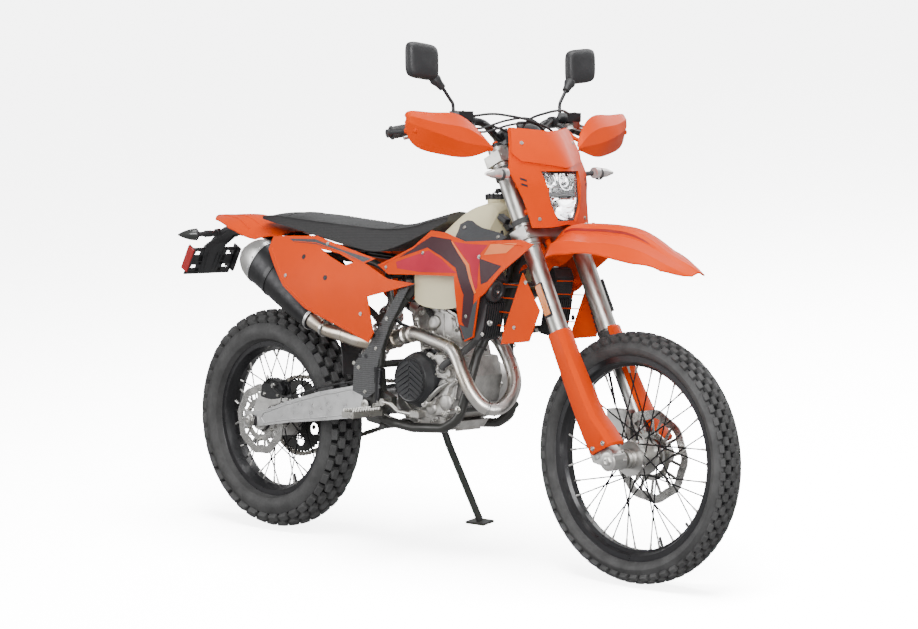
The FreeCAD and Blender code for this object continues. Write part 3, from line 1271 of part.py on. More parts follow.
def inner_fender():
    """The splash guard ahead of the rear tyre."""
    outline = [(-20, SUBFRAME_TAIL_Z - 14.0), (110, 868), (220, 836), (296, 760), (330, 650), (348, 560), (352, 500)]
    walls = []
    for (x0, z0), (x1, z1) in zip(outline, outline[1:]):
        walls.append(side_plate([(x0, z0), (x1, z1), (x1 + 4, z1 + 1), (x0 + 4, z0 + 4)], -58, 58))
    return fused(walls)


def tail_lamp():
    return block(-324, -310, -34, 34, 944, 961.8)


def plate_holder():
    front = SUBFRAME_TAIL_X - SEAT_GAP
    arm = side_plate([(front, 926), (front, 906), (-225, 870), (-300, 860), (-308, 936), (-210, 944)], -36, 36)
    base = block(front - 12, front, -56, 56, 906, 926)
    board = side_plate([(-335, 907), (-457, 764), (-440, 760), (-240, 793), (-225, 868), (-300, 925)], -66, 66)
    return fused([arm, base, board])


def rear_indicators():
    stalk = rod((-250, 37, 911), (-262, 130, 908), 7.0)
    lens = taper((-262, 124, 908), (-300, 172, 908), 15.0, 12.0)
    return both_sides(fused([stalk, lens]))


RADIATOR_FOOT = (1046.0, 650.0)
RADIATOR_HEAD = (1084.0, 838.0)
RADIATOR_DEPTH = 32.0
RADIATOR_LEAN = math.atan2(RADIATOR_HEAD[0] - RADIATOR_FOOT[0], RADIATOR_HEAD[1] - RADIATOR_FOOT[1])


def radiator_front(z, ahead=0.0):
    """X of the radiator's front face, or of a plane ahead of it, at a height."""
    return RADIATOR_FOOT[0] + (z - RADIATOR_FOOT[1]) * math.tan(RADIATOR_LEAN) + ahead


def radiators():
    """Two leaning cores, each with a front shroud of upright fins below its plain top."""
    rear = -RADIATOR_DEPTH
    core = side_plate([(radiator_front(655, rear), 655), RADIATOR_FOOT, (radiator_front(818), 818),
                       (radiator_front(840, rear / 2), 840), (radiator_front(845, rear), 845)],
                      RADIATOR_INNER, RADIATOR_OUTER)
    pitch = (RADIATOR_OUTER - RADIATOR_INNER - FIN_WALL) / (FIN_COUNT - 1)
    fins = []
    for number in range(FIN_COUNT):
        y = RADIATOR_INNER + pitch * number
        fins.append(side_plate([(radiator_front(656, -1), 656), (radiator_front(656, 5), 656),
                                (radiator_front(690, FIN_DEPTH), 690), (radiator_front(752, FIN_DEPTH), 752),
                                (radiator_front(758, -1), 758)], y, y + FIN_WALL))
    neck = rod((1008, 114, 669), (radiator_front(669, rear + 4), 114, 669), 9.0)
    return both_sides(fused([core, neck] + fins))


FIN_COUNT = 9
FIN_WALL = 3.0
FIN_DEPTH = 9.0


def horn():
    """A round horn on the right radiator's front face, above the fins."""
    face = Vector(math.cos(RADIATOR_LEAN), 0, -math.sin(RADIATOR_LEAN))
    profile = [(0, 0), (0, 11), (7, 11), (7, 30), (20, 30), (25, 25), (25, 20), (22, 18), (22, 8), (27, 8), (27, 0)]
    points = [vec((along, across, 0)) for along, across in profile]
    body = Part.Face(polygon(points)).revolve(Vector(0, 0, 0), Vector(1, 0, 0), 360)
    body.rotate(Vector(0, 0, 0), Vector(0, 1, 0), math.degrees(RADIATOR_LEAN))
    return body.translated(Vector(radiator_front(792), -159, 792) + face * SEAT_GAP)


LOUVRE_WALL = 2.5


def radiator_guards():
    """A wing ahead of each radiator, held by four level louvres."""
    rows = [
        [(1070, 141, 620), (1160, 142, 620), (1230, 130, 620)],
        [(1090, 141, 740), (1190, 143, 740), (1270, 130, 740)],
        [(1130, 141, 870), (1200, 142, 870), (1270, 132, 870)],
    ]
    outline = side_plate([(1100, 641), (1202, 653), (1240, 741), (1180, 842), (1156, 785), (1107, 671)], 0, 200)
    wing = smooth_sheet(rows, (0, PANEL_WALL - 1.0, 0), outline)
    louvres = []
    for z, proud in ((690.0, FIN_DEPTH), (728.0, FIN_DEPTH), (768.0, 0), (806.0, 0)):
        rear = radiator_front(z + LOUVRE_WALL, proud) + SEAT_GAP
        front = 1112 + (z - 671) * 0.43
        louvres.append(top_plate([(rear, 106), (rear, 122), (front + 2, 143.5), (front + 16, 143.5),
                                  (front + 16, 140), (rear + 16, 121)], z, z + LOUVRE_WALL))
    return both_sides(fused([wing] + louvres))


def tank_trims():
    """Dark side covers from the shrouds' top edge up over the tank, to the steering head."""
    rows = [
        [(900, 162, 890), (1000, 176, 890), (1100, 184, 890), (1200, 182, 890)],
        [(900, 160, 930), (1000, 170, 930), (1100, 172, 930), (1200, 168, 930)],
        [(900, 132, 960), (1000, 142, 960), (1100, 146, 960), (1200, 142, 960)],
        [(900, 118, 1000), (1000, 126, 1000), (1100, 130, 1000), (1200, 128, 1000)],
    ]
    outline = side_plate([(926, 970), (952, 982), (970, 981), (994, 971), (1021, 963), (1057, 958), (1099, 951),
                          (1134, 940), (1120, 928), (1075, 925), (1027, 922), (991, 915), (940, 906), (932, 930)], 0, 300)
    shell = smooth_sheet(rows, (0, -PANEL_WALL, 0), outline)
    bar = rod((962, 60, 945), (962, 200, 945), 8.0)
    peg = studs(rows, (0, -120, 0), [bar])[0].cut(tank_body().translated(Vector(0, SEAT_GAP, 0)))
    outer = max(peg.Solids, key=lambda solid: solid.BoundBox.YMax)
    return both_sides(fused([shell, outer]))


# Foot controls

def footpegs():
    peg = block(578, 628, PEG_START, 267, 404, 420)
    return both_sides(peg)


def brake_pedal():
    arm = pipe([(640, -160, 446), (672, -161, 444), (706, -162, 424), (782, -164, 420)], 6.5, 30.0)
    pad = block(770, 806, -178, -150, 414, 430)
    boss = rod((640, -PLATE_OUTER_Y - SEAT_GAP, 446), (640, -166, 446), 11.0)
    return fused([arm, pad, boss])


def shift_lever():
    arm = pipe([(700, 128, 432), (740, 138, 428), (792, 146, 440)], 5.5, 30.0)
    tip = rod((792, 138, 440), (792, 176, 440), 8.0)
    boss = rod((700, CHAIN_Y + 22.0 + SEAT_GAP, 432), (700, 136, 432), 9.0)
    return fused([arm, tip, boss])


# Side stand
STAND_GROUND_SHARE = LEAN_SIN / LEAN_COS


def contact_height():
    """How far the leaned rear tyre's lowest lug lies above the upright ground plane."""
    flat = math.cos(math.pi * LUG_SHARE / REAR_PITCHES)
    lowest = 0.0
    for base, tips in rear_tread():
        for y, radius in tips:
            lowest = max(lowest, y * LEAN_SIN + radius * flat * LEAN_COS)
    return REAR_AXLE_Z * LEAN_COS - lowest


CONTACT_HEIGHT = contact_height()
FOOT_Z = (CONTACT_HEIGHT + STAND_FOOT[1] * LEAN_SIN) / LEAN_COS
LEAN_PLACE = Placement(Vector(0, 0, -CONTACT_HEIGHT), Rotation(Vector(1, 0, 0), -LEAN))


def side_stand():
    """The side stand on its left pivot, foot flat on the ground of the leaned bike."""
    foot = (STAND_FOOT[0], STAND_FOOT[1], FOOT_Z + 8.0)
    knee = (STAND_PIVOT[0] + 8.0, STAND_PIVOT[1] + 22.0, STAND_PIVOT[2] - 60.0)
    top = (STAND_PIVOT[0], STAND_PIVOT[1] + 6.5, STAND_PIVOT[2] - 8.0)
    leg = pipe([top, knee, foot], STAND_LEG_RADIUS, 60.0)
    axis = vec(STAND_AXIS).normalize()
    centre = vec(STAND_PIVOT)
    eye = Part.makeCylinder(17.0, 2 * STAND_EYE_HALF, centre - axis * STAND_EYE_HALF, axis)
    bore = Part.makeCylinder(STAND_BOLT_RADIUS + 0.05, 60.0, centre - axis * 30.0, axis)
    pad = Part.makeBox(76, 48, 7, Vector(-38, -24, 0))
    pad.transformShape(Placement(Vector(STAND_FOOT[0], STAND_FOOT[1], FOOT_Z),
                                 Rotation(Vector(1, 0, 0), LEAN)).toMatrix(), True)
    return fused([leg, eye, pad]).cut(bore)


NODES = {
    "front_tyre": front_tyre,
    "front_rim": front_rim,
    "front_spokes": front_spokes,
    "front_hub": front_hub,
    "front_disc": front_disc,
    "rear_tyre": rear_tyre,
    "rear_rim": rear_rim,
    "rear_spokes": rear_spokes,
    "rear_hub": rear_hub,
    "rear_disc": rear_disc,
    "rear_sprocket": rear_sprocket,
    "front_axle": front_axle,
    "rear_axle": rear_axle,
    "chain": chain,
    "front_sprocket": front_sprocket,
    "chain_guide": chain_guide,
    "fork_tubes": fork_tubes,
    "fork_legs": fork_legs,
    "fork_guards": fork_guards,
    "triple_clamps": triple_clamps,
    "handlebar": handlebar,
    "grips": grips,
    "levers": levers,
    "handguards": handguards,
    "mirrors": mirrors,
    "headlight_mask": headlight_mask,
    "headlamp": headlamp,
    "front_fender": front_fender,
    "front_indicators": front_indicators,
    "front_caliper": front_caliper,
    "brake_hose": brake_hose,
    "crankcase": crankcase,
    "cylinder": cylinder,
    "clutch_cover": clutch_cover,
    "ignition_cover": ignition_cover,
    "exhaust_header": exhaust_header,
    "silencer": silencer,
    "silencer_cap": silencer_cap,
    "main_frame": main_frame,
    "subframe": subframe,
    "frame_guards": frame_guards,
    "swingarm": swingarm,
    "pivot_bolt": pivot_bolt,
    "shock": shock,
    "rear_caliper": rear_caliper,
    "seat": seat,
    "fuel_tank": fuel_tank,
    "fuel_cap": fuel_cap,
    "shrouds": shrouds,
    "side_panels": side_panels,
    "rear_fender": rear_fender,
    "inner_fender": inner_fender,
    "tail_lamp": tail_lamp,
    "plate_holder": plate_holder,
    "rear_indicators": rear_indicators,
    "radiators": lambda: Part.makeCompound([radiators(), horn()]),
    "radiator_guards": radiator_guards,
    "tank_trims": tank_trims,
    "foot_controls": lambda: Part.makeCompound([footpegs(), brake_pedal(), shift_lever()]),
    "side_stand": side_stand,
}


def main():
    os.makedirs("parts", exist_ok=True)
    shapes = {}
    for name, make in NODES.items():
        shape = make()
        shape.transformShape(LEAN_PLACE.toMatrix(), True)
        shapes[name] = shape
    whole = Part.makeCompound(list(shapes.values())).optimalBoundingBox(False, False)
    middle = Vector(-(whole.XMin + whole.XMax) / 2, -(whole.YMin + whole.YMax) / 2, -whole.ZMin)
    for name, shape in shapes.items():
        shape.translate(middle)
        shape.exportStep("parts/" + name + ".step")
        print(name, len(shape.Solids), round(shape.Volume / 1000), shape.isValid())
    print("shift", middle, "contact", CONTACT_HEIGHT, "low", whole.ZMin)
    print("size", whole.XLength, whole.YLength, whole.ZLength)


main()
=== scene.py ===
"""An enduro motorcycle, parked on its side stand in a plain pale studio."""
import json
import math

import bmesh
import bpy
import numpy as np
from mathutils import Matrix, Vector
from mathutils.bvhtree import BVHTree
from mathutils.geometry import delaunay_2d_cdt


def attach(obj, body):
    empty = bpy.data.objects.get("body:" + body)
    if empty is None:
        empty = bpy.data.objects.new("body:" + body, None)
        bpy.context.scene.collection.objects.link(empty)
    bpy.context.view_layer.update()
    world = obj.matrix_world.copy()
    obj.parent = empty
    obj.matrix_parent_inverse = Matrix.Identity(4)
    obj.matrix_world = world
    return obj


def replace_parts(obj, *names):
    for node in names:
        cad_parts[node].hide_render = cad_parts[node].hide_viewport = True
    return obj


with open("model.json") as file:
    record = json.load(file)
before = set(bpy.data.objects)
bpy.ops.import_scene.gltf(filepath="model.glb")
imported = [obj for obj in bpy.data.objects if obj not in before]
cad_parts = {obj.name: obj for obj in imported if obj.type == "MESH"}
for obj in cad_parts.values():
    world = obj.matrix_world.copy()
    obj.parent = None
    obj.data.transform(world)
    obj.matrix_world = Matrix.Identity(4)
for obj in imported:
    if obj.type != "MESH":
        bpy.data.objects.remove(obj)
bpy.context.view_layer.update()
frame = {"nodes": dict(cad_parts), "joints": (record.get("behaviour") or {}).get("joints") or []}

# Driving sizes of the upright bike, in millimetres from below the rear axle
WHEELBASE = 1482.0
RAKE = math.radians(26.1)
REAR_AXLE_Z = 340.3
FRONT_AXLE_Z = 345.0
FRONT_TYRE_RADIUS = 345.0
FRONT_TYRE_WIDTH = 90.0
FRONT_RIM_RADIUS = 281.5
FRONT_RIM_WIDTH = 54.0
REAR_TYRE_RADIUS = 340.0
REAR_TYRE_WIDTH = 136.0
REAR_RIM_RADIUS = 241.5
REAR_RIM_WIDTH = 70.0
CHAIN_PITCH = 15.875
CHAIN_Y = 84.0
REAR_TEETH = 48
FRONT_TEETH = 14
FRONT_SPROCKET = (630.0, 450.0)
FORK_Y = 98.0
CLAMP_OFFSET = 22.0
AXLE_AHEAD = 54.0
STEER_X = WHEELBASE - AXLE_AHEAD * math.cos(RAKE)
STEER_Z = FRONT_AXLE_Z - AXLE_AHEAD * math.sin(RAKE)

# The bike leans with its axles, so its place comes from the rear wheel's joint
joints = {joint["name"]: joint for joint in frame["joints"]}
rear_spin = joints["rear_wheel_spin"]
ACROSS = Vector(rear_spin["axis"])
AHEAD = Vector((1.0, 0.0, 0.0))
UPWARD = AHEAD.cross(ACROSS)
PLACE = Matrix((AHEAD, ACROSS, UPWARD)).transposed().to_4x4()
PLACE.translation = Vector(rear_spin["pos_m"]) - UPWARD * REAR_AXLE_Z / 1000
BIKE = PLACE @ Matrix.Scale(0.001, 4)

SIDES = (-1, 1)
UP = (0, 0, 1)
LEFTWARD = (0, 1, 0)
RIGHTWARD = (0, -1, 0)
# Where the rays start that find a place on a side panel
OUTER_Y = 420.0


def on_fork(ahead, side, height):
    """A place in the bike's frame from one given along the steering axis."""
    x = STEER_X + ahead * math.cos(RAKE) - height * math.sin(RAKE)
    z = STEER_Z + ahead * math.sin(RAKE) + height * math.cos(RAKE)
    return (x, side, z)


def turns(count, phase=0.0):
    """Angles evenly spaced round a circle."""
    return [2 * math.pi * (number + phase) / count for number in range(count)]


def between(start, end, share):
    """A flat point part of the way from one to another."""
    return (start[0] + (end[0] - start[0]) * share, start[1] + (end[1] - start[1]) * share)


# Camera, as fitted to the photograph: angles, distances in metres, lens in millimetres
CAMERA_AZIMUTH = math.radians(45.0856)
CAMERA_ELEVATION = math.radians(3.8155)
CAMERA_ROLL = math.radians(0.2202)
CAMERA_TARGET = Vector((0.741, 0.0, 0.5))
CAMERA_REACH = 7.5908
CAMERA_RIGHT = 0.03527
CAMERA_RISE = 0.19894
CAMERA_LENS = 101.84


def make_camera():
    flat = math.cos(CAMERA_ELEVATION)
    back = Vector((math.sin(CAMERA_AZIMUTH) * flat, -math.cos(CAMERA_AZIMUTH) * flat,
                   math.sin(CAMERA_ELEVATION)))
    level = (-back).cross(Vector(UP)).normalized()
    upright = level.cross(-back)
    right = level * math.cos(CAMERA_ROLL) + upright * math.sin(CAMERA_ROLL)
    up = upright * math.cos(CAMERA_ROLL) - level * math.sin(CAMERA_ROLL)
    camera = bpy.data.cameras.new("camera")
    camera.sensor_width = 36.0
    camera.lens = CAMERA_LENS
    holder = bpy.data.objects.new("camera", camera)
    bpy.context.collection.objects.link(holder)
    turn = Matrix((right, up, back)).transposed().to_4x4()
    turn.translation = CAMERA_TARGET + back * CAMERA_REACH + right * CAMERA_RIGHT + up * CAMERA_RISE
    holder.matrix_world = PLACE @ turn
    bpy.context.scene.camera = holder


# Materials, each kept under its name
finishes = {}


def shader(name, colour, roughness, metallic=0.0):
    """A new material's node tree and shader."""
    made = bpy.data.materials.new(name)
    made.use_nodes = True
    made.diffuse_color = (*colour, 1.0)
    finishes[name] = made
    surface = made.node_tree.nodes["Principled BSDF"]
    surface.inputs["Base Color"].default_value = (*colour, 1.0)
    surface.inputs["Roughness"].default_value = roughness
    surface.inputs["Metallic"].default_value = metallic
    return made.node_tree, surface


def add_node(tree, kind, output, values, links):
    """A node with some inputs set and some linked; gives one of its outputs."""
    made = tree.nodes.new("ShaderNode" + kind)
    for socket, value in values.items():
        made.inputs[socket].default_value = value
    for socket, source in links.items():
        tree.links.new(source, made.inputs[socket])
    return made.outputs[output]


def object_space(tree, stretch=(1, 1, 1)):
    """Object coordinates, stretched along the axes."""
    source = add_node(tree, "TexCoord", "Object", {}, {})
    return add_node(tree, "Mapping", "Vector", {"Scale": stretch}, {"Vector": source})


def noise(tree, place, scale, detail=3.0):
    return add_node(tree, "TexNoise", "Fac", {"Scale": scale, "Detail": detail}, {"Vector": place})


def spread(tree, value, low, high):
    """Maps the middle of a noise's values to a range."""
    ends = {"From Min": 0.3, "From Max": 0.7, "To Min": low, "To Max": high}
    return add_node(tree, "MapRange", "Result", ends, {"Value": value})


def tint(tree, value, low, high):
    """Blends two colours by a value."""
    node = tree.nodes.new("ShaderNodeMix")
    node.data_type = "RGBA"
    node.inputs["A"].default_value = (*low, 1.0)
    node.inputs["B"].default_value = (*high, 1.0)
    tree.links.new(value, node.inputs["Factor"])
    return node.outputs["Result"]


def relief(tree, surface, height, strength, depth):
    bump = add_node(tree, "Bump", "Normal", {"Strength": strength, "Distance": depth}, {"Height": height})
    tree.links.new(bump, surface.inputs["Normal"])


def finish(name, colour, roughness, metallic=0.0, shade=0.12, patches=9.0, grain=900.0, strength=0.15,
           depth=0.0004, coat=0.0, stretch=(1, 1, 1), sway=0.08, shine=0.5, gloss_tint=(1.0, 1.0, 1.0)):
    """A finish with uneven colour and roughness and a fine grain."""
    tree, surface = shader(name, colour, roughness, metallic)
    surface.inputs["Specular IOR Level"].default_value = shine
    surface.inputs["Coat Weight"].default_value = coat
    surface.inputs["Coat Roughness"].default_value = 0.08
    surface.inputs["Specular Tint"].default_value = (*gloss_tint, 1.0)
    place = object_space(tree)
    dark = tuple(channel * (1 - shade) for channel in colour)
    light = tuple(min(1.0, channel * (1 + shade)) for channel in colour)
    mixed = tint(tree, spread(tree, noise(tree, place, patches), 0.0, 1.0), dark, light)
    tree.links.new(mixed, surface.inputs["Base Color"])
    uneven = noise(tree, place, patches * 6)
    tree.links.new(spread(tree, uneven, roughness - sway, roughness + sway), surface.inputs["Roughness"])
    relief(tree, surface, noise(tree, object_space(tree, stretch), grain, 2.0), strength, depth)


def patterned(name, colour, roughness, pitch, strength, depth):
    """A matt finish with a raised square grid, pitch metres apart; its grooves are painted darker, as painted
    shade.
    """
    tree, surface = shader(name, colour, roughness)
    place = object_space(tree)
    grid = tree.nodes.new("ShaderNodeMath")
    grid.operation = "MINIMUM"
    for number, direction in enumerate(("X", "Z")):
        wave = tree.nodes.new("ShaderNodeTexWave")
        wave.wave_type = "BANDS"
        wave.bands_direction = direction
        wave.inputs["Scale"].default_value = 0.314 / pitch
        tree.links.new(place, wave.inputs["Vector"])
        tree.links.new(wave.outputs["Fac"], grid.inputs[number])
    height = grid.outputs["Value"]
    # Painted shade: the grid's grooves take 0.45 of the colour, darker than its raised tops
    dark = tuple(channel * 0.45 for channel in colour)
    tree.links.new(tint(tree, height, dark, colour), surface.inputs["Base Color"])
    relief(tree, surface, height, strength, depth)


def clear(name, colour, roughness=0.03, index=1.45):
    surface = shader(name, colour, roughness)[1]
    surface.inputs["Transmission Weight"].default_value = 1.0
    surface.inputs["IOR"].default_value = index


def heat_tinted(name):
    """Stainless pipe, straw and brown where it runs hot."""
    tree, surface = shader(name, (0.55, 0.5, 0.44), 0.25, 1.0)
    place = object_space(tree)
    ramp = tree.nodes.new("ShaderNodeValToRGB")
    stops = ramp.color_ramp.elements
    stops[0].position = 0.30
    stops[0].color = (0.60, 0.51, 0.40, 1.0)
    stops[1].position = 0.62
    stops[1].color = (0.80, 0.78, 0.75, 1.0)
    stops.new(0.44).color = (0.74, 0.68, 0.60, 1.0)
    tree.links.new(noise(tree, place, 7.0, 2.0), ramp.inputs["Fac"])
    tree.links.new(ramp.outputs["Color"], surface.inputs["Base Color"])
    tree.links.new(spread(tree, noise(tree, place, 60.0), 0.26, 0.36), surface.inputs["Roughness"])
    relief(tree, surface, noise(tree, place, 500.0), 0.03, 0.0002)


finish("orange", (0.74, 0.054, 0.0), 0.36, shade=0.04, grain=1500.0, strength=0.04, sway=0.04, shine=0.35,
       gloss_tint=(1.0, 0.22, 0.03))
finish("black_plastic", (0.026, 0.026, 0.028), 0.46, grain=1600.0, strength=0.25)
finish("frame_paint", (0.030, 0.030, 0.027), 0.36, grain=700.0, strength=0.10, coat=0.15)
# Raised grid on the frame guards, its grooves painted darker as painted shade
patterned("guard_grid", (0.13, 0.132, 0.135), 0.58, 0.0060, 0.8, 0.0012)
finish("rubber", (0.056, 0.056, 0.056), 0.66, shade=0.3, patches=20.0, grain=650.0, strength=0.35,
       depth=0.0008)
# Near black rubber for the casing between the lugs: painted shade in the tread's gaps, darker than the tyre's
# own rubber
finish("tread_gap_painted_shade", (0.010, 0.010, 0.011), 0.85, grain=650.0, strength=0.3, shine=0.15)
finish("spoke_black", (0.010, 0.010, 0.011), 0.5, strength=0.05, shine=0.2)
finish("lamp_clear", (0.72, 0.68, 0.66), 0.14, 0.5, shade=0.25, patches=60.0, strength=0.1, coat=0.5)
finish("alloy", (0.66, 0.65, 0.63), 0.36, 1.0, shade=0.14, strength=0.3)
finish("cast_alloy", (0.60, 0.585, 0.56), 0.42, 1.0, shade=0.25, patches=26.0, grain=700.0, strength=0.55,
       depth=0.0007)
finish("brushed_alloy", (0.70, 0.70, 0.70), 0.34, 1.0, shade=0.08, grain=260.0, strength=0.12,
       stretch=(1, 12, 12))
finish("fork_alloy", (0.56, 0.55, 0.52), 0.36, 1.0, shade=0.06, grain=300.0, strength=0.10,
       stretch=(10, 10, 1))
finish("steel", (0.56, 0.55, 0.53), 0.25, 1.0, shade=0.14, grain=800.0, strength=0.08)
finish("zinc", (0.48, 0.47, 0.44), 0.33, 1.0, shade=0.2)
finish("chain_steel", (0.30, 0.28, 0.25), 0.40, 1.0, shade=0.3, strength=0.2)
finish("dark_alloy", (0.040, 0.040, 0.042), 0.38, 0.8, shade=0.15, grain=240.0, strength=0.12,
       stretch=(6, 12, 1))
finish("black_alloy", (0.022, 0.022, 0.024), 0.34, 0.4, shade=0.15, strength=0.10, coat=0.2)
finish("cover_black", (0.028, 0.029, 0.031), 0.42, 0.3, shade=0.2, strength=0.3)
heat_tinted("header")
finish("tank", (0.74, 0.67, 0.43), 0.38, shade=0.06, patches=6.0, grain=700.0, strength=0.12)
finish("seat_top", (0.045, 0.046, 0.047), 0.52, shade=0.25, grain=1300.0, strength=0.5)
# Raised grid on the seat's sides, its grooves painted darker as painted shade
patterned("seat_side", (0.034, 0.034, 0.035), 0.6, 0.0042, 0.5, 0.0008)
finish("graphic_dark", (0.050, 0.016, 0.022), 0.42, sway=0.03, strength=0.02, shine=0.25)
finish("graphic_red", (0.50, 0.022, 0.050), 0.42, sway=0.03, strength=0.02, shine=0.2,
       gloss_tint=(1.0, 0.3, 0.3))
finish("graphic_grey", (0.022, 0.022, 0.024), 0.45, sway=0.03, strength=0.02, shine=0.3)
finish("graphic_line", (0.85, 0.20, 0.05), 0.4, sway=0.03, strength=0.02, shine=0.25)
finish("trim_grey", (0.050, 0.052, 0.056), 0.46, grain=1500.0, strength=0.22)
finish("thread", (0.10, 0.10, 0.105), 0.7, grain=1800.0, strength=0.3)
finish("spring_white", (0.74, 0.74, 0.72), 0.34, coat=0.3, strength=0.05)
finish("red_dark", (0.10, 0.008, 0.008), 0.18, coat=0.5, strength=0.02)
finish("amber_reflector", (0.75, 0.20, 0.01), 0.16, coat=0.6, grain=420.0, strength=0.35)
finish("screen", (0.012, 0.014, 0.016), 0.08, coat=0.6, strength=0.0, sway=0.02)
# Dark red film for the front fender: painted shade of the channel's inward wall, on plastic that is orange
# all over
finish("fender_channel_painted_shade", (0.30, 0.012, 0.008), 0.4, strength=0.05)
finish("smoke_black", (0.030, 0.032, 0.030), 0.22, coat=0.4, strength=0.02, sway=0.03)
finish("red_reflector", (0.42, 0.008, 0.008), 0.15, coat=0.6, grain=420.0, strength=0.3)
finish("hose", (0.015, 0.015, 0.016), 0.5, strength=0.2)
finish("mirror_glass", (0.8, 0.82, 0.84), 0.04, 1.0, shade=0.01, strength=0.0, sway=0.01)
finish("chrome", (0.82, 0.82, 0.83), 0.09, 1.0, shade=0.03, strength=0.02, sway=0.03)
clear("glass", (0.98, 0.99, 1.0))
clear("red_lens", (0.75, 0.01, 0.01), 0.12)

NODE_FINISH = {
    "rubber": ["grips", "front_tyre", "rear_tyre"],
    "black_alloy": ["front_rim", "rear_rim", "handlebar", "pivot_bolt"],
    "spoke_black": ["front_spokes", "rear_spokes"],
    "alloy": ["front_hub", "rear_hub", "fork_legs", "levers", "silencer_cap", "front_caliper",
              "rear_caliper"],
    "steel": ["front_disc", "rear_disc", "front_axle", "rear_axle", "front_sprocket"],
    "chain_steel": ["chain"],
    "fork_alloy": ["fork_tubes", "triple_clamps"],
    "cast_alloy": ["crankcase", "cylinder", "ignition_cover"],
    "trim_grey": ["tank_trims"],
    "brushed_alloy": ["swingarm"],
    "header": ["exhaust_header"],
    "dark_alloy": ["silencer"],
    "cover_black": ["clutch_cover"],
    "frame_paint": ["main_frame", "subframe", "side_stand", "rear_sprocket"],
    "guard_grid": ["frame_guards"],
    "orange": ["fork_guards", "handguards", "headlight_mask", "front_fender", "shrouds", "side_panels",
               "rear_fender", "radiator_guards"],
    "black_plastic": ["chain_guide", "mirrors", "front_indicators", "inner_fender", "plate_holder",
                      "rear_indicators", "radiators", "fuel_cap", "headlamp"],
    "tank": ["fuel_tank"],
    "seat_top": ["seat"],
    "zinc": ["foot_controls", "shock"],
    "hose": ["brake_hose"],
    "red_lens": ["tail_lamp"],
}


def dress_nodes():
    """Gives every CAD node its finish."""
    for name, nodes in NODE_FINISH.items():
        for node in nodes:
            mesh = frame["nodes"][node].data
            mesh.materials.clear()
            mesh.materials.append(finishes[name])


# Shapes, each collected in bike millimetres and placed as one mesh
def smooth_route(points, step=6):
    """A smooth line through points, with its ends kept."""
    points = [Vector(point) for point in points]
    padded = [points[0] * 2 - points[1]] + points + [points[-1] * 2 - points[-2]]
    line = []
    for a, b, c, d in zip(padded, padded[1:], padded[2:], padded[3:]):
        for number in range(step):
            t = number / step
            line.append(0.5 * ((2 * b) + (c - a) * t + (2 * a - 5 * b + 4 * c - d) * t * t
                               + (3 * b - a - 3 * c + d) * t * t * t))
    line.append(points[-1])
    return line


def frame_of(direction):
    """Two directions across a third."""
    direction = Vector(direction).normalized()
    other = Vector((0, 0, 1)) if abs(direction.z) < 0.9 else Vector((1, 0, 0))
    first = direction.cross(other).normalized()
    return first, direction.cross(first)


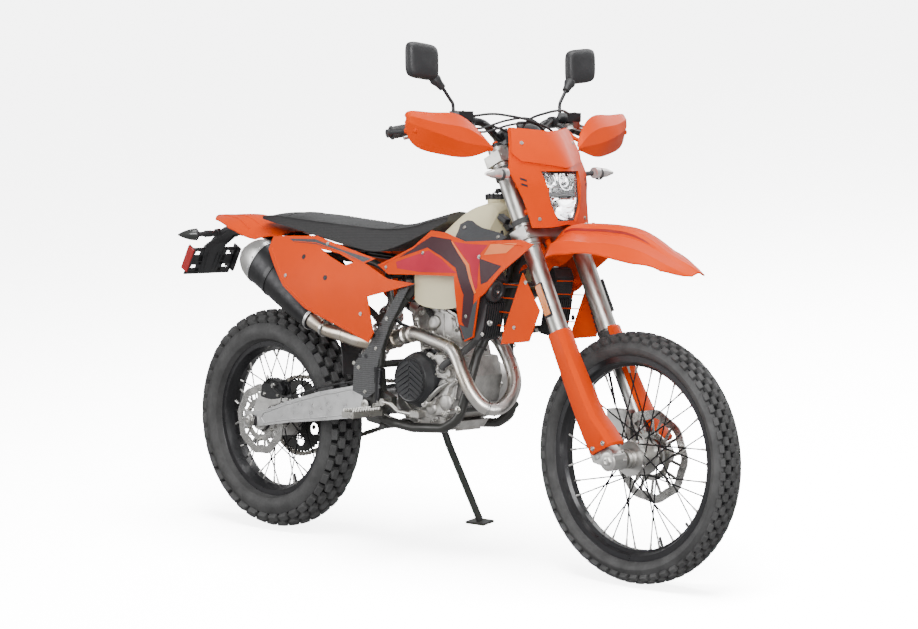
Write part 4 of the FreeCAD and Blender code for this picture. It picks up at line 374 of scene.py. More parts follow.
class Piece:
    """Collects simple solids into one mesh that rides on a body."""

    def __init__(self, name, body, coat):
        self.name = name
        self.body = body
        self.coat = coat
        self.points = []
        self.faces = []

    def add(self, points, faces):
        base = len(self.points)
        self.points += [Vector(point) for point in points]
        self.faces += [tuple(number + base for number in face) for face in faces]

    def loops(self, rings, closed=False, capped=True):
        """Skins a row of rings with the same number of points."""
        count = len(rings[0])
        points = [point for ring in rings for point in ring]
        faces = []
        last = len(rings) if closed else len(rings) - 1
        for row in range(last):
            here = row * count
            there = (row + 1) % len(rings) * count
            for number in range(count):
                after = (number + 1) % count
                faces.append((here + number, here + after, there + after, there + number))
        if capped and not closed:
            faces.append(tuple(reversed(range(count))))
            faces.append(tuple(range(len(points) - count, len(points))))
        self.add(points, faces)

    def tube(self, route, radius, sides=12):
        """A round bar along a line; radius may be one value or one for each point."""
        route = [Vector(point) for point in route]
        radii = radius if isinstance(radius, list) else [radius] * len(route)
        first, second = frame_of(route[1] - route[0])
        rings = []
        for number, point in enumerate(route):
            before = route[max(0, number - 1)]
            after = route[min(len(route) - 1, number + 1)]
            along = (after - before).normalized()
            first = (first - along * first.dot(along)).normalized()
            second = along.cross(first)
            rings.append([point + (first * math.cos(turn) + second * math.sin(turn)) * radii[number]
                          for turn in (2 * math.pi * side / sides for side in range(sides))])
        self.loops(rings)

    def hose(self, points, radius, sides=12, step=6):
        self.tube(smooth_route(points, step), radius, sides)

    def turned(self, start, direction, profile, sides=32):
        """A solid of revolution; profile holds pairs of distance along the axis and radius."""
        start = Vector(start)
        direction = Vector(direction).normalized()
        first, second = frame_of(direction)
        rings = []
        for along, radius in profile:
            rings.append([start + direction * along
                          + (first * math.cos(turn) + second * math.sin(turn)) * max(radius, 0.01)
                          for turn in (2 * math.pi * side / sides for side in range(sides))])
        self.loops(rings)

    def hollow_ring(self, start, direction, profile, sides=32):
        """A closed profile turned round an axis."""
        start = Vector(start)
        direction = Vector(direction).normalized()
        first, second = frame_of(direction)
        rings = []
        for side in range(sides):
            turn = 2 * math.pi * side / sides
            out = first * math.cos(turn) + second * math.sin(turn)
            rings.append([start + direction * along + out * radius for along, radius in profile])
        self.loops(rings, closed=True)

    def box(self, centre, size, turn=None):
        centre = Vector(centre)
        turn = turn or Matrix.Identity(3)
        corners = []
        for x, y, z in ((-1, -1, -1), (1, -1, -1), (1, 1, -1), (-1, 1, -1),
                        (-1, -1, 1), (1, -1, 1), (1, 1, 1), (-1, 1, 1)):
            corners.append(centre + turn @ Vector((x * size[0] / 2, y * size[1] / 2, z * size[2] / 2)))
        self.add(corners, [(0, 3, 2, 1), (4, 5, 6, 7), (0, 1, 5, 4), (1, 2, 6, 5), (2, 3, 7, 6),
                           (3, 0, 4, 7)])

    def prism(self, outline, low, high, axis="y"):
        """A flat outline made thick along y, or along x or z."""
        spots = {"y": lambda a, b, c: (a, c, b), "x": lambda a, b, c: (c, a, b),
                 "z": lambda a, b, c: (a, b, c)}
        spot = spots[axis]
        count = len(outline)
        points = [spot(a, b, low) for a, b in outline] + [spot(a, b, high) for a, b in outline]
        faces = [tuple(range(count)), tuple(reversed(range(count, 2 * count)))]
        for number in range(count):
            after = (number + 1) % count
            faces.append((number, number + count, after + count, after))
        self.add(points, faces)

    def bolt(self, place, direction, size=5.0, height=4.0, washer=True):
        """A socket screw's head: a washer, a round head and a recess."""
        if washer:
            self.turned(place, direction, [(0.0, size * 1.3), (0.9, size * 1.3), (0.9, size * 0.6)], 20)
        head = [(0.0, size), (height - 0.6, size), (height, size * 0.88), (height, size * 0.5),
                (height - 2.0, size * 0.5), (height - 2.0, 0.0)]
        self.turned(place, direction, head, 18)

    def nut(self, place, direction, size=8.0, height=6.0):
        """A flanged hexagon."""
        self.turned(place, direction, [(0.0, size * 1.25), (1.4, size * 1.25), (1.6, size * 0.9)], 24)
        self.turned(place, direction, [(0.0, size), (height - 0.8, size), (height, size * 0.88)], 6)

    def mirrored(self):
        """Adds the same again on the bike's other side."""
        count = len(self.points)
        self.points += [Vector((point.x, -point.y, point.z)) for point in self.points]
        self.faces += [tuple(number + count for number in reversed(face)) for face in self.faces]

    def done(self, bevel=0.0, smooth=38.0, segments=2, subdivide=0):
        mesh = bpy.data.meshes.new(self.name)
        mesh.from_pydata([BIKE @ point for point in self.points], [], self.faces)
        work = bmesh.new()
        work.from_mesh(mesh)
        bmesh.ops.recalc_face_normals(work, faces=work.faces)
        work.to_mesh(mesh)
        work.free()
        made = bpy.data.objects.new(self.name, mesh)
        bpy.context.collection.objects.link(made)
        mesh.materials.append(finishes[self.coat])
        mesh.shade_smooth()
        mesh.set_sharp_from_angle(angle=math.radians(smooth))
        if bevel:
            edge = made.modifiers.new("bevel", "BEVEL")
            edge.width = bevel / 1000
            edge.segments = segments
            edge.limit_method = "ANGLE"
            edge.angle_limit = math.radians(40)
            edge.harden_normals = False
        if subdivide:
            rounder = made.modifiers.new("subdivision", "SUBSURF")
            rounder.levels = subdivide
            rounder.render_levels = subdivide
        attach(made, self.body)
        return made


# Tyres
CASING_SIDES = 160
OCTAGON = [(-1, -0.8), (-0.8, -1), (0.8, -1), (1, -0.8), (1, 0.8), (0.8, 1), (-0.8, 1), (-1, 0.8)]


def cross_section(radius, width, rim_radius, rim_width, lug):
    """Half of the casing's outline, lower than the lugs' tips."""
    half = width / 2
    depth = radius - rim_radius
    crown = radius - lug
    return [
        (0.0, crown),
        (0.22 * half, crown - 0.016 * depth),
        (0.42 * half, crown - 0.065 * depth),
        (0.60 * half, crown - 0.150 * depth),
        (0.76 * half, crown - 0.27 * depth),
        (0.88 * half, crown - 0.42 * depth),
        (0.925 * half, radius - 0.66 * depth),
        (0.90 * half, rim_radius + 0.20 * depth),
        (0.78 * half, rim_radius + 0.08 * depth),
        (rim_width / 2 + 1.5, rim_radius + 1.0),
        (rim_width / 2 - 5.0, rim_radius - 4.0),
    ]


def lug_shape(piece, base, out, along, across, length, breadth, height):
    """A tapered rubber block with a chamfered top."""
    rings = []
    for lift, share in ((-3.0, 1.08), (height * 0.86, 0.94), (height, 0.94 * 0.86)):
        rings.append([base + out * lift + along * a * (length / 2 * share)
                      + across * b * (breadth / 2 * share) for a, b in OCTAGON])
    piece.loops(rings)


def make_tyre(end, x, z, radius, width, rim_radius, rim_width, lug, rows):
    """Each row is a ring of lugs: side offset, tip radius, tilt, length, breadth, phase and count."""
    piece = Piece(f"{end}_block_tyre", f"{end}_wheel", "rubber")
    half = cross_section(radius, width, rim_radius, rim_width, lug)
    outline = [(-y, r) for y, r in reversed(half[1:])] + half
    piece.hollow_ring((x, 0, z), LEFTWARD, outline, CASING_SIDES)
    centre = Vector((x, 0, z))
    height = lug + 1.0
    for offset, tip, tilt, length, breadth, phase, count in rows:
        for side, step in ((1, 0.0), (-1, 0.5)):
            lean = math.radians(tilt * side)
            for turn in turns(count, phase + step):
                radial = Vector((math.cos(turn), 0, math.sin(turn)))
                along = Vector((-math.sin(turn), 0, math.cos(turn)))
                out = radial * math.cos(lean) + Vector((0, math.sin(lean), 0))
                top = centre + radial * tip + Vector((0, offset * side, 0))
                lug_shape(piece, top - out * height, out, along, out.cross(along), length, breadth, height)
    tyre = piece.done(smooth=30)
    # Casing faces out past this radius, between the lugs, are painted near black: painted shade in the
    # tread's gaps
    tyre.data.materials.append(finishes["tread_gap_painted_shade"])
    gap_shade_radius = radius - 0.40 * (radius - rim_radius)
    for polygon in list(tyre.data.polygons)[:CASING_SIDES * len(outline)]:
        spot = BIKE.inverted() @ polygon.center
        if math.dist((spot.x, spot.z), (x, z)) > gap_shade_radius:
            polygon.material_index = 1
    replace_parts(tyre, f"{end}_tyre")


def make_tyres():
    make_tyre("front", WHEELBASE, FRONT_AXLE_Z, FRONT_TYRE_RADIUS, FRONT_TYRE_WIDTH, FRONT_RIM_RADIUS,
              FRONT_RIM_WIDTH, 12.5, [(8.5, 344.4, 5.0, 25.0, 13.0, 0.0, 56),
                                      (24.0, 339.6, 24.0, 25.0, 13.5, 0.5, 56),
                                      (37.0, 329.5, 48.0, 24.0, 15.0, 0.0, 56)])
    make_tyre("rear", 0, REAR_AXLE_Z, REAR_TYRE_RADIUS, REAR_TYRE_WIDTH, REAR_RIM_RADIUS,
              REAR_RIM_WIDTH, 15.0, [(12.5, 339.4, 4.0, 36.0, 19.0, 0.0, 40),
                                     (36.0, 333.0, 22.0, 35.0, 19.0, 0.5, 40),
                                     (56.0, 315.5, 50.0, 36.0, 21.0, 0.0, 40)])


# Surfaces of the CAD nodes, for laying films and fittings on them
def node_tree(node):
    """A search tree of a CAD node's surface, in bike millimetres."""
    source = frame["nodes"][node]
    back = BIKE.inverted() @ source.matrix_world
    points = [back @ vertex.co for vertex in source.data.vertices]
    return BVHTree.FromPolygons(points, [tuple(polygon.vertices) for polygon in source.data.polygons])


def recoat(node, coat, chosen):
    """Gives another finish to the node's faces whose centres are chosen."""
    source = frame["nodes"][node]
    back = BIKE.inverted() @ source.matrix_world
    source.data.materials.append(finishes[coat])
    number = len(source.data.materials) - 1
    for polygon in source.data.polygons:
        if chosen(back @ polygon.center):
            polygon.material_index = number


def inside(outline, a, b):
    """Whether a flat point lies within an outline."""
    found = False
    for (a0, b0), (a1, b1) in zip(outline, outline[1:] + outline[:1]):
        if (b0 > b) != (b1 > b) and a < (a1 - a0) * (b - b0) / (b1 - b0) + a0:
            found = not found
    return found


def flat_mesh(outline, step):
    """Fills an outline with small triangles."""
    edge = []
    for start, end in zip(outline, outline[1:] + outline[:1]):
        parts = max(1, int(math.dist(start, end) / step))
        edge += [Vector(between(start, end, number / parts)) for number in range(parts)]
    bounds = [(number, (number + 1) % len(edge)) for number in range(len(edge))]
    low_a, high_a = min(p.x for p in edge), max(p.x for p in edge)
    low_b, high_b = min(p.y for p in edge), max(p.y for p in edge)
    points = list(edge)
    row = 0
    b = low_b + step / 2
    while b < high_b:
        a = low_a + step * (0.5 + 0.5 * (row % 2))
        while a < high_a:
            if inside(outline, a, b) and min(math.dist((a, b), point) for point in edge) > step * 0.45:
                points.append(Vector((a, b)))
            a += step
        b += step * 0.87
        row += 1
    spots, _, faces = delaunay_2d_cdt(points, bounds, [], 1, 1e-5)[:3]
    return [(spot.x, spot.y) for spot in spots], [tuple(face) for face in faces]


def land(tree, start, way, spare):
    """Where a ray meets a surface, or else the place nearest a spare point, and the way the face looks."""
    hit, normal = tree.ray_cast(Vector(start), Vector(way))[:2]
    if hit is None:
        hit, normal = tree.find_nearest(Vector(spare))[:2]
    return hit, normal if normal.dot(Vector(way)) < 0 else -normal


def panel_spot(tree, x, z, side, lift=0.0):
    """A place on a side panel's outer face and the way the face looks."""
    hit, out = land(tree, (x, side * OUTER_Y, z), (0, -side, 0), (x, side * 190.0, z))
    return hit + out * lift, out


def panel_line(tree, line, side, parts, lift=0.0, last=False):
    """Places on a panel along a line of flat points."""
    places = []
    for start, end in zip(line, line[1:]):
        for number in range(parts):
            x, z = between(start, end, number / (parts - 1 if last else parts))
            places.append(panel_spot(tree, x, z, side, lift)[0])
    return places


def film(piece, tree, outline, side, lift=0.4, step=8.0):
    """Lays a thin sheet on a panel that faces sideways."""
    spots, faces = flat_mesh(outline, step)
    piece.add([panel_spot(tree, x, z, side, lift)[0] for x, z in spots], faces)


# Colours of parts of nodes
def recoat_nodes():
    recoat("handguards", "black_plastic",
           lambda p: p.x < (1045 if abs(p.y) < 300 else 1024) or abs(p.y) > 447)
    recoat("headlamp", "chrome", lambda p: math.dist((p.x, abs(p.y), p.z), (1164, 31, 1089)) < 22.8
           or (p.x < 1182 and p.z < 1050 and abs(p.y) < 50))
    recoat("front_indicators", "lamp_clear", lambda p: abs(p.y) > 180)
    recoat("levers", "black_alloy", lambda p: p.z > 1256 and 184 < abs(p.y) < 250)


# Printed films on the bodywork, in a plain pattern of slanted bands: name, coat, node, lift, outlines
FILMS = [
    ("shroud_dark_film", "graphic_dark", "shrouds", 0.4,
     [[(836, 934), (930, 928), (1010, 858), (1046, 782), (1024, 690), (1003, 678), (986, 700), (1002, 776),
       (968, 850), (900, 880), (828, 902), (700, 868)],
      [(1062, 880), (1120, 868), (1152, 862), (1098, 816), (1074, 808)]]),
    ("shroud_red_film", "graphic_red", "shrouds", 0.4,
     [[(944, 922), (1010, 918), (1090, 918), (1064, 894), (1060, 800), (1050, 790), (1026, 862)],
      [(836, 894), (904, 872), (960, 842), (976, 836), (812, 832), (700, 838), (690, 856)]]),
    ("shroud_line_film", "graphic_line", "shrouds", 0.8,
     [[(932, 924), (940, 922), (1022, 862), (1054, 784), (1046, 782), (1010, 858)],
      [(1100, 920), (1180, 926), (1206, 926), (1166, 898), (1078, 890)]]),
    ("shroud_foot_cover", "trim_grey", "shrouds", 1.2,
     [[(976, 692), (992, 648), (1026, 661), (1058, 765), (1040, 752), (1010, 684)]]),
    ("seat_band_film", "trim_grey", "side_panels", 0.6,
     [[(212, 909), (332, 911), (462, 883), (585, 861), (556, 851), (500, 862), (460, 876), (340, 897),
       (236, 900)]]),
]


def make_graphics():
    trees = {node: node_tree(node) for node in ("shrouds", "side_panels")}
    for side, word in zip(SIDES, ("right", "left")):
        for name, coat, node, lift, outlines in FILMS:
            sheet = Piece(f"{word}_{name}", "chassis", coat)
            for outline in outlines:
                film(sheet, trees[node], outline, side, lift)
            sheet.done()


# Seat, by stations: x, half width at the foot, foot height, half width at the top, shoulder and crown height
SEAT_STATIONS = [
    (-4.0, 70.0, 962.0, 66.0, 968.0, 974.0),
    (76.0, 92.0, 952.0, 84.0, 972.0, 984.0),
    (200.0, 120.0, 938.0, 98.0, 966.0, 982.0),
    (330.0, 134.0, 916.0, 104.0, 958.0, 971.0),
    (455.0, 134.0, 894.0, 100.0, 950.0, 962.0),
    (570.0, 126.0, 880.0, 88.0, 944.0, 957.0),
    (660.0, 100.0, 905.0, 72.0, 952.0, 969.0),
    (740.0, 74.0, 944.0, 60.0, 972.0, 988.0),
    (792.0, 54.0, 972.0, 48.0, 984.0, 1001.0),
]
SEAT_STEPS = 8
WELTS_AT = (130.0, 596.0)


def seat_rows():
    """Sections of the seat: crown, shoulders, sides drawn in, and a flat foot."""
    heads = [Vector((x, low, crown)) for x, half, low, top_half, shoulder, crown in SEAT_STATIONS]
    others = [Vector((half, top_half, shoulder)) for x, half, low, top_half, shoulder, crown in SEAT_STATIONS]
    rows = []
    for head, other in zip(smooth_route(heads, SEAT_STEPS), smooth_route(others, SEAT_STEPS)):
        x, low, crown = head
        half, top_half, shoulder = other
        half = max(half, top_half)
        spots = [(0.0, crown), (0.30 * top_half, crown - 1.0), (0.60 * top_half, crown - 3.4),
                 (0.86 * top_half, crown - 7.4), (top_half + 1.0, shoulder + 1.5),
                 (top_half + 2.2, shoulder - 3.0)]
        for share, draw in ((0.3, 1.6), (0.55, 2.4), (0.8, 1.6), (0.95, 0.2)):
            spots.append((top_half + 1.8 + (half - top_half - 1.8) * share - draw,
                          shoulder + (low - shoulder) * share))
        spots += [(half - 2.0, low + 1.0), (half - 9.0, low), (half * 0.5, low), (0.0, low)]
        rows.append((x, spots))
    return rows


def make_seat():
    rows = seat_rows()
    piece = Piece("seat_cover", "chassis", "seat_top")
    rings = []
    for x, spots in rows:
        rings.append([(x, y, z) for y, z in spots] + [(x, -y, z) for y, z in reversed(spots[1:-1])])
    back_x, spots = rows[0]
    back = rings[0]
    middle = (spots[0][1] + spots[-1][1]) / 2
    for share in (0.90, 0.7):
        rings.insert(0, [(back_x - 3.5 * (1.2 - share) * 3, y * share, middle + (z - middle) * share)
                         for x, y, z in back])
    piece.loops(rings)
    seat = piece.done(smooth=62)
    seat.data.materials.append(finishes["seat_side"])
    for polygon in seat.data.polygons:
        spot = BIKE.inverted() @ polygon.center
        normal = PLACE.inverted().to_3x3() @ polygon.normal
        if abs(normal.y) > 0.66 and abs(spot.y) > 46:
            polygon.material_index = 1
    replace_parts(seat, "seat")
    seam = Piece("seat_piping", "chassis", "seat_top")
    stitches = Piece("seat_stitches", "chassis", "thread")
    for side in SIDES:
        seam.tube([Vector((x, side * (spots[4][0] + 0.4), spots[4][1] + 0.6)) for x, spots in rows], 1.5, 8)
        low = [Vector((x, side * (spots[3][0] + 1.0), spots[3][1] + 0.9)) for x, spots in rows]
        for start, end in zip(low, low[1:]):
            stitches.tube([start + (end - start) * 0.15, start + (end - start) * 0.62], 0.45, 6)
    for place in WELTS_AT:
        x, spots = min(rows, key=lambda row: abs(row[0] - place))
        path = [Vector((x, y, z + 0.7)) for y, z in spots[:6]]
        seam.tube([Vector((x, -y, z)) for x, y, z in reversed(path[1:])] + path, 1.2, 8)
    seam.done()
    stitches.done()


# Chain of links in place of the plain loop
def chain_path():
    """Points one pitch apart round the two sprockets."""
    rear = Vector((0, REAR_AXLE_Z))
    front = Vector(FRONT_SPROCKET)
    big = CHAIN_PITCH / (2 * math.sin(math.pi / REAR_TEETH))
    small = CHAIN_PITCH / (2 * math.sin(math.pi / FRONT_TEETH))
    span = front - rear
    slope = math.atan2(span.y, span.x)
    spread = math.acos((big - small) / span.length)
    line = []
    for centre, radius, start, turn in ((rear, big, slope + spread, 2 * math.pi - 2 * spread),
                                        (front, small, slope - spread, 2 * spread)):
        for number in range(61):
            angle = start + turn * number / 60
            line.append(centre + Vector((math.cos(angle), math.sin(angle))) * radius)
    line.append(line[0])
    lengths = [(b - a).length for a, b in zip(line, line[1:])]
    count = 2 * round(sum(lengths) / CHAIN_PITCH / 2)
    pitch = sum(lengths) / count
    places = []
    walked = 0.0
    for a, b, length in zip(line, line[1:], lengths):
        while len(places) * pitch <= walked + length and len(places) < count:
            places.append(a + (b - a) * ((len(places) * pitch - walked) / length))
        walked += length
    return places


def link_outline(a, b, end, waist):
    """A waisted plate from one pin to the next."""
    along = (b - a).normalized()
    across = Vector((-along.y, along.x))
    outline = []
    for centre, sign in ((a, -1), (b, 1)):
        for turn in (-75, -38, 0, 38, 75):
            angle = math.radians(turn)
            spot = centre + (along * math.cos(angle) + across * math.sin(angle)) * end * sign
            outline.append((spot.x, spot.y))
        middle = (a + b) / 2 + across * waist * sign
        outline.append((middle.x, middle.y))
    return outline


def make_chain():
    places = chain_path()
    plates = Piece("chain_plates", "chassis", "chain_steel")
    rollers = Piece("chain_rollers", "chassis", "steel")
    for number, (a, b) in enumerate(zip(places, places[1:] + places[:1])):
        if number % 2:
            outline = link_outline(a, b, 7.0, 4.6)
            spans = ((5.0, 6.6), (-6.6, -5.0))
        else:
            outline = link_outline(a, b, 6.6, 4.4)
            spans = ((6.8, 8.4), (-8.4, -6.8))
        for low, high in spans:
            plates.prism(outline, CHAIN_Y + low, CHAIN_Y + high)
        rollers.turned((a.x, CHAIN_Y - 4.9, a.y), LEFTWARD, [(0, 4.4), (9.8, 4.4)], 10)
        rollers.turned((a.x, CHAIN_Y - 9.2, a.y), LEFTWARD,
                       [(0, 1.9), (0.3, 2.3), (18.1, 2.3), (18.4, 1.9)], 8)
    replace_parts(plates.done(), "chain")
    rollers.done()


# Lamp
LAMP_MIDDLE = 1053.0
LAMP_OUTLINE = [(-75, 1121), (75, 1121), (59, 1031), (35, 985), (-35, 985), (-59, 1031)]
MASK_PROBES = [(0, 1140), (60, 1140), (92, 1122), (78, 1050), (60, 1000), (100, 1060), (48, 976)]
BULB = (1146, 31, 1089)
BOWL_ROWS = ((1047, 50), (1040, 48), (1028, 44), (1014, 39), (1002, 34), (995, 30))


def lamp_surface():
    """Fits the mask's front round the lamp, so that the lens follows it."""
    tree = node_tree("headlight_mask")
    rows = []
    values = []
    for y, z in MASK_PROBES:
        for side in (SIDES if y else (1,)):
            hit = tree.ray_cast(Vector((1400, side * y, z)), Vector((-1, 0, 0)))[0]
            if hit is not None:
                rows.append([1.0, z - LAMP_MIDDLE, (z - LAMP_MIDDLE) ** 2, y * y])
                values.append(hit.x)
    fit = np.linalg.lstsq(np.array(rows), np.array(values), rcond=None)[0]
    return lambda y, z: float(fit[0] + fit[1] * (z - LAMP_MIDDLE) + fit[2] * (z - LAMP_MIDDLE) ** 2
                              + fit[3] * y * y)


def rounded(outline, radius, parts=4):
    """An outline with its corners rounded."""
    made = []
    count = len(outline)
    for number, corner in enumerate(outline):
        spot = Vector(corner)
        before = Vector(outline[number - 1])
        after = Vector(outline[(number + 1) % count])
        reach = min(radius, (before - spot).length * 0.45, (after - spot).length * 0.45)
        start = spot + (before - spot).normalized() * reach
        end = spot + (after - spot).normalized() * reach
        for part in range(parts + 1):
            t = part / parts
            place = start * (1 - t) ** 2 + spot * 2 * t * (1 - t) + end * t * t
            made.append((place.x, place.y))
    return made


def make_lamp():
    surface = lamp_surface()
    outline = rounded(LAMP_OUTLINE, 9.0)

    def scaled(share, back):
        """The lamp's outline drawn in by a share and set back from the mask's front."""
        ring = [(y * share, LAMP_MIDDLE + (z - LAMP_MIDDLE) * share) for y, z in outline]
        return [Vector((surface(y, z) - back, y, z)) for y, z in ring]

    lens = Piece("lamp_lens", "steering", "glass")
    lens.loops([scaled(share, back) for share, back in (
        (0.985, 15.5), (1.0, 14.6), (1.0, 13.0), (0.97, 12.0), (0.8, 11.2), (0.55, 10.7), (0.3, 10.5),
        (0.05, 10.4))])
    lens.done(smooth=50)
    bulbs = Piece("lamp_bulbs", "steering", "glass")
    holders = Piece("lamp_bulb_holders", "steering", "chrome")
    x, bulb_y, z = BULB
    for side in SIDES:
        y = side * bulb_y
        holders.turned((x, y, z), (1, 0, 0), [(0, 11), (5, 11), (6, 7), (12, 7), (12, 5)], 20)
        bulbs.turned((x + 10, y, z), (1, 0, 0), [(0, 4.6), (10, 5.2), (15, 4.4), (18, 2.4), (19, 0.5)], 16)
        holders.hollow_ring((x + 21, y, z), (1, 0, 0), [(0, 24.4), (3.2, 24.4), (3.2, 22.6), (0, 21.8)], 40)
    bulbs.done()
    holders.done()
    bowl = Piece("lamp_lower_reflector", "steering", "chrome")
    rings = []
    for z, half in BOWL_ROWS:
        drop = ((z - 1021) / 26) ** 2
        ring = []
        for number in range(13):
            y = half * (number / 6 - 1)
            depth = 22 * (1 - (y / half) ** 2) * (1 - 0.7 * drop)
            ring.append((surface(y, z) - 19 - depth, y, z))
        rings.append(ring + [(x - 2.0, y, z) for x, y, z in reversed(ring)])
    bowl.loops(rings)
    bowl.done(smooth=50)
    bars = Piece("lamp_reflector_ribs", "steering", "chrome")
    for z in (1036, 1024, 1012):
        half = 46 - (1047 - z) * 0.36
        bars.tube([(surface(y, z) - 19 - 21 * (1 - (y / half) ** 2), y, z) for y in
                   (half * (number / 6 - 1) for number in range(13))], 1.2, 8)
    bars.done()
    rim = Piece("lamp_rim", "steering", "black_plastic")
    edge = scaled(1.005, 12.2)
    rim.tube(edge + edge[:1], 1.7, 8)
    rim.done()


# Mirrors
MIRROR_CENTRE = (968.0, 322.0, 1424.0)


def squircle(half_a, half_b, power=0.42, count=36):
    """A square outline with round corners."""
    made = []
    for turn in turns(count, 0.5):
        a, b = math.cos(turn), math.sin(turn)
        made.append((half_a * math.copysign(abs(a) ** power, a), half_b * math.copysign(abs(b) ** power, b)))
    return made


def make_mirrors():
    x, y, z = MIRROR_CENTRE
    outline = squircle(57.0, 50.0)

    def rings(rows, lean=0.0):
        return [[(x + ahead - lean * b, y + a * share, z + b * share + 0.10 * a * share) for a, b in outline]
                for ahead, share in rows]

    heads = Piece("mirror_heads", "steering", "black_plastic")
    heads.loops(rings([(-9.0, 0.88), (-12.0, 0.94), (-12.0, 0.985), (-9.0, 1.0), (-2.0, 1.0), (6.0, 0.965),
                       (11.0, 0.88), (14.0, 0.72), (15.5, 0.45), (16.0, 0.1)], 0.02))
    heads.turned((974, 250, 1350), (-0.25, 1.0, 1.0),
                 [(0, 8), (2, 10.5), (18, 12), (34, 17), (42, 15), (48, 6)], 14)
    heads.mirrored()
    heads.done(smooth=40)
    glass = Piece("mirror_glasses", "steering", "mirror_glass")
    glass.loops(rings([(-9.5, 0.86), (-11.0, 0.87), (-11.4, 0.85), (-11.8, 0.4), (-11.9, 0.05)]))
    glass.mirrored()
    glass.done()
    stems = Piece("mirror_stems", "steering", "black_alloy")
    stems.tube([(983, 217, 1272), (982, 217, 1290), (981, 217, 1304), (980, 219, 1311), (978, 224, 1318),
                (974, 252, 1353)], 5.0, 12)
    stems.turned((983, 217, 1270), UP, [(0, 9), (9, 9), (10, 7), (16, 6.4), (17, 5)], 6)
    stems.mirrored()
    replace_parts(stems.done(smooth=45), "mirrors")


# Wheels: nipples, valves, disc buttons and hub parts
def loose_parts(node):
    """The points of each separate solid of a node, in bike millimetres."""
    source = frame["nodes"][node]
    back = BIKE.inverted() @ source.matrix_world
    parent = list(range(len(source.data.vertices)))

    def root(number):
        while parent[number] != number:
            parent[number] = parent[parent[number]]
            number = parent[number]
        return number

    for edge in source.data.edges:
        first, second = root(edge.vertices[0]), root(edge.vertices[1])
        parent[first] = second
    spots = {}
    parts = {}
    for vertex in source.data.vertices:
        spot = back @ vertex.co
        key = (round(spot.x, 2), round(spot.y, 2), round(spot.z, 2))
        if key in spots:
            parent[root(vertex.index)] = root(spots[key])
        spots[key] = vertex.index
    for vertex in source.data.vertices:
        parts.setdefault(root(vertex.index), []).append(back @ vertex.co)
    return list(parts.values())


def middle_of(points):
    return sum(points, Vector()) / len(points)


def spoke_ends(node, x, z):
    """The rim end and the hub end of every spoke."""
    ends = []
    for points in loose_parts(node):
        reach = [math.dist((point.x, point.z), (x, z)) for point in points]
        high, low = max(reach), min(reach)
        outer = middle_of([point for point, far in zip(points, reach) if far > high - 4])
        inner = middle_of([point for point, far in zip(points, reach) if far < low + 12])
        ends.append((outer, inner))
    return ends


def around(x, z, radius, turn, y=0.0):
    """A place round a wheel's axle."""
    return Vector((x + radius * math.cos(turn), y, z + radius * math.sin(turn)))


def make_wheel_fittings(end, x, z, rim_radius, rim_width):
    body = f"{end}_wheel"
    nipples = Piece(f"{end}_nipples", body, "alloy")
    heads = Piece(f"{end}_spoke_heads", body, "steel")
    for outer, inner in spoke_ends(f"{end}_spokes", x, z):
        along = (inner - outer).normalized()
        nipples.turned(outer - along * 2, along, [(0, 3.9), (5, 3.9), (6.5, 3.1), (19, 3.0), (20.5, 2.0)], 8)
        heads.turned(inner - along * 3, along, [(0, 2.8), (9, 2.8), (11, 1.2)], 8)
    nipples.done()
    heads.done()
    valve = Piece(f"{end}_valve", body, "rubber")
    for turn, high in ((-1.2, 34.0), (-0.75, 22.0)):
        start = around(x, z, rim_radius - 22, turn)
        valve.turned(start, Vector((x, 0, z)) - start, [(0, 8), (6, 7), (9, 4), (high, 4), (high + 2, 3)], 12)
    valve.done()
    edge = Piece(f"{end}_rim_edges", body, "black_alloy")
    for side in SIDES:
        y = side * (rim_width / 2 - 0.8)
        ring = [(-1.9, -0.2), (-0.8, 1.6), (0.8, 1.6), (1.9, -0.2), (0, -1.8)]
        edge.hollow_ring((x, 0, z), LEFTWARD, [(y + a, rim_radius + b) for a, b in ring], 128)
    edge.done(smooth=60)


def make_wheels():
    make_wheel_fittings("front", WHEELBASE, FRONT_AXLE_Z, FRONT_RIM_RADIUS, FRONT_RIM_WIDTH)
    make_wheel_fittings("rear", 0.0, REAR_AXLE_Z, REAR_RIM_RADIUS, REAR_RIM_WIDTH)


def make_disc(end, x, z, y, outer, start=0.0):
    """A wavy brake ring on arms, in place of the plain disc."""
    disc = Piece(f"{end}_brake_disc", f"{end}_wheel", "steel")
    rings = []
    for angle in turns(216):
        wave = math.cos(9 * (angle - start))
        far = outer - 2.5 + 2.5 * wave
        near = outer - 27 + 3.5 * wave
        rings.append([around(x, z, radius, angle, y + lift)
                      for radius, lift in ((near, -1.8), (far, -1.8), (far, 1.8), (near, 1.8))])
    disc.loops(rings, closed=True)
    for number in range(9):
        angle = 2 * math.pi * number / 9 + start
        for lean in (-0.16, 0.16):
            first = around(x, z, 62, angle + lean * 0.4)
            last = around(x, z, outer - 22, angle + lean)
            across = (last - first).cross(Vector(LEFTWARD)).normalized() * 4.0
            corners = (first - across, last - across, last + across, first + across)
            disc.prism([(corner.x, corner.z) for corner in corners], y - 1.7, y + 1.7)
        for radius in (outer - 8, outer - 18):
            disc.turned(around(x, z, radius, angle + math.pi / 9, y - 2.1), LEFTWARD,
                        [(0, 3.6), (4.2, 3.6)], 14)
    disc.hollow_ring((x, 0, z), LEFTWARD, [(y - 1.9, 50), (y - 1.9, 67), (y + 1.9, 67), (y + 1.9, 50)], 72)
    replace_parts(disc.done(bevel=0.4), f"{end}_disc")


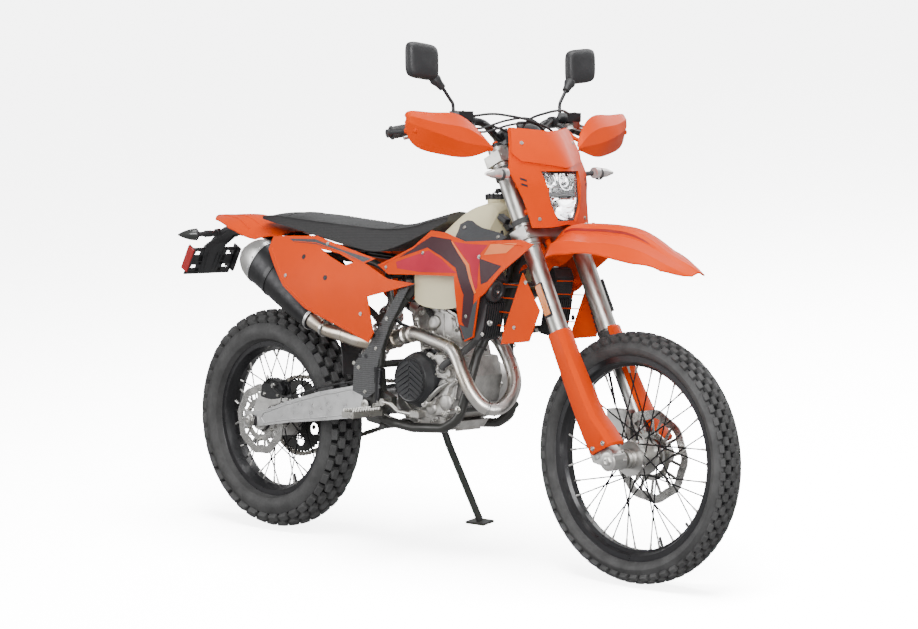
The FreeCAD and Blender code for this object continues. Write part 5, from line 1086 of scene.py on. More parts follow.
def make_disc_fittings():
    make_disc("front", WHEELBASE, FRONT_AXLE_Z, 57.0, 130.0)
    make_disc("rear", 0, REAR_AXLE_Z, -80.0, 110.0, 0.2)
    front = Piece("front_disc_buttons", "front_wheel", "zinc")
    for turn in turns(6, 0.25):
        front.turned(around(WHEELBASE, FRONT_AXLE_Z, 62, turn, 52.0), LEFTWARD,
                     [(0, 5.5), (1, 8), (8.6, 8), (9.6, 5.5), (9.6, 3), (8.8, 0)], 16)
        front.turned(around(WHEELBASE, FRONT_AXLE_Z, 62, turn, 61.5), LEFTWARD,
                     [(0, 4.4), (2.4, 4.0), (2.8, 1.0)], 6)
    front.done(smooth=40)
    rear = Piece("rear_disc_bolts", "rear_wheel", "zinc")
    for turn in turns(6, 0.5):
        rear.bolt(around(0, REAR_AXLE_Z, 60, turn, -82.4), RIGHTWARD, 5.0, 4.4)
        rear.bolt(around(0, REAR_AXLE_Z, 66, turn, 87.6), LEFTWARD, 6.0, 5.0)
    rear.done()
    bore = Piece("rear_hub_rings", "rear_wheel", "black_alloy")
    for y, radius in ((-76.0, 38.0), (60.0, 42.0)):
        ring = [(y, radius - 4), (y, radius), (y + 4, radius), (y + 4, radius - 4)]
        bore.hollow_ring((0, 0, REAR_AXLE_Z), LEFTWARD, ring, 48)
    bore.done(bevel=0.6)
    seals = Piece("front_hub_seals", "front_wheel", "zinc")
    for side in SIDES:
        y = side * 44.0
        ring = [(y - 3, 24.4), (y - 3, 27.0), (y + 3, 27.0), (y + 3, 24.4)]
        seals.hollow_ring((WHEELBASE, 0, FRONT_AXLE_Z), LEFTWARD, ring, 48)
    seals.done(bevel=0.5)


# Front end
FORK_BANDS = ((652, 664, 29.6), (645, 651, 28.6), (639, 643, 27.8), (892, 899, 28.6), (702, 712, 29.2))
GUARD_WRAP = [(-30, 20), (-24, 32), (-4, 38), (22, 37), (34, 24), (38, 4), (34, -18), (24, -28)]
# Height, size, and how far the guard's rear and front edges move ahead
GUARD_ROWS = [(392, 0.80, -2, 0), (386, 0.86, -2, 0), (300, 0.88, -2, 0), (200, 0.94, 0, 4),
              (130, 1.0, 4, 10), (84, 1.04, 8, 26), (40, 1.02, 14, 38), (34, 0.98, 16, 36)]


def fork_ring(piece, low, high, inner, outer, side):
    """A band round a fork tube, with eased edges."""
    ring = [(low, inner), (low, outer - 0.8), (low + 0.8, outer), (high - 0.8, outer), (high, outer - 0.8),
            (high, inner)]
    start = Vector(on_fork(CLAMP_OFFSET, side * FORK_Y, 0))
    axis = Vector(on_fork(CLAMP_OFFSET, side * FORK_Y, 1)) - start
    piece.hollow_ring(start, axis, ring, 48)


def fork_way(ahead, side, height):
    """A direction in the bike's frame from one along the steering axis."""
    return Vector(on_fork(ahead, side, height)) - Vector(on_fork(0, 0, 0))


def make_fork_fittings():
    bands = Piece("fork_stepped_bands", "steering", "fork_alloy")
    seals = Piece("fork_seals", "steering", "rubber")
    caps = Piece("fork_caps", "steering", "black_alloy")
    knobs = Piece("fork_adjusters", "steering", "orange")
    bolts = Piece("clamp_bolts", "steering", "steel")
    up = fork_way(0, 0, 1)
    ahead = fork_way(1, 0, 0)
    for side in SIDES:
        y = side * FORK_Y
        for low, high, outer in FORK_BANDS:
            fork_ring(bands, low, high, 26.0, outer, side)
        fork_ring(seals, 366, 382, 23.5, 28.4, side)
        fork_ring(seals, 383, 388, 26.0, 27.6, side)
        caps.turned(on_fork(CLAMP_OFFSET, y, 948), up,
                    [(0, 24), (4, 24), (5, 21), (9, 21), (10, 15), (14, 15), (15, 12)], 36)
        caps.turned(on_fork(CLAMP_OFFSET, y, 950), up, [(0, 15), (11, 15), (12, 13)], 6)
        knobs.turned(on_fork(CLAMP_OFFSET, y, 963), up, [(0, 8), (5, 8), (6.5, 6.5), (6.5, 1)], 16)
        for fore, out, height in ((28, 26, 674), (28, 26, 692), (26, 24, 916)):
            bolts.bolt(on_fork(CLAMP_OFFSET + fore, side * (FORK_Y + out), height), (0, side, 0), 5.0, 5.0)
        for height in (-12, 14):
            bolts.bolt(on_fork(92, y, height), ahead, 4.5, 5.0)
    caps.turned(on_fork(0, 0, 938), up, [(0, 20), (4, 20), (5, 17)], 32)
    bolts.turned(on_fork(0, 0, 943), up, [(0, 15.5), (9, 15.5), (10.5, 13.5), (10.5, 7), (4, 7)], 6)
    for side in (-42, 42):
        for fore in (-15, 15):
            for across in (-8.5, 8.5):
                bolts.turned(on_fork(6 + fore, side + across, 1008), up,
                             [(0, 4.6), (4.4, 4.6), (5, 4), (5, 2.2), (3, 2.2)], 14)
    for piece in (bands, seals, caps, knobs, bolts):
        piece.done(smooth=42)
    frames = Piece("side_reflector_frames", "steering", "black_plastic")
    lights = Piece("side_reflectors", "steering", "amber_reflector")
    turn = Matrix((ahead, Vector(LEFTWARD), up)).transposed()
    for side in SIDES:
        centre = Vector(on_fork(CLAMP_OFFSET + 6, side * (FORK_Y + 28.6), 486))
        frames.box(centre, (27, 6.5, 98), turn)
        lights.box(centre + Vector((0, side * 2.6, 0)), (22, 4.0, 90), turn)
        frames.box(centre - ahead * 2 - Vector((0, side * 4, 0)), (20, 8, 60), turn)
    frames.done(bevel=1.6)
    lights.done(bevel=1.4)


def make_fork_guards():
    shells = Piece("fork_guard_shells", "steering", "orange")
    guards = Piece("fork_guard_bolts", "steering", "zinc")
    feet = Piece("fork_foot_ribs", "steering", "alloy")
    for side in SIDES:
        out = (0, side, 0)
        rings = []
        for height, size, rear, fore in GUARD_ROWS:
            outer = [(a * size + (fore if a > 0 else rear), s * size) for a, s in GUARD_WRAP]
            inner = [(a * 0.91 + (2.0 if a < 0 else 0.0), s * 0.91) for a, s in outer]
            rings.append([on_fork(CLAMP_OFFSET + a, side * (FORK_Y + s), height)
                          for a, s in outer + inner[::-1]])
        shells.loops(rings)
        for fore in (30, 70):
            guards.bolt(on_fork(fore, side * (FORK_Y + 38), 48), out, 5.4, 4.0)
        start = Vector(on_fork(AXLE_AHEAD, side * (FORK_Y + 24), 0))
        feet.turned(start, out, [(0, 24), (3, 24), (4, 20), (4, 15)], 32)
        feet.turned(start + Vector(out) * 4, out, [(0, 13), (4, 13), (5, 11), (5, 7), (2, 7)], 6)
    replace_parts(shells.done(bevel=0.8, smooth=30), "fork_guards")
    guards.done()
    feet.done(smooth=40)


# Cockpit
DISPLAY_CENTRE = Vector((1066, 0, 1236))
DISPLAY_FACE = Vector((-0.92, 0, 0.4))


def bar_spot(share, side=1):
    """A place along the grip stretch of the handlebar."""
    low, high = Vector((990, 205, 1260)), Vector((930, 405, 1226))
    spot = low + (high - low) * share
    return Vector((spot.x, spot.y * side, spot.z))


def bar_way(side=1):
    return (bar_spot(1, side) - bar_spot(0, side)).normalized()


def display_part(name, coat, rows):
    part = Piece(name, "steering", coat)
    outline = squircle(44.0, 26.0, 0.5, 32)
    part.loops([[DISPLAY_CENTRE + Vector((-0.36 * b * share, a * share, b * share * 0.9))
                 + DISPLAY_FACE * lift for a, b in outline] for lift, share in rows])
    part.done(smooth=40)


def make_cockpit():
    grips = Piece("grip_ribs", "steering", "rubber")
    ends = Piece("grip_ends", "steering", "rubber")
    pods = Piece("switch_pods", "steering", "black_plastic")
    buttons = Piece("switch_buttons", "steering", "red_dark")
    perches = Piece("lever_clamps", "steering", "black_alloy")
    bolts = Piece("lever_bolts", "steering", "steel")
    for side in SIDES:
        way = bar_way(side)
        for number in range(22):
            grips.hollow_ring(bar_spot(0.42 + 0.0245 * number, side), way,
                              [(0, 16.2), (0.7, 17.6), (2.6, 17.6), (3.3, 16.2)], 28)
        ends.turned(bar_spot(0.975, side), way, [(0, 16.5), (2, 19.5), (5, 19.5), (7, 17), (7, 11)], 28)
        pods.turned(bar_spot(0.255, side), way, [(0, 15), (1.5, 18.5), (19, 18.5), (20.5, 16)], 28)
        turn = Matrix((Vector((1, 0, 0)), way, Vector((1, 0, 0)).cross(way))).transposed()
        pods.box(bar_spot(0.3, side) + Vector((-12, 0, 8)), (18, 20, 20), turn)
        buttons.box(bar_spot(0.3, side) + Vector((-21.5, 0, 12)), (3, 9, 7), turn)
        perches.hollow_ring(bar_spot(0.12, side), way, [(-9, 11.4), (-9, 20.5), (9, 20.5), (9, 11.4)], 28)
        perches.turned((1012, side * 236, 1284), UP, [(0, 15), (3, 15), (4, 13)], 24)
        bolts.turned((1024, side * 240, 1248), UP, [(-10, 5), (-9, 6.4), (9, 6.4), (10, 5), (10, 2)], 14)
        for x in (1003, 1031):
            bolts.turned((x, side * 228, 1286.5), UP, [(0, 3.4), (2.4, 3.4), (2.8, 2.6), (2.8, 1)], 12)
    pods.box(bar_spot(0.27, -1) + Vector((16, 0, -16)), (26, 18, 20))
    for piece, bevel in ((grips, 0), (ends, 0), (pods, 1.6), (buttons, 0.8), (perches, 0.8), (bolts, 0)):
        piece.done(bevel=bevel)
    display_part("display_case", "black_plastic", ((-13, 0.7), (-9, 0.94), (-2, 1.0), (5, 1.0), (8, 0.95)))
    display_part("display_screen", "screen", ((7.6, 0.8), (8.6, 0.8), (8.9, 0.74), (9.0, 0.1)))


# Throttle cables, clutch and brake lines, and the wiring round the head: points and radius
CABLES = [
    ([(1002, -196, 1246), (1040, -168, 1240), (1084, -110, 1262), (1100, -40, 1268), (1090, 30, 1240),
      (1074, 62, 1180), (1082, 52, 1110)], 3.3),
    ([(1006, -190, 1238), (1046, -160, 1230), (1090, -100, 1250), (1108, -30, 1256), (1096, 36, 1226),
      (1080, 56, 1170), (1084, 48, 1104)], 3.3),
    ([(1014, 214, 1276), (1050, 180, 1284), (1086, 110, 1292), (1104, 30, 1284), (1100, -40, 1262),
      (1082, -72, 1206), (1074, -58, 1150)], 3.6),
    ([(992, 168, 1268), (1030, 130, 1262), (1058, 70, 1240), (1066, 30, 1196), (1070, 26, 1120)], 4.2),
    ([(992, -150, 1268), (1026, -120, 1250), (1054, -66, 1226), (1062, -34, 1180), (1070, -28, 1120)], 3.8),
]
# The brake hose along the fork: ahead, side and height on the steering axis
HOSE_ROUTE = [(2, 136, 780), (-2, 136, 700), (-6, 138, 630), (-12, 114, 560), (-14, 104, 480), (-14, 98, 400),
              (-14, 90, 320), (-14, 80, 250)]
CLIP_PLACES = ((-2, 137, 690), (-8, 104, 470), (-8, 92, 330))


def make_cables():
    lines = Piece("cables", "steering", "hose")
    for points, radius in CABLES:
        lines.hose(points, radius, 10)
    lines.done()
    wrap = Piece("brake_hose_wrap", "steering", "hose")
    path = smooth_route([on_fork(*spot) for spot in HOSE_ROUTE], 40)
    coil = []
    for number, point in enumerate(path):
        turn = number * 0.95
        first, second = frame_of(path[min(number + 1, len(path) - 1)] - path[max(number - 1, 0)])
        coil.append(point + (first * math.cos(turn) + second * math.sin(turn)) * 4.4)
    wrap.tube(coil, 1.5, 5)
    wrap.done()
    clips = Piece("hose_clips", "steering", "black_plastic")
    for spot in CLIP_PLACES:
        clips.turned(on_fork(*spot), fork_way(0, 0, 1), [(-6, 6), (-5, 7.4), (5, 7.4), (6, 6)], 16)
    clips.done()


# Engine, with places in x and z on its sides
CLUTCH = (747.0, 517.0)
STATOR = (808.0, 500.0)
PUMP_FACE = -110.0
PUMP_SCREWS = ((824, 538), (868, 534), (874, 554), (832, 562))
PUMP_BOSSES = ((858, 432), (882, 470), (890, 570), (800, 582), (842, 586))
RIGHT_BOSSES = ((626, 476), (632, 530), (660, 566), (700, 582), (660, 400), (760, 392), (820, 402))
LEFT_BOSSES = ((626, 476), (632, 530), (660, 566), (720, 584), (870, 560), (884, 500), (866, 430), (800, 394))
CASE_STUDS = ((702, 387), (777, 399), (866, 404), (842, 425), (790, 587), (777, 608), (892, 520), (858, 560),
              (784, 450))
HEAD_STUDS = ((653, 712), (656, 673), (845, 666), (699, 706), (797, 722), (711, 640), (812, 640))
DOMES = ((850, 458, 26, 12), (790, 436, 20, 10), (696, 452, 18, 8), (748, 678, 24, 9))
CASE_RIBS = (((760, 444), (800, 410), (866, 420)), ((690, 410), (740, 400), (790, 404)),
             ((880, 470), (890, 520), (886, 570)), ((630, 500), (650, 560), (690, 590)),
             ((640, 440), (690, 400), (700, 392)))
HEAD_RIBS = (((672, 690), (700, 640)), ((730, 716), (748, 640)), ((790, 716), (792, 640)),
             ((832, 700), (826, 640)))
HEAD_RIDGE = [(668, 668), (664, 696), (694, 716), (780, 724), (834, 704), (846, 672), (838, 668), (826, 698),
              (778, 714), (698, 708), (674, 692), (678, 668)]
CASE_BOSS = [(0, 9.5), (7, 8.5), (8, 7)]


def bosses(lugs, bolts, places, y, profile, size, height):
    """Round bosses on one side of a case, each with a bolt on it."""
    out = Vector((0, math.copysign(1, y), 0))
    for x, z in places:
        lugs.turned((x, y, z), out, profile, 16)
        bolts.bolt(Vector((x, y, z)) + out * profile[-1][0], out, size, height)


def make_engine():
    cover = Piece("clutch_cover_rim", "chassis", "black_alloy")
    bolts = Piece("engine_bolts", "chassis", "zinc")
    lugs = Piece("engine_bosses", "chassis", "cast_alloy")
    x, z = CLUTCH
    for ring in ([(-78, 79), (-78, 87), (-74, 87), (-72.5, 85), (-72.5, 79)],
                 [(-159, 57), (-160, 60), (-158.4, 63), (-156, 63), (-156, 57)],
                 [(-116, 78), (-116, 81.2), (-112, 81.2), (-112, 78)]):
        cover.hollow_ring((x, 0, z), LEFTWARD, ring, 72)
    cover.done(smooth=42)
    rim = [around(x, z, 87, turn) for turn in turns(9, 0.4)
           if math.cos(turn) <= 0 or not -0.75 < math.sin(turn) < 0.8]
    bosses(lugs, bolts, [(spot.x, spot.z) for spot in rim], -73, [(0, 8.5), (22, 7.6), (23, 6.6)], 4.4, 5.0)
    for x, z in PUMP_SCREWS:
        bolts.bolt((x, PUMP_FACE - 14, z), RIGHTWARD, 3.6, 4.0, False)
    bosses(lugs, bolts, PUMP_BOSSES, -73, [(0, 8.5), (39, 7.5), (40, 6.5)], 4.4, 4.6)
    bosses(lugs, bolts, RIGHT_BOSSES, -72, CASE_BOSS, 4.6, 4.8)
    bosses(lugs, bolts, LEFT_BOSSES, 72, CASE_BOSS, 4.6, 4.8)
    left = Piece("ignition_cover_ribs", "chassis", "cast_alloy")
    x, z = STATOR
    left.hollow_ring((x, 0, z), LEFTWARD, [(124, 50), (124, 60), (127, 58), (127, 52)], 64)
    left.hollow_ring((x, 0, z), LEFTWARD, [(72.5, 66), (72.5, 74), (80, 74), (81, 66)], 64)
    left.turned((x, 124, z), LEFTWARD, [(0, 16), (4, 15), (5, 12), (5, 7), (3, 0)], 32)
    for turn in turns(8):
        bolts.bolt(around(x, z, 70, turn, 80), LEFTWARD, 4.0, 4.4)
        left.tube([around(x, z, 20, turn, 124.6), around(x, z, 49, turn, 124.6)], 1.8, 8)
    left.done(bevel=0.6)
    make_cylinder_sides(bolts)
    case = node_tree("crankcase")
    head = node_tree("cylinder")
    for tree, spots in ((case, CASE_STUDS), (head, HEAD_STUDS)):
        for x, z in spots:
            place = panel_spot(tree, x, z, -1)[0]
            lugs.turned(place + Vector(LEFTWARD), RIGHTWARD, [(0, 9.5), (6, 8.5), (7, 7)], 16)
            bolts.bolt(place + Vector(RIGHTWARD) * 6, RIGHTWARD, 4.6, 4.8, False)
    for x, z, radius, high in DOMES:
        place = panel_spot(head if z > 620 else case, x, z, -1)[0]
        lugs.turned(place + Vector((0, 2, 0)), RIGHTWARD, [(0, radius), (high * 0.6, radius * 0.93),
                                                           (high * 0.9, radius * 0.75), (high, radius * 0.4),
                                                           (high, 0)], 32)
    for line in CASE_RIBS:
        lugs.tube(panel_line(case, line, -1, 5), 3.2, 10)
    for line in HEAD_RIBS:
        lugs.tube(panel_line(head, line, -1, 7, last=True), 3.6, 10)
    lugs.done(smooth=42)
    bolts.done()


def make_cylinder_sides(bolts):
    core = Piece("cylinder_webs", "chassis", "cast_alloy")
    for side in SIDES:
        out = (0, side, 0)
        y = side * 57.0
        for number in range(5):
            a = 700 + 30 * number
            core.prism([(a, 600), (a + 5, 600), (a + 2, 640), (a - 3, 640)], y, y + side * 4)
        core.prism([(684, 634), (860, 628), (862, 642), (682, 648)], y, y + side * 9)
        core.prism(HEAD_RIDGE, side * 63, side * 67)
        core.turned((760, side * 63, 682), out, [(0, 19), (5, 18), (6, 15), (6, 9), (4, 0)], 28)
        for x, z in ((676, 684), (706, 712), (776, 718), (832, 696)):
            core.turned((x, side * 62, z), out, [(0, 8), (6, 7), (7, 5)], 14)
            bolts.bolt((x, side * 69, z), out, 3.8, 4.2, False)
    core.done(bevel=1.0)


def make_engine_fittings():
    lid = Piece("valve_cover", "chassis", "black_alloy")
    lid.prism(rounded([(672, 704), (690, 727), (780, 737), (838, 714), (836, 722), (782, 746), (688, 736),
                       (668, 712)], 5), -54, 54)
    lid.done(bevel=2.0)
    sump = Piece("sump_ribs", "chassis", "cast_alloy")
    for number in range(6):
        a = 676 + 30 * number
        sump.prism([(a, 368), (a + 5, 368), (a + 5, 380), (a, 380)], -50, 50)
    sump.turned((760, 0, 372), (0, 0, -1), [(0, 13), (5, 13), (6, 10)], 6)
    sump.done(bevel=0.8)
    lever = Piece("clutch_arm", "chassis", "zinc")
    lever.tube([(868, -118, 516), (840, -128, 498), (806, -132, 470), (786, -132, 452)],
               [5.0, 7.0, 7.0, 6.0], 14)
    lever.turned((786, -118, 452), RIGHTWARD, [(0, 13), (18, 13), (20, 11), (20, 6), (14, 0)], 24)
    lever.box((832, -112, 542), (54, 14, 30))
    lever.done(bevel=2.0)
    plug = Piece("spark_plug_boot", "chassis", "rubber")
    plug.hose([(742, -60, 700), (738, -74, 716), (728, -86, 742), (704, -82, 772), (668, -60, 800)], 6.0, 12)
    plug.turned((742, -58, 697), (-0.05, -0.7, 0.7), [(0, 10), (6, 10), (7, 8.6), (24, 8.0), (25, 6)], 20)
    plug.done()
    oil = Piece("oil_filler", "chassis", "black_plastic")
    oil.turned((700, -84, 412), RIGHTWARD, [(0, 13), (6, 13), (7, 11), (7, 8), (11, 8), (11, 3)], 24)
    oil.turned((655, -80, 520), RIGHTWARD, [(0, 12), (8, 12), (9, 9)], 6)
    oil.done(bevel=0.5)


def clamp_ring(piece, spot, way, radius, width=9.0):
    """A worm clamp round a hose."""
    half = width / 2
    piece.hollow_ring(spot, way, [(-half, radius), (-half, radius + 1.3), (half, radius + 1.3),
                                  (half, radius)], 28)
    first, second = frame_of(way)
    spot = Vector(spot)
    side = first * (radius + 4.0)
    piece.tube([spot + side - second * 6, spot + side + second * 6], 3.2, 8)


WATER_HOSES = [
    ([(848, -126, 548), (862, -134, 566), (898, -126, 588), (938, -108, 620), (978, -108, 650),
      (1010, -114, 669)], 10.0),
    ([(842, 40, 700), (880, 60, 726), (940, 92, 760), (990, 108, 770), (1024, 116, 782)], 11.0),
    ([(842, -40, 700), (880, -60, 726), (940, -92, 762), (990, -108, 776), (1024, -116, 790)], 11.0),
    ([(1008, 114, 669), (980, 100, 660), (940, 60, 650), (930, 0, 652), (940, -60, 650), (980, -96, 656),
      (1008, -114, 664)], 9.0),
]
THIN_HOSES = [
    ([(948, 10, 1064), (962, 2, 1086), (1000, -6, 1096), (1036, -8, 1070), (1052, -8, 1020)], 3.4),
    ([(640, -70, 740), (620, -96, 716), (640, -104, 680), (690, -92, 660)], 5.0),
    ([(600, -60, 770), (640, -96, 758), (700, -98, 742), (760, -84, 730)], 4.0),
    ([(1010, 40, 960), (1044, 62, 900), (1040, 92, 840), (990, 84, 790)], 4.5),
    ([(1000, -40, 950), (1036, -66, 890), (1030, -96, 840), (960, -88, 780), (880, -80, 740)], 4.5),
    ([(1010, -26, 930), (1040, -48, 860), (1026, -60, 780), (980, -52, 700)], 6.0),
    ([(598, -132, 548), (592, -128, 572), (570, -118, 590), (548, -108, 560), (540, -104, 500)], 4.0),
    ([(606, -140, 458), (560, -124, 500), (470, -124, 492), (330, -124, 466), (180, -122, 426),
      (110, -112, 436), (86, -104, 452)], 3.4),
]


def make_hoses():
    water = Piece("water_hoses", "chassis", "rubber")
    clamps = Piece("hose_clamps", "chassis", "steel")
    for points, radius in WATER_HOSES:
        water.hose(points, radius, 16)
        for start, after in ((points[0], points[1]), (points[-1], points[-2])):
            way = (Vector(after) - Vector(start)).normalized()
            clamp_ring(clamps, Vector(start) + way * 10, way, radius + 0.2)
    water.done()
    clamps.done(smooth=40)
    thin = Piece("thin_hoses", "chassis", "hose")
    for points, radius in THIN_HOSES:
        thin.hose(points, radius, 10)
    thin.done()
    guides = Piece("brake_line_guides", "chassis", "black_plastic")
    for x, z in ((430, 486), (300, 458), (190, 428)):
        guides.turned((x, -124, z), (-1, 0, -0.25), [(-9, 5.5), (-8, 6.6), (8, 6.6), (9, 5.5)], 16)
    guides.done()
    joint = Piece("wiring_connectors", "chassis", "black_plastic")
    joint.box((1020, -52, 986), (34, 20, 16), Matrix.Rotation(0.5, 3, "Y"))
    joint.box((1028, -44, 964), (26, 16, 14), Matrix.Rotation(0.7, 3, "Y"))
    joint.done(bevel=1.6)


def ring_on_pipe(piece, spot, way, rise=1.3, width=3.0, radius=20.0):
    """A weld bead or a sleeve edge round the header."""
    half = width / 2
    ring = [(-half, radius - 0.4), (-half * 0.6, radius + rise), (half * 0.6, radius + rise),
            (half, radius - 0.4)]
    piece.hollow_ring(spot, way, ring, 40)


# Exhaust, by stations: x, y, z and radius
HEADER_ROUTE = [
    (852, 0, 672, 20.0), (900, -1, 662, 20.0), (952, -3, 640, 20.0), (1004, -10, 580, 20.0),
    (1038, -24, 526, 20.0), (1050, -52, 484, 20.0), (1043, -90, 455, 20.0), (1018, -124, 458, 20.0),
    (983, -140, 496, 20.0),
    (950, -143, 548, 20.0), (918, -137, 594, 20.0), (884, -130, 617, 20.0), (806, -119, 633, 20.0),
    (726, -108, 646, 20.0), (668, -98, 640, 22.0), (590, -98, 616, 26.0), (500, -110, 616, 26.0),
    (430, -120, 630, 24.0), (360, -127, 642, 22.0), (303, -128, 670.5, 30.0),
]
HEADER_STEPS = 8
# Place along the route in stations, rise and width of each bead
HEADER_WELDS = ((3, 1.2, 3), (6.4, 1.6, 3), (9, 1.1, 3), (11, 1.1, 3), (13.4, 4.4, 4), (14.0, 4.6, 18),
                (14.5, 4.4, 4), (17, 1.3, 4))


def make_header():
    line = smooth_route([spot[:3] for spot in HEADER_ROUTE], HEADER_STEPS)
    radii = [spot.x for spot in smooth_route([(spot[3], 0, 0) for spot in HEADER_ROUTE], HEADER_STEPS)]

    def band(piece, place, rise, width, radius):
        ring_on_pipe(piece, line[place], line[place + 1] - line[place - 1], rise, width, radius)

    pipe = Piece("header_pipe", "chassis", "header")
    pipe.tube(line, radii, 32)
    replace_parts(pipe.done(smooth=60), "exhaust_header")
    welds = Piece("header_welds", "chassis", "header")
    for number, rise, width in HEADER_WELDS:
        place = round(number * HEADER_STEPS)
        band(welds, place, rise, width, radii[place])
    welds.done(smooth=45)
    steel = Piece("exhaust_clamps", "chassis", "steel")
    band(steel, round(6.7 * HEADER_STEPS), 2.4, 9, 20.0)
    band(steel, len(line) - 8, 5.0, 12, 23.0)
    steel.tube([line[-9] + Vector((0, 0, 30)), line[-7] + Vector((0, 0, 29))], 4.0, 8)
    for side in SIDES:
        steel.hose([(858, side * 24, 676), (872, side * 30, 682), (886, side * 26, 684),
                    (896, side * 20, 682)], 2.6, 8)
        steel.turned((852, side * 34, 680), (0.96, 0, 0.27), [(0, 7), (10, 7), (11, 5)], 6)
    steel.done(smooth=42)
    flange = Piece("exhaust_flange", "chassis", "cast_alloy")
    flange.turned((851, 0, 671.6), (0.9615, 0, 0.2747), [(0, 33), (7, 33), (8, 31), (8, 26)], 36)
    flange.done(bevel=0.8)


SILENCER_WAY = Vector((-264.0, 0.0, 178.0)).normalized()
SILENCER_ACROSS = Vector(LEFTWARD).cross(SILENCER_WAY).normalized()
SILENCER_FRONT = (299, -128, 673.2)
SILENCER_BACK = (60, -128, 833.4)
SILENCER_CAP = (24, -128, 849.6)
OUTLET_START = Vector((4, -128, 857))


def on_silencer(spot, turn, high, wide):
    """A place on an oval across the silencer's axis."""
    return Vector(spot) + SILENCER_ACROSS * math.cos(turn) * high + Vector((0, math.sin(turn) * wide, 0))


def silencer_band(piece, spot, high, wide, width, rise):
    """A strap round the silencer."""
    rings = []
    for along, more in ((-0.5, -0.6), (-0.5, rise), (0.5, rise), (0.5, -0.6)):
        centre = Vector(spot) + SILENCER_WAY * width * along
        rings.append([on_silencer(centre, turn, high + more, wide + more) for turn in turns(48)])
    piece.loops(rings, closed=True)


def make_silencer_fittings():
    bands = Piece("silencer_bands", "chassis", "brushed_alloy")
    silencer_band(bands, SILENCER_FRONT, 39.5, 35.2, 9, 1.4)
    silencer_band(bands, SILENCER_BACK, 72.2, 46.2, 12, 1.2)
    bands.done(smooth=50)
    dark = Piece("silencer_strap", "chassis", "black_alloy")
    silencer_band(dark, (128, -128, 791.5), 66.4, 46.6, 16, 1.6)
    dark.prism(rounded([(92, 866), (150, 846), (156, 862), (110, 892), (86, 890)], 5), -106, -98)
    dark.done(smooth=50)
    rivets = Piece("silencer_rivets", "chassis", "steel")
    for spot, high, wide, count in ((SILENCER_BACK, 73.4, 47.4, 12), (SILENCER_FRONT, 40.9, 36.6, 8)):
        for turn in turns(count, 0.5):
            out = SILENCER_ACROSS * math.cos(turn) / high + Vector((0, math.sin(turn) / wide, 0))
            rivets.turned(on_silencer(spot, turn, high, wide), out,
                          [(-0.5, 3.0), (0.8, 2.8), (1.6, 1.6), (1.8, 0.3)], 12)
    rivets.bolt((112, -107, 880), RIGHTWARD, 5.0, 4.0)
    rivets.done()
    outlet = Piece("silencer_outlet", "chassis", "steel")
    outlet.hollow_ring(OUTLET_START, SILENCER_WAY, [(-6, 19), (-6, 23), (14, 23), (15, 21.5), (15, 19)], 40)
    outlet.hollow_ring(OUTLET_START, SILENCER_WAY, [(-3, 23), (-3, 29), (0, 31), (2, 30), (2, 23)], 40)
    outlet.done(smooth=42)
    screen = Piece("silencer_screen", "chassis", "guard_grid")
    screen.turned(OUTLET_START, SILENCER_WAY, [(2, 19.2), (3, 12), (3.4, 1)], 32)
    screen.done()
    bolts = Piece("silencer_cap_bolts", "chassis", "zinc")
    for turn in turns(6, 0.5):
        out = SILENCER_WAY + SILENCER_ACROSS * 0.5 * math.cos(turn)
        bolts.bolt(on_silencer(SILENCER_CAP, turn, 58, 38), out, 3.6, 4.0, False)
    bolts.done()


# Rear brake and swingarm
CALIPER_BODY = [(20, 414), (28, 456), (58, 474), (112, 464), (126, 440), (112, 414), (66, 408)]
CALIPER_BRIDGE = [(38, 454), (56, 474), (104, 466), (112, 448), (60, 456)]
CALIPER_BRACKET = [(-22, 346), (-16, 372), (10, 424), (30, 438), (116, 424), (112, 400), (66, 388), (30, 366),
                   (20, 346)]
SLIDER = [(400, 462), (500, 488), (560, 476), (568, 452), (560, 462), (500, 478), (400, 454)]
ARM_RIBS = (((60, 368), (170, 402), (310, 438), (470, 470)), ((60, 336), (170, 355), (310, 372), (470, 396)),
            ((60, 336), (48, 352), (60, 368)))


def make_rear_brake():
    caliper = Piece("rear_brake_caliper", "chassis", "black_alloy")
    body = rounded(CALIPER_BODY, 9)
    caliper.prism(body, -99, -86)
    caliper.prism(body, -74, -62)
    caliper.prism(rounded(CALIPER_BRIDGE, 4), -99, -62)
    caliper.turned((70, -62, 440), LEFTWARD, [(-3, 17), (5, 17), (7, 15), (7, 10)], 32)
    caliper.done(bevel=1.8)
    bracket = Piece("rear_caliper_bracket", "chassis", "alloy")
    bracket.prism(rounded(CALIPER_BRACKET, 6), -97.2, -92)
    bracket.hollow_ring((0, 0, REAR_AXLE_Z), LEFTWARD,
                        [(-97.2, 15.4), (-97.2, 25), (-91.5, 25), (-91.5, 15.4)], 40)
    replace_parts(bracket.done(bevel=0.8), "rear_caliper")
    pins = Piece("rear_caliper_pins", "chassis", "steel")
    for x in (40, 102):
        pins.bolt((x, -99, 424), RIGHTWARD, 4.4, 4.6)
    pins.turned((84, -99, 452), RIGHTWARD, [(0, 8), (4, 8), (5, 6), (8, 6), (8, 3)], 16)
    pins.turned((50, -94, 470), (-0.2, 0, 1), [(0, 4), (8, 4), (9, 2.6), (13, 2.6)], 12)
    pins.done()


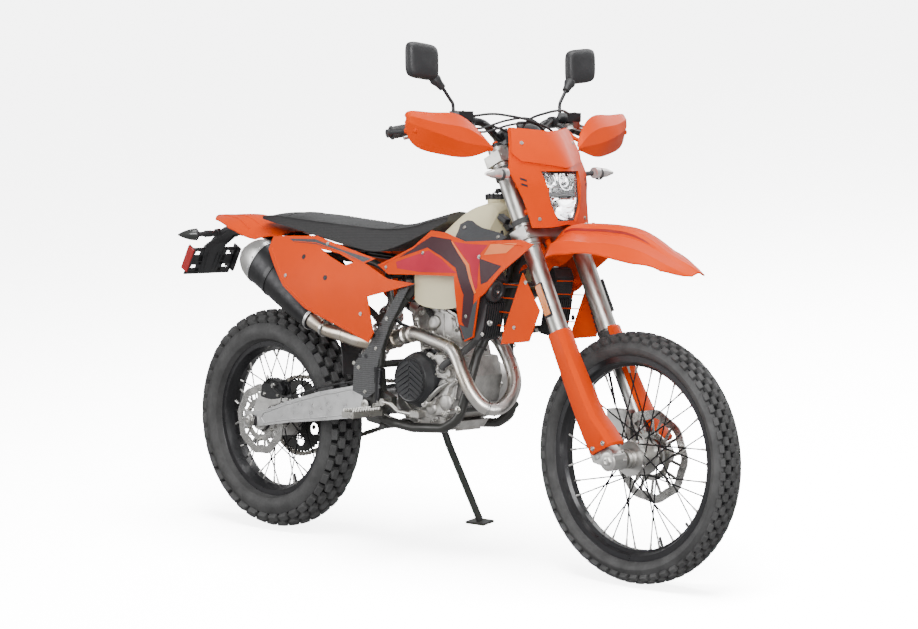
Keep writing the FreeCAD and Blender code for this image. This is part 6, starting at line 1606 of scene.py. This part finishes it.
def make_swingarm_fittings():
    arm = Piece("swingarm_adjusters", "chassis", "dark_alloy")
    steel = Piece("swingarm_bolts", "chassis", "steel")
    ribs = Piece("swingarm_ribs", "chassis", "brushed_alloy")
    for side in SIDES:
        out = (0, side, 0)
        face = side * 119.2
        arm.prism(rounded([(-20, 324), (-20, 357), (24, 357), (24, 324)], 5), face, face + side * 5)
        steel.turned((-34, side * 108, 341), (-1, 0, 0), [(0, 7), (3, 7), (3, 5), (14, 5)], 6)
        steel.turned((-48, side * 108, 341), (-1, 0, 0), [(-2, 5.5), (5, 5.5), (6, 4)], 12)
        steel.turned((0, side * 124, REAR_AXLE_Z), out, [(0, 21), (2, 21), (3, 19)], 36)
        steel.turned((0, side * 127, REAR_AXLE_Z), out,
                     [(0, 16.5), (8, 16.5), (9.5, 14.5), (9.5, 8), (3, 8)], 6)
        for number in range(5):
            steel.box((-10 + 8 * number, face + side * 5.1, 351), (1.0, 0.6, 6 if number % 2 else 9))
        for line in ARM_RIBS:
            ribs.tube([(x, side * 119.0, z) for x, z in line], 2.4, 8)
    arm.done(bevel=1.0)
    steel.done(smooth=42)
    ribs.done(smooth=60)
    slider = Piece("chain_slider", "chassis", "rubber")
    slider.prism(rounded(SLIDER, 3), 74, 97)
    slider.done(bevel=1.0)
    sprocket = Piece("rear_sprocket_bolts", "rear_wheel", "steel")
    for turn in turns(6, 0.5):
        sprocket.nut(around(0, REAR_AXLE_Z, 66, turn, 88.4), LEFTWARD, 6.0, 5.0)
    sprocket.done()
    guide = Piece("chain_guide_bolts", "chassis", "zinc")
    for x, y, z in ((122, 100, 244), (186, 100, 268), (160, 98, 330), (150, 98, 344)):
        guide.bolt((x, y, z), LEFTWARD, 4.2, 3.6)
    guide.done()


# Frame, pegs and pedals: places on the right, and each nut's size and height
HOLE = [(0, 7), (0.7, 6.6), (0.8, 5.0), (0.3, 4.4), (0.2, 0.2)]
FRAME_NUTS = ((566, 20, 786, 8.0), (584, 99, 824, 7.0), (596, 142, 480, 7.5), (612, 142, 440, 7.5))
FRAME_WELDS = (((1071, 0, 930), (0.44, 0, -0.9), 30.5), ((940, 58, 616), (-12, 34, -88), 15.5),
               ((940, -58, 616), (-12, -34, -88), 15.5), ((700, 123, 752), (-76, 13, -80), 16.5),
               ((700, -123, 752), (-76, -13, -80), 16.5), ((592, 131, 446), UP, 16.5),
               ((592, -131, 446), UP, 16.5))


def make_frame_fittings():
    guard = node_tree("frame_guards")
    bolts = Piece("frame_bolts", "chassis", "zinc")
    holes = Piece("frame_guard_holes", "chassis", "black_alloy")
    for side in SIDES:
        for x, z in ((528, 540), (556, 470), (602, 600), (648, 690), (380, 680)):
            bolts.bolt(*panel_spot(guard, x, z, side, 0.2), 4.6, 3.4)
        for x, z in ((560, 575), (590, 640), (622, 672), (470, 650)):
            holes.turned(*panel_spot(guard, x, z, side, 0.15), HOLE, 24)
    for side in SIDES:
        bolts.nut((905, side * 118, 440), (0, side, 0), 9.0, 8.0)
    for side in SIDES:
        out = (0, side, 0)
        for x, y, z, size in FRAME_NUTS:
            bolts.nut((x, side * y, z), out, size, 6.0)
        bolts.turned((550, side * 149, 430), out, [(0, 16), (2, 16), (3, 13), (3, 8), (-3, 8)], 32)
    bolts.done(smooth=42)
    holes.done()
    welds = Piece("frame_welds", "chassis", "frame_paint")
    for spot, way, radius in FRAME_WELDS:
        ring_on_pipe(welds, spot, way, 1.8, 6.0, radius)
    welds.done(smooth=50)


def helix(start, run, first, second, radius, count, step):
    """A coiled wire's line: its axis runs from start, and first and second lie across it."""
    line = []
    for number in range(count):
        turn = number * step
        across = Vector(first) * math.cos(turn) + Vector(second) * math.sin(turn)
        line.append(Vector(start) + Vector(run) * (number / (count - 1)) + across * radius)
    return line


def make_foot_controls():
    teeth = Piece("footpeg_teeth", "chassis", "zinc")
    for side in SIDES:
        for x in (582, 622):
            for number in range(11):
                y = side * (160 + 10 * number)
                tooth = [(y - 4, 420), (y + 4, 420), (y + 2.2, 430), (y, 424), (y - 2.2, 430)]
                teeth.prism(tooth, x - 2.5, x + 2.5, "x")
            teeth.box((x, side * 210, 416), (5, 114, 12))
        for number in range(4):
            teeth.box((602, side * (172 + 26 * number), 415), (40, 5, 9))
        teeth.box((602, side * 267, 416), (44, 4, 12))
        teeth.tube(helix((604, side * 146, 432), (0, side * 0.28 * 59, 0), (1, 0, 0), UP, 8, 60, 0.7), 1.3, 6)
    teeth.done(bevel=0.4)
    pump = Piece("rear_master_cylinder", "chassis", "black_alloy")
    pump.tube([(604, -150, 448), (606, -150, 500)], 9.0, 20)
    pump.tube([(606, -150, 500), (607, -150, 514)], 12.0, 20)
    pump.turned((608, -150, 514), (0.05, 0, 1), [(0, 12), (22, 13), (24, 15), (30, 15), (32, 12)], 24)
    pump.done(smooth=42)
    spring = Piece("return_springs", "chassis", "steel")
    spring.tube(helix((636, -148, 410), (26, 0, -8), (1, 0, 0), LEFTWARD, 4.5, 90, 0.8), 1.1, 6)
    spring.tube([(604, -150, 448), (606, -150, 424)], 3.0, 10)
    spring.done()
    pads = Piece("pedal_teeth", "chassis", "zinc")
    for number in range(5):
        pads.box((764 + 7 * number, -160, 430), (3, 26, 5))
        pads.turned((744 + 9 * number, 150, 424), LEFTWARD, [(0, 8), (3, 8)], 12)
    pads.done(bevel=0.4)


SHOCK_LOW = Vector((388, 0, 494))
SHOCK_HIGH = Vector((566, 0, 786))
SHOCK_COILS = 7
SHOCK_STEPS = 22
# Share of the way up, profile and number of sides
SHOCK_PARTS = (
    (0.06, [(0, 12), (4, 12), (5, 15), (30, 15), (31, 30), (38, 32), (40, 30)], 36),
    (0.12, [(0, 8), (150, 8)], 24),
    (0.50, [(0, 24), (60, 24), (61, 27), (130, 27), (134, 22), (150, 16)], 36),
    (0.65, [(0, 38), (7, 38), (8, 34), (15, 34), (15, 27)], 36),
)


def make_shock_parts():
    run = SHOCK_HIGH - SHOCK_LOW
    way = run.normalized()
    first, second = frame_of(way)
    spring = Piece("shock_spring", "chassis", "spring_white")
    line = helix(SHOCK_LOW + run * 0.15, run * 0.50, first, second, 33.5, SHOCK_COILS * SHOCK_STEPS + 1,
                 2 * math.pi / SHOCK_STEPS)
    spring.tube(line, 5.6, 12)
    spring.done()
    body = Piece("shock_body", "chassis", "alloy")
    for share, profile, sides in SHOCK_PARTS:
        body.turned(SHOCK_LOW + run * share, way, profile, sides)
    for end in (SHOCK_LOW, SHOCK_HIGH):
        body.turned(end + Vector((0, -14, 0)), LEFTWARD, [(0, 13), (28, 13)], 28)
    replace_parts(body.done(smooth=42), "shock")
    tank = Piece("shock_reservoir", "chassis", "orange")
    tank.turned((548, -24, 756), (0.3, -1, 0.2), [(0, 20), (40, 20), (42, 18)], 28)
    tank.turned((404, 0, 520), way, [(0, 22), (4, 22), (6, 17), (16, 16)], 28)
    tank.done(smooth=42)


# Body fittings: the node, and places or lines on its right side
BODY_BOLTS = (("shrouds", ((1006, 716), (1060, 884), (812, 886), (644, 838))),
              ("side_panels", ((560, 700), (236, 800), (392, 900))),
              ("tank_trims", ((1104, 940), (950, 962))),
              ("radiator_guards", ((1150, 690), (1196, 816))))
BODY_EDGES = (("side_panels", ((236, 902), (340, 900), (462, 876), (556, 850))),
              ("side_panels", ((140, 880), (238, 774), (336, 712), (586, 624))),
              ("shrouds", ((612, 842), (668, 860), (760, 896), (832, 942))),
              ("shrouds", ((1100, 926), (1160, 922), (1240, 920))))
CAP_CENTRE = Vector((950, 0, 1040))
CAP_WAY = Vector((-0.18, 0, 0.984)).normalized()


def make_body_fittings():
    trees = {node: node_tree(node) for node, spots in BODY_BOLTS}
    bolts = Piece("body_bolts", "chassis", "zinc")
    holes = Piece("body_holes", "chassis", "graphic_grey")
    edges = Piece("panel_edge_beads", "chassis", "orange")
    for side in SIDES:
        for node, spots in BODY_BOLTS:
            for x, z in spots:
                bolts.bolt(*panel_spot(trees[node], x, z, side, 0.2), 4.4, 3.2)
        for x, z in ((300, 858), (408, 800)):
            holes.turned(*panel_spot(trees["side_panels"], x, z, side, 0.25),
                         [(0, 8), (0.8, 7.4), (0.9, 6), (0.2, 5.4), (0.2, 0.2)], 24)
        for node, line in BODY_EDGES:
            edges.tube(panel_line(trees[node], line, side, 8, 0.1), 1.3, 8)
    bolts.done()
    holes.done()
    edges.done(smooth=60)
    cap = Piece("fuel_cap_ring", "chassis", "black_alloy")
    first, second = frame_of(CAP_WAY)
    for turn in turns(18):
        out = first * math.cos(turn) + second * math.sin(turn)
        cap.tube([CAP_CENTRE + out * 36.5 + CAP_WAY * 2, CAP_CENTRE + out * 36.0 + CAP_WAY * 17], 2.6, 8)
    cap.turned(CAP_CENTRE + CAP_WAY * 18, CAP_WAY, [(0, 12), (5, 11), (6, 8), (12, 6), (12, 3)], 24)
    cap.done()
    seam = Piece("tank_seam", "chassis", "tank")
    tree = node_tree("fuel_tank")
    for side in SIDES:
        seam.tube([panel_spot(tree, 756 + 8.8 * number, 872 + 26 * math.sin(number / 25 * 1.6), side, 0.2)[0]
                   for number in range(26)], 1.6, 8)
    seam.done(smooth=60)


def film_down(piece, tree, outline, lift=0.5, step=10.0):
    """Lays a thin sheet on a panel that faces up; the outline is in x and y."""
    spots, faces = flat_mesh(outline, step)
    points = []
    for x, y in spots:
        hit, out = land(tree, (x, y, 1300), (0, 0, -1), (x, y, 960))
        points.append(hit + out * lift)
    piece.add(points, faces)


# Outline, in x and y, of the strip of painted shade along each side of the fender's ridge, where the channel
# wall lies in shade
FENDER_CHANNEL_SHADE = [(1236, 35), (1320, 36), (1420, 35.5), (1530, 31), (1548, 30), (1530, 28.5), (1420, 32.5),
                  (1320, 33), (1236, 32)]
MASK_VENT = ((118, 1078), (134, 1084), (134, 1090), (118, 1084))


def make_front_fittings():
    fender = node_tree("front_fender")
    # A dark red film along each channel: painted shade laid on the orange fender
    channel = Piece("fender_channel_shade_film", "steering", "fender_channel_painted_shade")
    for side in SIDES:
        film_down(channel, fender, [(x, side * y) for x, y in FENDER_CHANNEL_SHADE], 0.5, 6.0)
    channel.done()
    bolts = Piece("fender_bolts", "steering", "zinc")
    for x in (1215, 1300):
        for side in SIDES:
            hit = fender.ray_cast(Vector((x, side * 14, 1300)), Vector((0, 0, -1)))[0]
            if hit is not None:
                bolts.bolt(hit, UP, 4.6, 3.0)
    mask = node_tree("headlight_mask")
    for y, z in ((104, 1200), (-104, 1200), (92, 990), (-92, 990)):
        hit, normal = mask.ray_cast(Vector((1400, y, z)), Vector((-1, 0, 0)))[:2]
        if hit is not None:
            bolts.bolt(hit, normal if normal.x > 0 else -normal, 4.4, 3.0)
    bolts.done()
    vents = Piece("mask_vents", "steering", "graphic_grey")
    for side in SIDES:
        for lift in (0, 15):
            points = []
            for y, z in MASK_VENT:
                start = Vector((1400, side * y, z + lift))
                hit = mask.ray_cast(start, Vector((-1, 0, 0)))[0] or Vector((1160, start.y, start.z))
                points.append(hit + Vector((0.7, 0, 0)))
            vents.add(points, [(0, 1, 2, 3)])
    vents.done()
    straps = Piece("mask_straps", "steering", "rubber")
    for side in SIDES:
        for height in (880, 720):
            start = on_fork(CLAMP_OFFSET, side * FORK_Y, height)
            straps.hollow_ring(start, fork_way(0, 0, 1), [(-8, 26.7), (-8, 29.4), (8, 29.4), (8, 26.7)], 36)
            straps.tube([on_fork(48, side * 104, height), on_fork(70, side * 112, height + 6)], 5.0, 10)
    straps.done(smooth=45)


# Tail, drawn in towards the seat from TAIL_START back, to where the photograph ends it
TAIL_START = -60.0
TAIL_SHARE = 0.80


def shortened(point):
    if point.x > TAIL_START:
        return Vector(point)
    return Vector((TAIL_START + (point.x - TAIL_START) * TAIL_SHARE, point.y, point.z))


def make_rear_fender():
    source = frame["nodes"]["rear_fender"]
    back = BIKE.inverted() @ source.matrix_world
    points = [shortened(back @ vertex.co) for vertex in source.data.vertices]
    faces = [tuple(polygon.vertices) for polygon in source.data.polygons]
    cover = Piece("rear_fender_cover", "chassis", "orange")
    cover.add(points, faces)
    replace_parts(cover.done(smooth=24), "rear_fender")
    crease = Piece("rear_fender_creases", "chassis", "orange")
    tree = BVHTree.FromPolygons(points, faces)
    for side in SIDES:
        for start, end in (((-236, 26), (30, 62)), ((-226, 40), (-20, 84))):
            line = []
            for number in range(22):
                x, y = between(start, end, number / 21)
                hit = tree.ray_cast(Vector((x, side * y, 1200)), Vector((0, 0, -1)))[0]
                if hit is not None and hit.z > 930:
                    line.append(hit)
            if len(line) > 2:
                crease.tube(line, 1.7, 8)
    crease.done(smooth=60)


# The licence holder's arm, by stations: x, z, half width and half depth
HOLDER_ARM = ((-170, 930, 34, 9), (-205, 929, 36, 14), (-248, 915, 36, 17), (-288, 890, 34, 14),
              (-318, 868, 40, 9), (-334, 842, 46, 6), (-350, 806, 44, 4), (-362, 778, 36, 3))
HOLDER_EDGE = ((-1, -0.6), (-0.8, -1), (0.8, -1), (1, -0.6), (1, 0.6), (0.8, 1), (-0.8, 1), (-1, 0.6))
HOLDER_TOP = Vector((-318, 0, 862))
HOLDER_DOWN = Vector((-0.48, 0, -0.877))
HOLDER_OUT = Vector((-0.877, 0, 0.48))
# The open plate's bars on one side: nearest and farthest from the middle, highest and lowest
HOLDER_BARS = ((30, 92, 0, 12), (30, 92, 26, 62), (30, 92, 74, 96), (30, 54, 0, 96), (84, 92, 0, 96))


def on_holder(y, down, out=0.0):
    """A place on the licence holder's flat part."""
    return HOLDER_TOP + HOLDER_OUT * out + HOLDER_DOWN * down + Vector((0, y, 0))


def make_licence_holder():
    holder = Piece("licence_holder", "chassis", "black_plastic")
    rings = []
    for x, z, half, deep in HOLDER_ARM:
        lean = Vector((0.55, 0, 0.83)) if x > -300 else Vector((0.92, 0, -0.39))
        rings.append([Vector((x, a * half, z)) + lean * b * deep for a, b in HOLDER_EDGE])
    holder.loops(rings)
    for side in SIDES:
        for a0, a1, b0, b1 in HOLDER_BARS:
            holder.loops([[on_holder(side * a, b, lift) for a, b in ((a0, b0), (a1, b0), (a1, b1), (a0, b1))]
                          for lift in (-2.2, 2.2)])
        for y in (22, 40):
            holder.tube([on_holder(side * y, 4, -3), on_holder(side * (y * 0.7), 92, -3)], 2.4, 8)
        holder.tube([(-206, side * 30, 928), (-262, side * 33, 898), (-312, side * 38, 872)], 4.0, 10)
        for b in (10, 50, 88):
            holder.tube([on_holder(side * 34, b, -2.6), on_holder(side * 88, b, -2.6)], 1.6, 8)
    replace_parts(holder.done(bevel=0.8), "plate_holder")
    bolts = Piece("licence_holder_bolts", "chassis", "zinc")
    bolts.bolt((-268, -10, 915), (0.5, 0, 0.85), 5.0, 3.0)
    for side in SIDES:
        for b in (19, 68):
            bolts.bolt(on_holder(side * 74, b, 2.2), HOLDER_OUT, 4.2, 3.0)
    bolts.done()
    lights = Piece("rear_side_reflectors", "chassis", "red_reflector")
    frames = Piece("reflector_frames", "chassis", "black_plastic")
    for side in SIDES:
        for piece, near, far, grow in ((lights, 93.4, 99.4, 0), (frames, 91.0, 95.0, 2.2)):
            low, high, left, right = -2 - grow, 80 + grow, -16 - grow, 15 + grow
            corners = ((left, low), (right, low), (right, high), (left, high))
            piece.loops([[on_holder(side * y, b, a) for a, b in corners] for y in (near, far)])
    lights.done(bevel=1.4)
    frames.done(bevel=1.0)


STALK = [(-6, 15), (8, 14), (9, 10), (30, 9), (31, 11), (34, 11), (35, 8.6), (40, 8.6), (41, 11), (44, 11),
         (45, 8.6), (50, 8.6), (51, 11), (54, 11), (55, 8), (90, 7.6)]
SHELL = [(3, 19), (10, 18.6), (24, 16.6), (38, 12.6), (50, 7.6), (58, 3.6), (61, 1.0)]


def make_tail_lamps():
    lens = Piece("tail_lens", "chassis", "red_lens")
    outline = squircle(31, 9.5, 0.6, 36)
    lens.loops([[(back - 0.25 * b * share, a * share, 960 + b * share) for a, b in outline] for back, share in
                ((-256.0, 1.0), (-266.0, 1.0), (-271.0, 0.97), (-274.0, 0.88), (-275.5, 0.4))])
    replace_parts(lens.done(smooth=45), "tail_lamp")
    glow = Piece("tail_diodes", "chassis", "red_dark")
    for number in range(7):
        glow.turned((-258, -24 + 8 * number, 960), (-1, 0, 0), [(0, 3), (5, 2.8), (6, 1.4)], 12)
    glow.box((-256, 0, 960), (3, 60, 16))
    glow.done()
    stalks = Piece("rear_indicator_stalks", "chassis", "black_plastic")
    shells = Piece("rear_indicator_shells", "chassis", "smoke_black")
    sockets = Piece("front_indicator_sockets", "steering", "rubber")
    for side in SIDES:
        root = Vector((-262, side * 34, 910))
        base = Vector((-258, side * 122, 908))
        stalks.turned(root, (base - root).normalized(), STALK, 20)
        tip = Vector((-34, side * 52, -1)).normalized()
        stalks.turned(base, tip, [(-6, 10), (-2, 16), (0, 19.5), (3, 19.5), (4, 18.5)], 28)
        shells.turned(base, tip, SHELL, 28)
        sockets.hollow_ring((1150, side * 200, 1113), (0, side, 0),
                            [(-3, 14), (-3, 17.4), (5, 17.4), (5, 14)], 28)
    stalks.done(smooth=42)
    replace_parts(shells.done(smooth=50), "rear_indicators")
    sockets.done(smooth=45)


# Front caliper, radiators and horn
def make_front_caliper_parts():
    metal = Piece("front_caliper_parts", "steering", "alloy")
    steel = Piece("front_caliper_bolts", "steering", "steel")
    x, z = WHEELBASE, FRONT_AXLE_Z
    for rise in (62, 96):
        metal.turned((x - 123, 84, z + rise), LEFTWARD, [(0, 14), (3, 14), (4, 12), (4, 8), (2, 0)], 28)
    metal.prism(rounded([(x - 140, z + 52), (x - 140, z + 108), (x - 124, z + 116), (x - 118, z + 46)], 6),
                85, 88)
    metal.done(bevel=0.8)
    for rise in (50, 80, 110):
        steel.bolt((x - 134, 86, z + rise), LEFTWARD, 4.2, 5.0)
    steel.turned((x - 108, 84, z + 118), (0, 1, 0.3), [(0, 7.5), (5, 7.5), (6, 5.5), (9, 5.5)], 16)
    steel.done()


RADIATOR_LOW = (1046.0, 650.0)
RADIATOR_SLOPE = 38.0 / 188.0
HORN_FACE = Vector((0.98, 0, -0.198))
HORN_CENTRE = Vector((1074.7, -159, 792))


def make_radiator_parts():
    """Core fins across the radiators' faces, the horn's rings, bolts and the filler cap."""
    cores = Piece("radiator_cores", "chassis", "dark_alloy")
    low_x, low_z = RADIATOR_LOW
    for side in SIDES:
        for shift in (0.6, -32.4):
            for number in range(34):
                z = 662 + 4.6 * number
                x = low_x + (z - low_z) * RADIATOR_SLOPE + shift
                cores.tube([(x, side * 104, z), (x, side * 174, z)], 0.9, 6)
    cores.done(smooth=70)
    horn = Piece("horn_rings", "chassis", "black_alloy")
    start = HORN_CENTRE + HORN_FACE * 20.5
    for radius in (13.0, 17.5):
        ring = [(1.6, -1.2), (3.0, -0.4), (3.0, 0.4), (1.6, 1.2)]
        horn.hollow_ring(start, HORN_FACE, [(along, radius + more) for along, more in ring], 40)
    horn.done(smooth=50)
    bolts = Piece("radiator_bolts", "chassis", "steel")
    bolts.turned(start + HORN_FACE * 6.2, HORN_FACE, [(0, 5), (3, 5), (3.6, 4), (3.6, 2), (2, 2)], 6)
    for side in SIDES:
        bolts.bolt((1082, side * 170, 700), (0.3, side, 0), 6.5, 4.0)
        for x, z in ((1060, 668), (1052, 826)):
            bolts.bolt((x, side * 176.4, z), (0, side, 0), 4.4, 3.4)
    bolts.done()
    cap = Piece("radiator_cap", "chassis", "alloy")
    cap.turned((1054, 122, 842), (-0.2, 0, 1), [(0, 14), (8, 14), (9, 18), (16, 18), (17, 15)], 8)
    cap.done(bevel=0.8)

# Studio, in metres: each lamp's place, width and power
FLOOR_RADIUS = 20.0
CURVE_RADIUS = 10.0
WALL_HEIGHT = 40.0
FLOOR_SIDES = 96
LAMP_TARGET = Vector((0.75, 0.0, 0.6))
LAMPS = {
    "key": ((3.6, -3.6, 3.4), 2.4, 230.0),
    "fill": ((-2.8, -3.6, 2.2), 2.4, 90.0),
    "top": ((0.6, 0.4, 4.2), 3.0, 170.0),
    "rim": ((0.2, 4.0, 2.6), 2.5, 80.0),
    "low": ((3.8, -1.8, 0.5), 1.6, 40.0),
    "floor_light": ((0.9, 0.0, 5.0), 3.0, 3200.0),
}


def make_floor():
    """A pale round floor that curves up into a wall far off, so every view has it behind the bike."""
    finish("floor", (0.93, 0.93, 0.93), 0.7, shade=0.004, strength=0.02, sway=0.02)
    glow = finishes["floor"].node_tree.nodes["Principled BSDF"].inputs
    glow["Emission Color"].default_value = (1.0, 1.0, 1.0, 1.0)
    glow["Emission Strength"].default_value = 5.6
    profile = [(1.0, 0.0), (4.0, 0.0), (FLOOR_RADIUS, 0.0)]
    for number in range(1, 13):
        turn = math.pi / 2 * number / 12
        profile.append((FLOOR_RADIUS + CURVE_RADIUS * math.sin(turn),
                        CURVE_RADIUS - CURVE_RADIUS * math.cos(turn)))
    profile.append((FLOOR_RADIUS + CURVE_RADIUS, WALL_HEIGHT))
    points = [(radius * math.cos(turn), radius * math.sin(turn), high)
              for radius, high in profile for turn in turns(FLOOR_SIDES)]
    faces = [tuple(range(FLOOR_SIDES))]
    for row in range(len(profile) - 1):
        for side in range(FLOOR_SIDES):
            here, after = row * FLOOR_SIDES + side, row * FLOOR_SIDES + (side + 1) % FLOOR_SIDES
            faces.append((here, here + FLOOR_SIDES, after + FLOOR_SIDES, after))
    mesh = bpy.data.meshes.new("floor")
    mesh.from_pydata(points, [], faces)
    mesh.materials.append(finishes["floor"])
    mesh.shade_smooth()
    floor = bpy.data.objects.new("floor", mesh)
    bpy.context.collection.objects.link(floor)
    floor.visible_diffuse = False
    floor.visible_glossy = False
    floor.visible_shadow = False
    return floor


def make_studio():
    """The floor, an even pale sky, and soft lamps; floor_light lights the floor alone, for its shadows."""
    world = bpy.data.worlds.new("studio")
    bpy.context.scene.world = world
    world.use_nodes = True
    light = world.node_tree.nodes["Background"]
    light.inputs["Color"].default_value = (1.0, 1.0, 1.0, 1.0)
    light.inputs["Strength"].default_value = 0.45
    only_floor = bpy.data.collections.new("only_floor")
    only_floor.objects.link(make_floor())
    target = PLACE @ LAMP_TARGET
    for name, (place, width, power) in LAMPS.items():
        lamp = bpy.data.lights.new(name, "AREA")
        lamp.size = width
        lamp.energy = power
        holder = bpy.data.objects.new(name, lamp)
        holder.location = place
        holder.rotation_euler = (target - Vector(place)).to_track_quat("-Z", "Y").to_euler()
        if name == "floor_light":
            holder.light_linking.receiver_collection = only_floor
        bpy.context.collection.objects.link(holder)


for make in (make_camera, dress_nodes, make_tyres, recoat_nodes, make_graphics, make_seat, make_chain,
             make_lamp, make_mirrors, make_wheels, make_disc_fittings, make_fork_fittings, make_fork_guards,
             make_cockpit, make_cables, make_engine, make_engine_fittings, make_hoses, make_header,
             make_silencer_fittings, make_rear_brake, make_swingarm_fittings, make_frame_fittings,
             make_foot_controls, make_shock_parts, make_body_fittings, make_front_fittings, make_rear_fender,
             make_licence_holder, make_tail_lamps, make_front_caliper_parts, make_radiator_parts,
             make_studio):
    make()
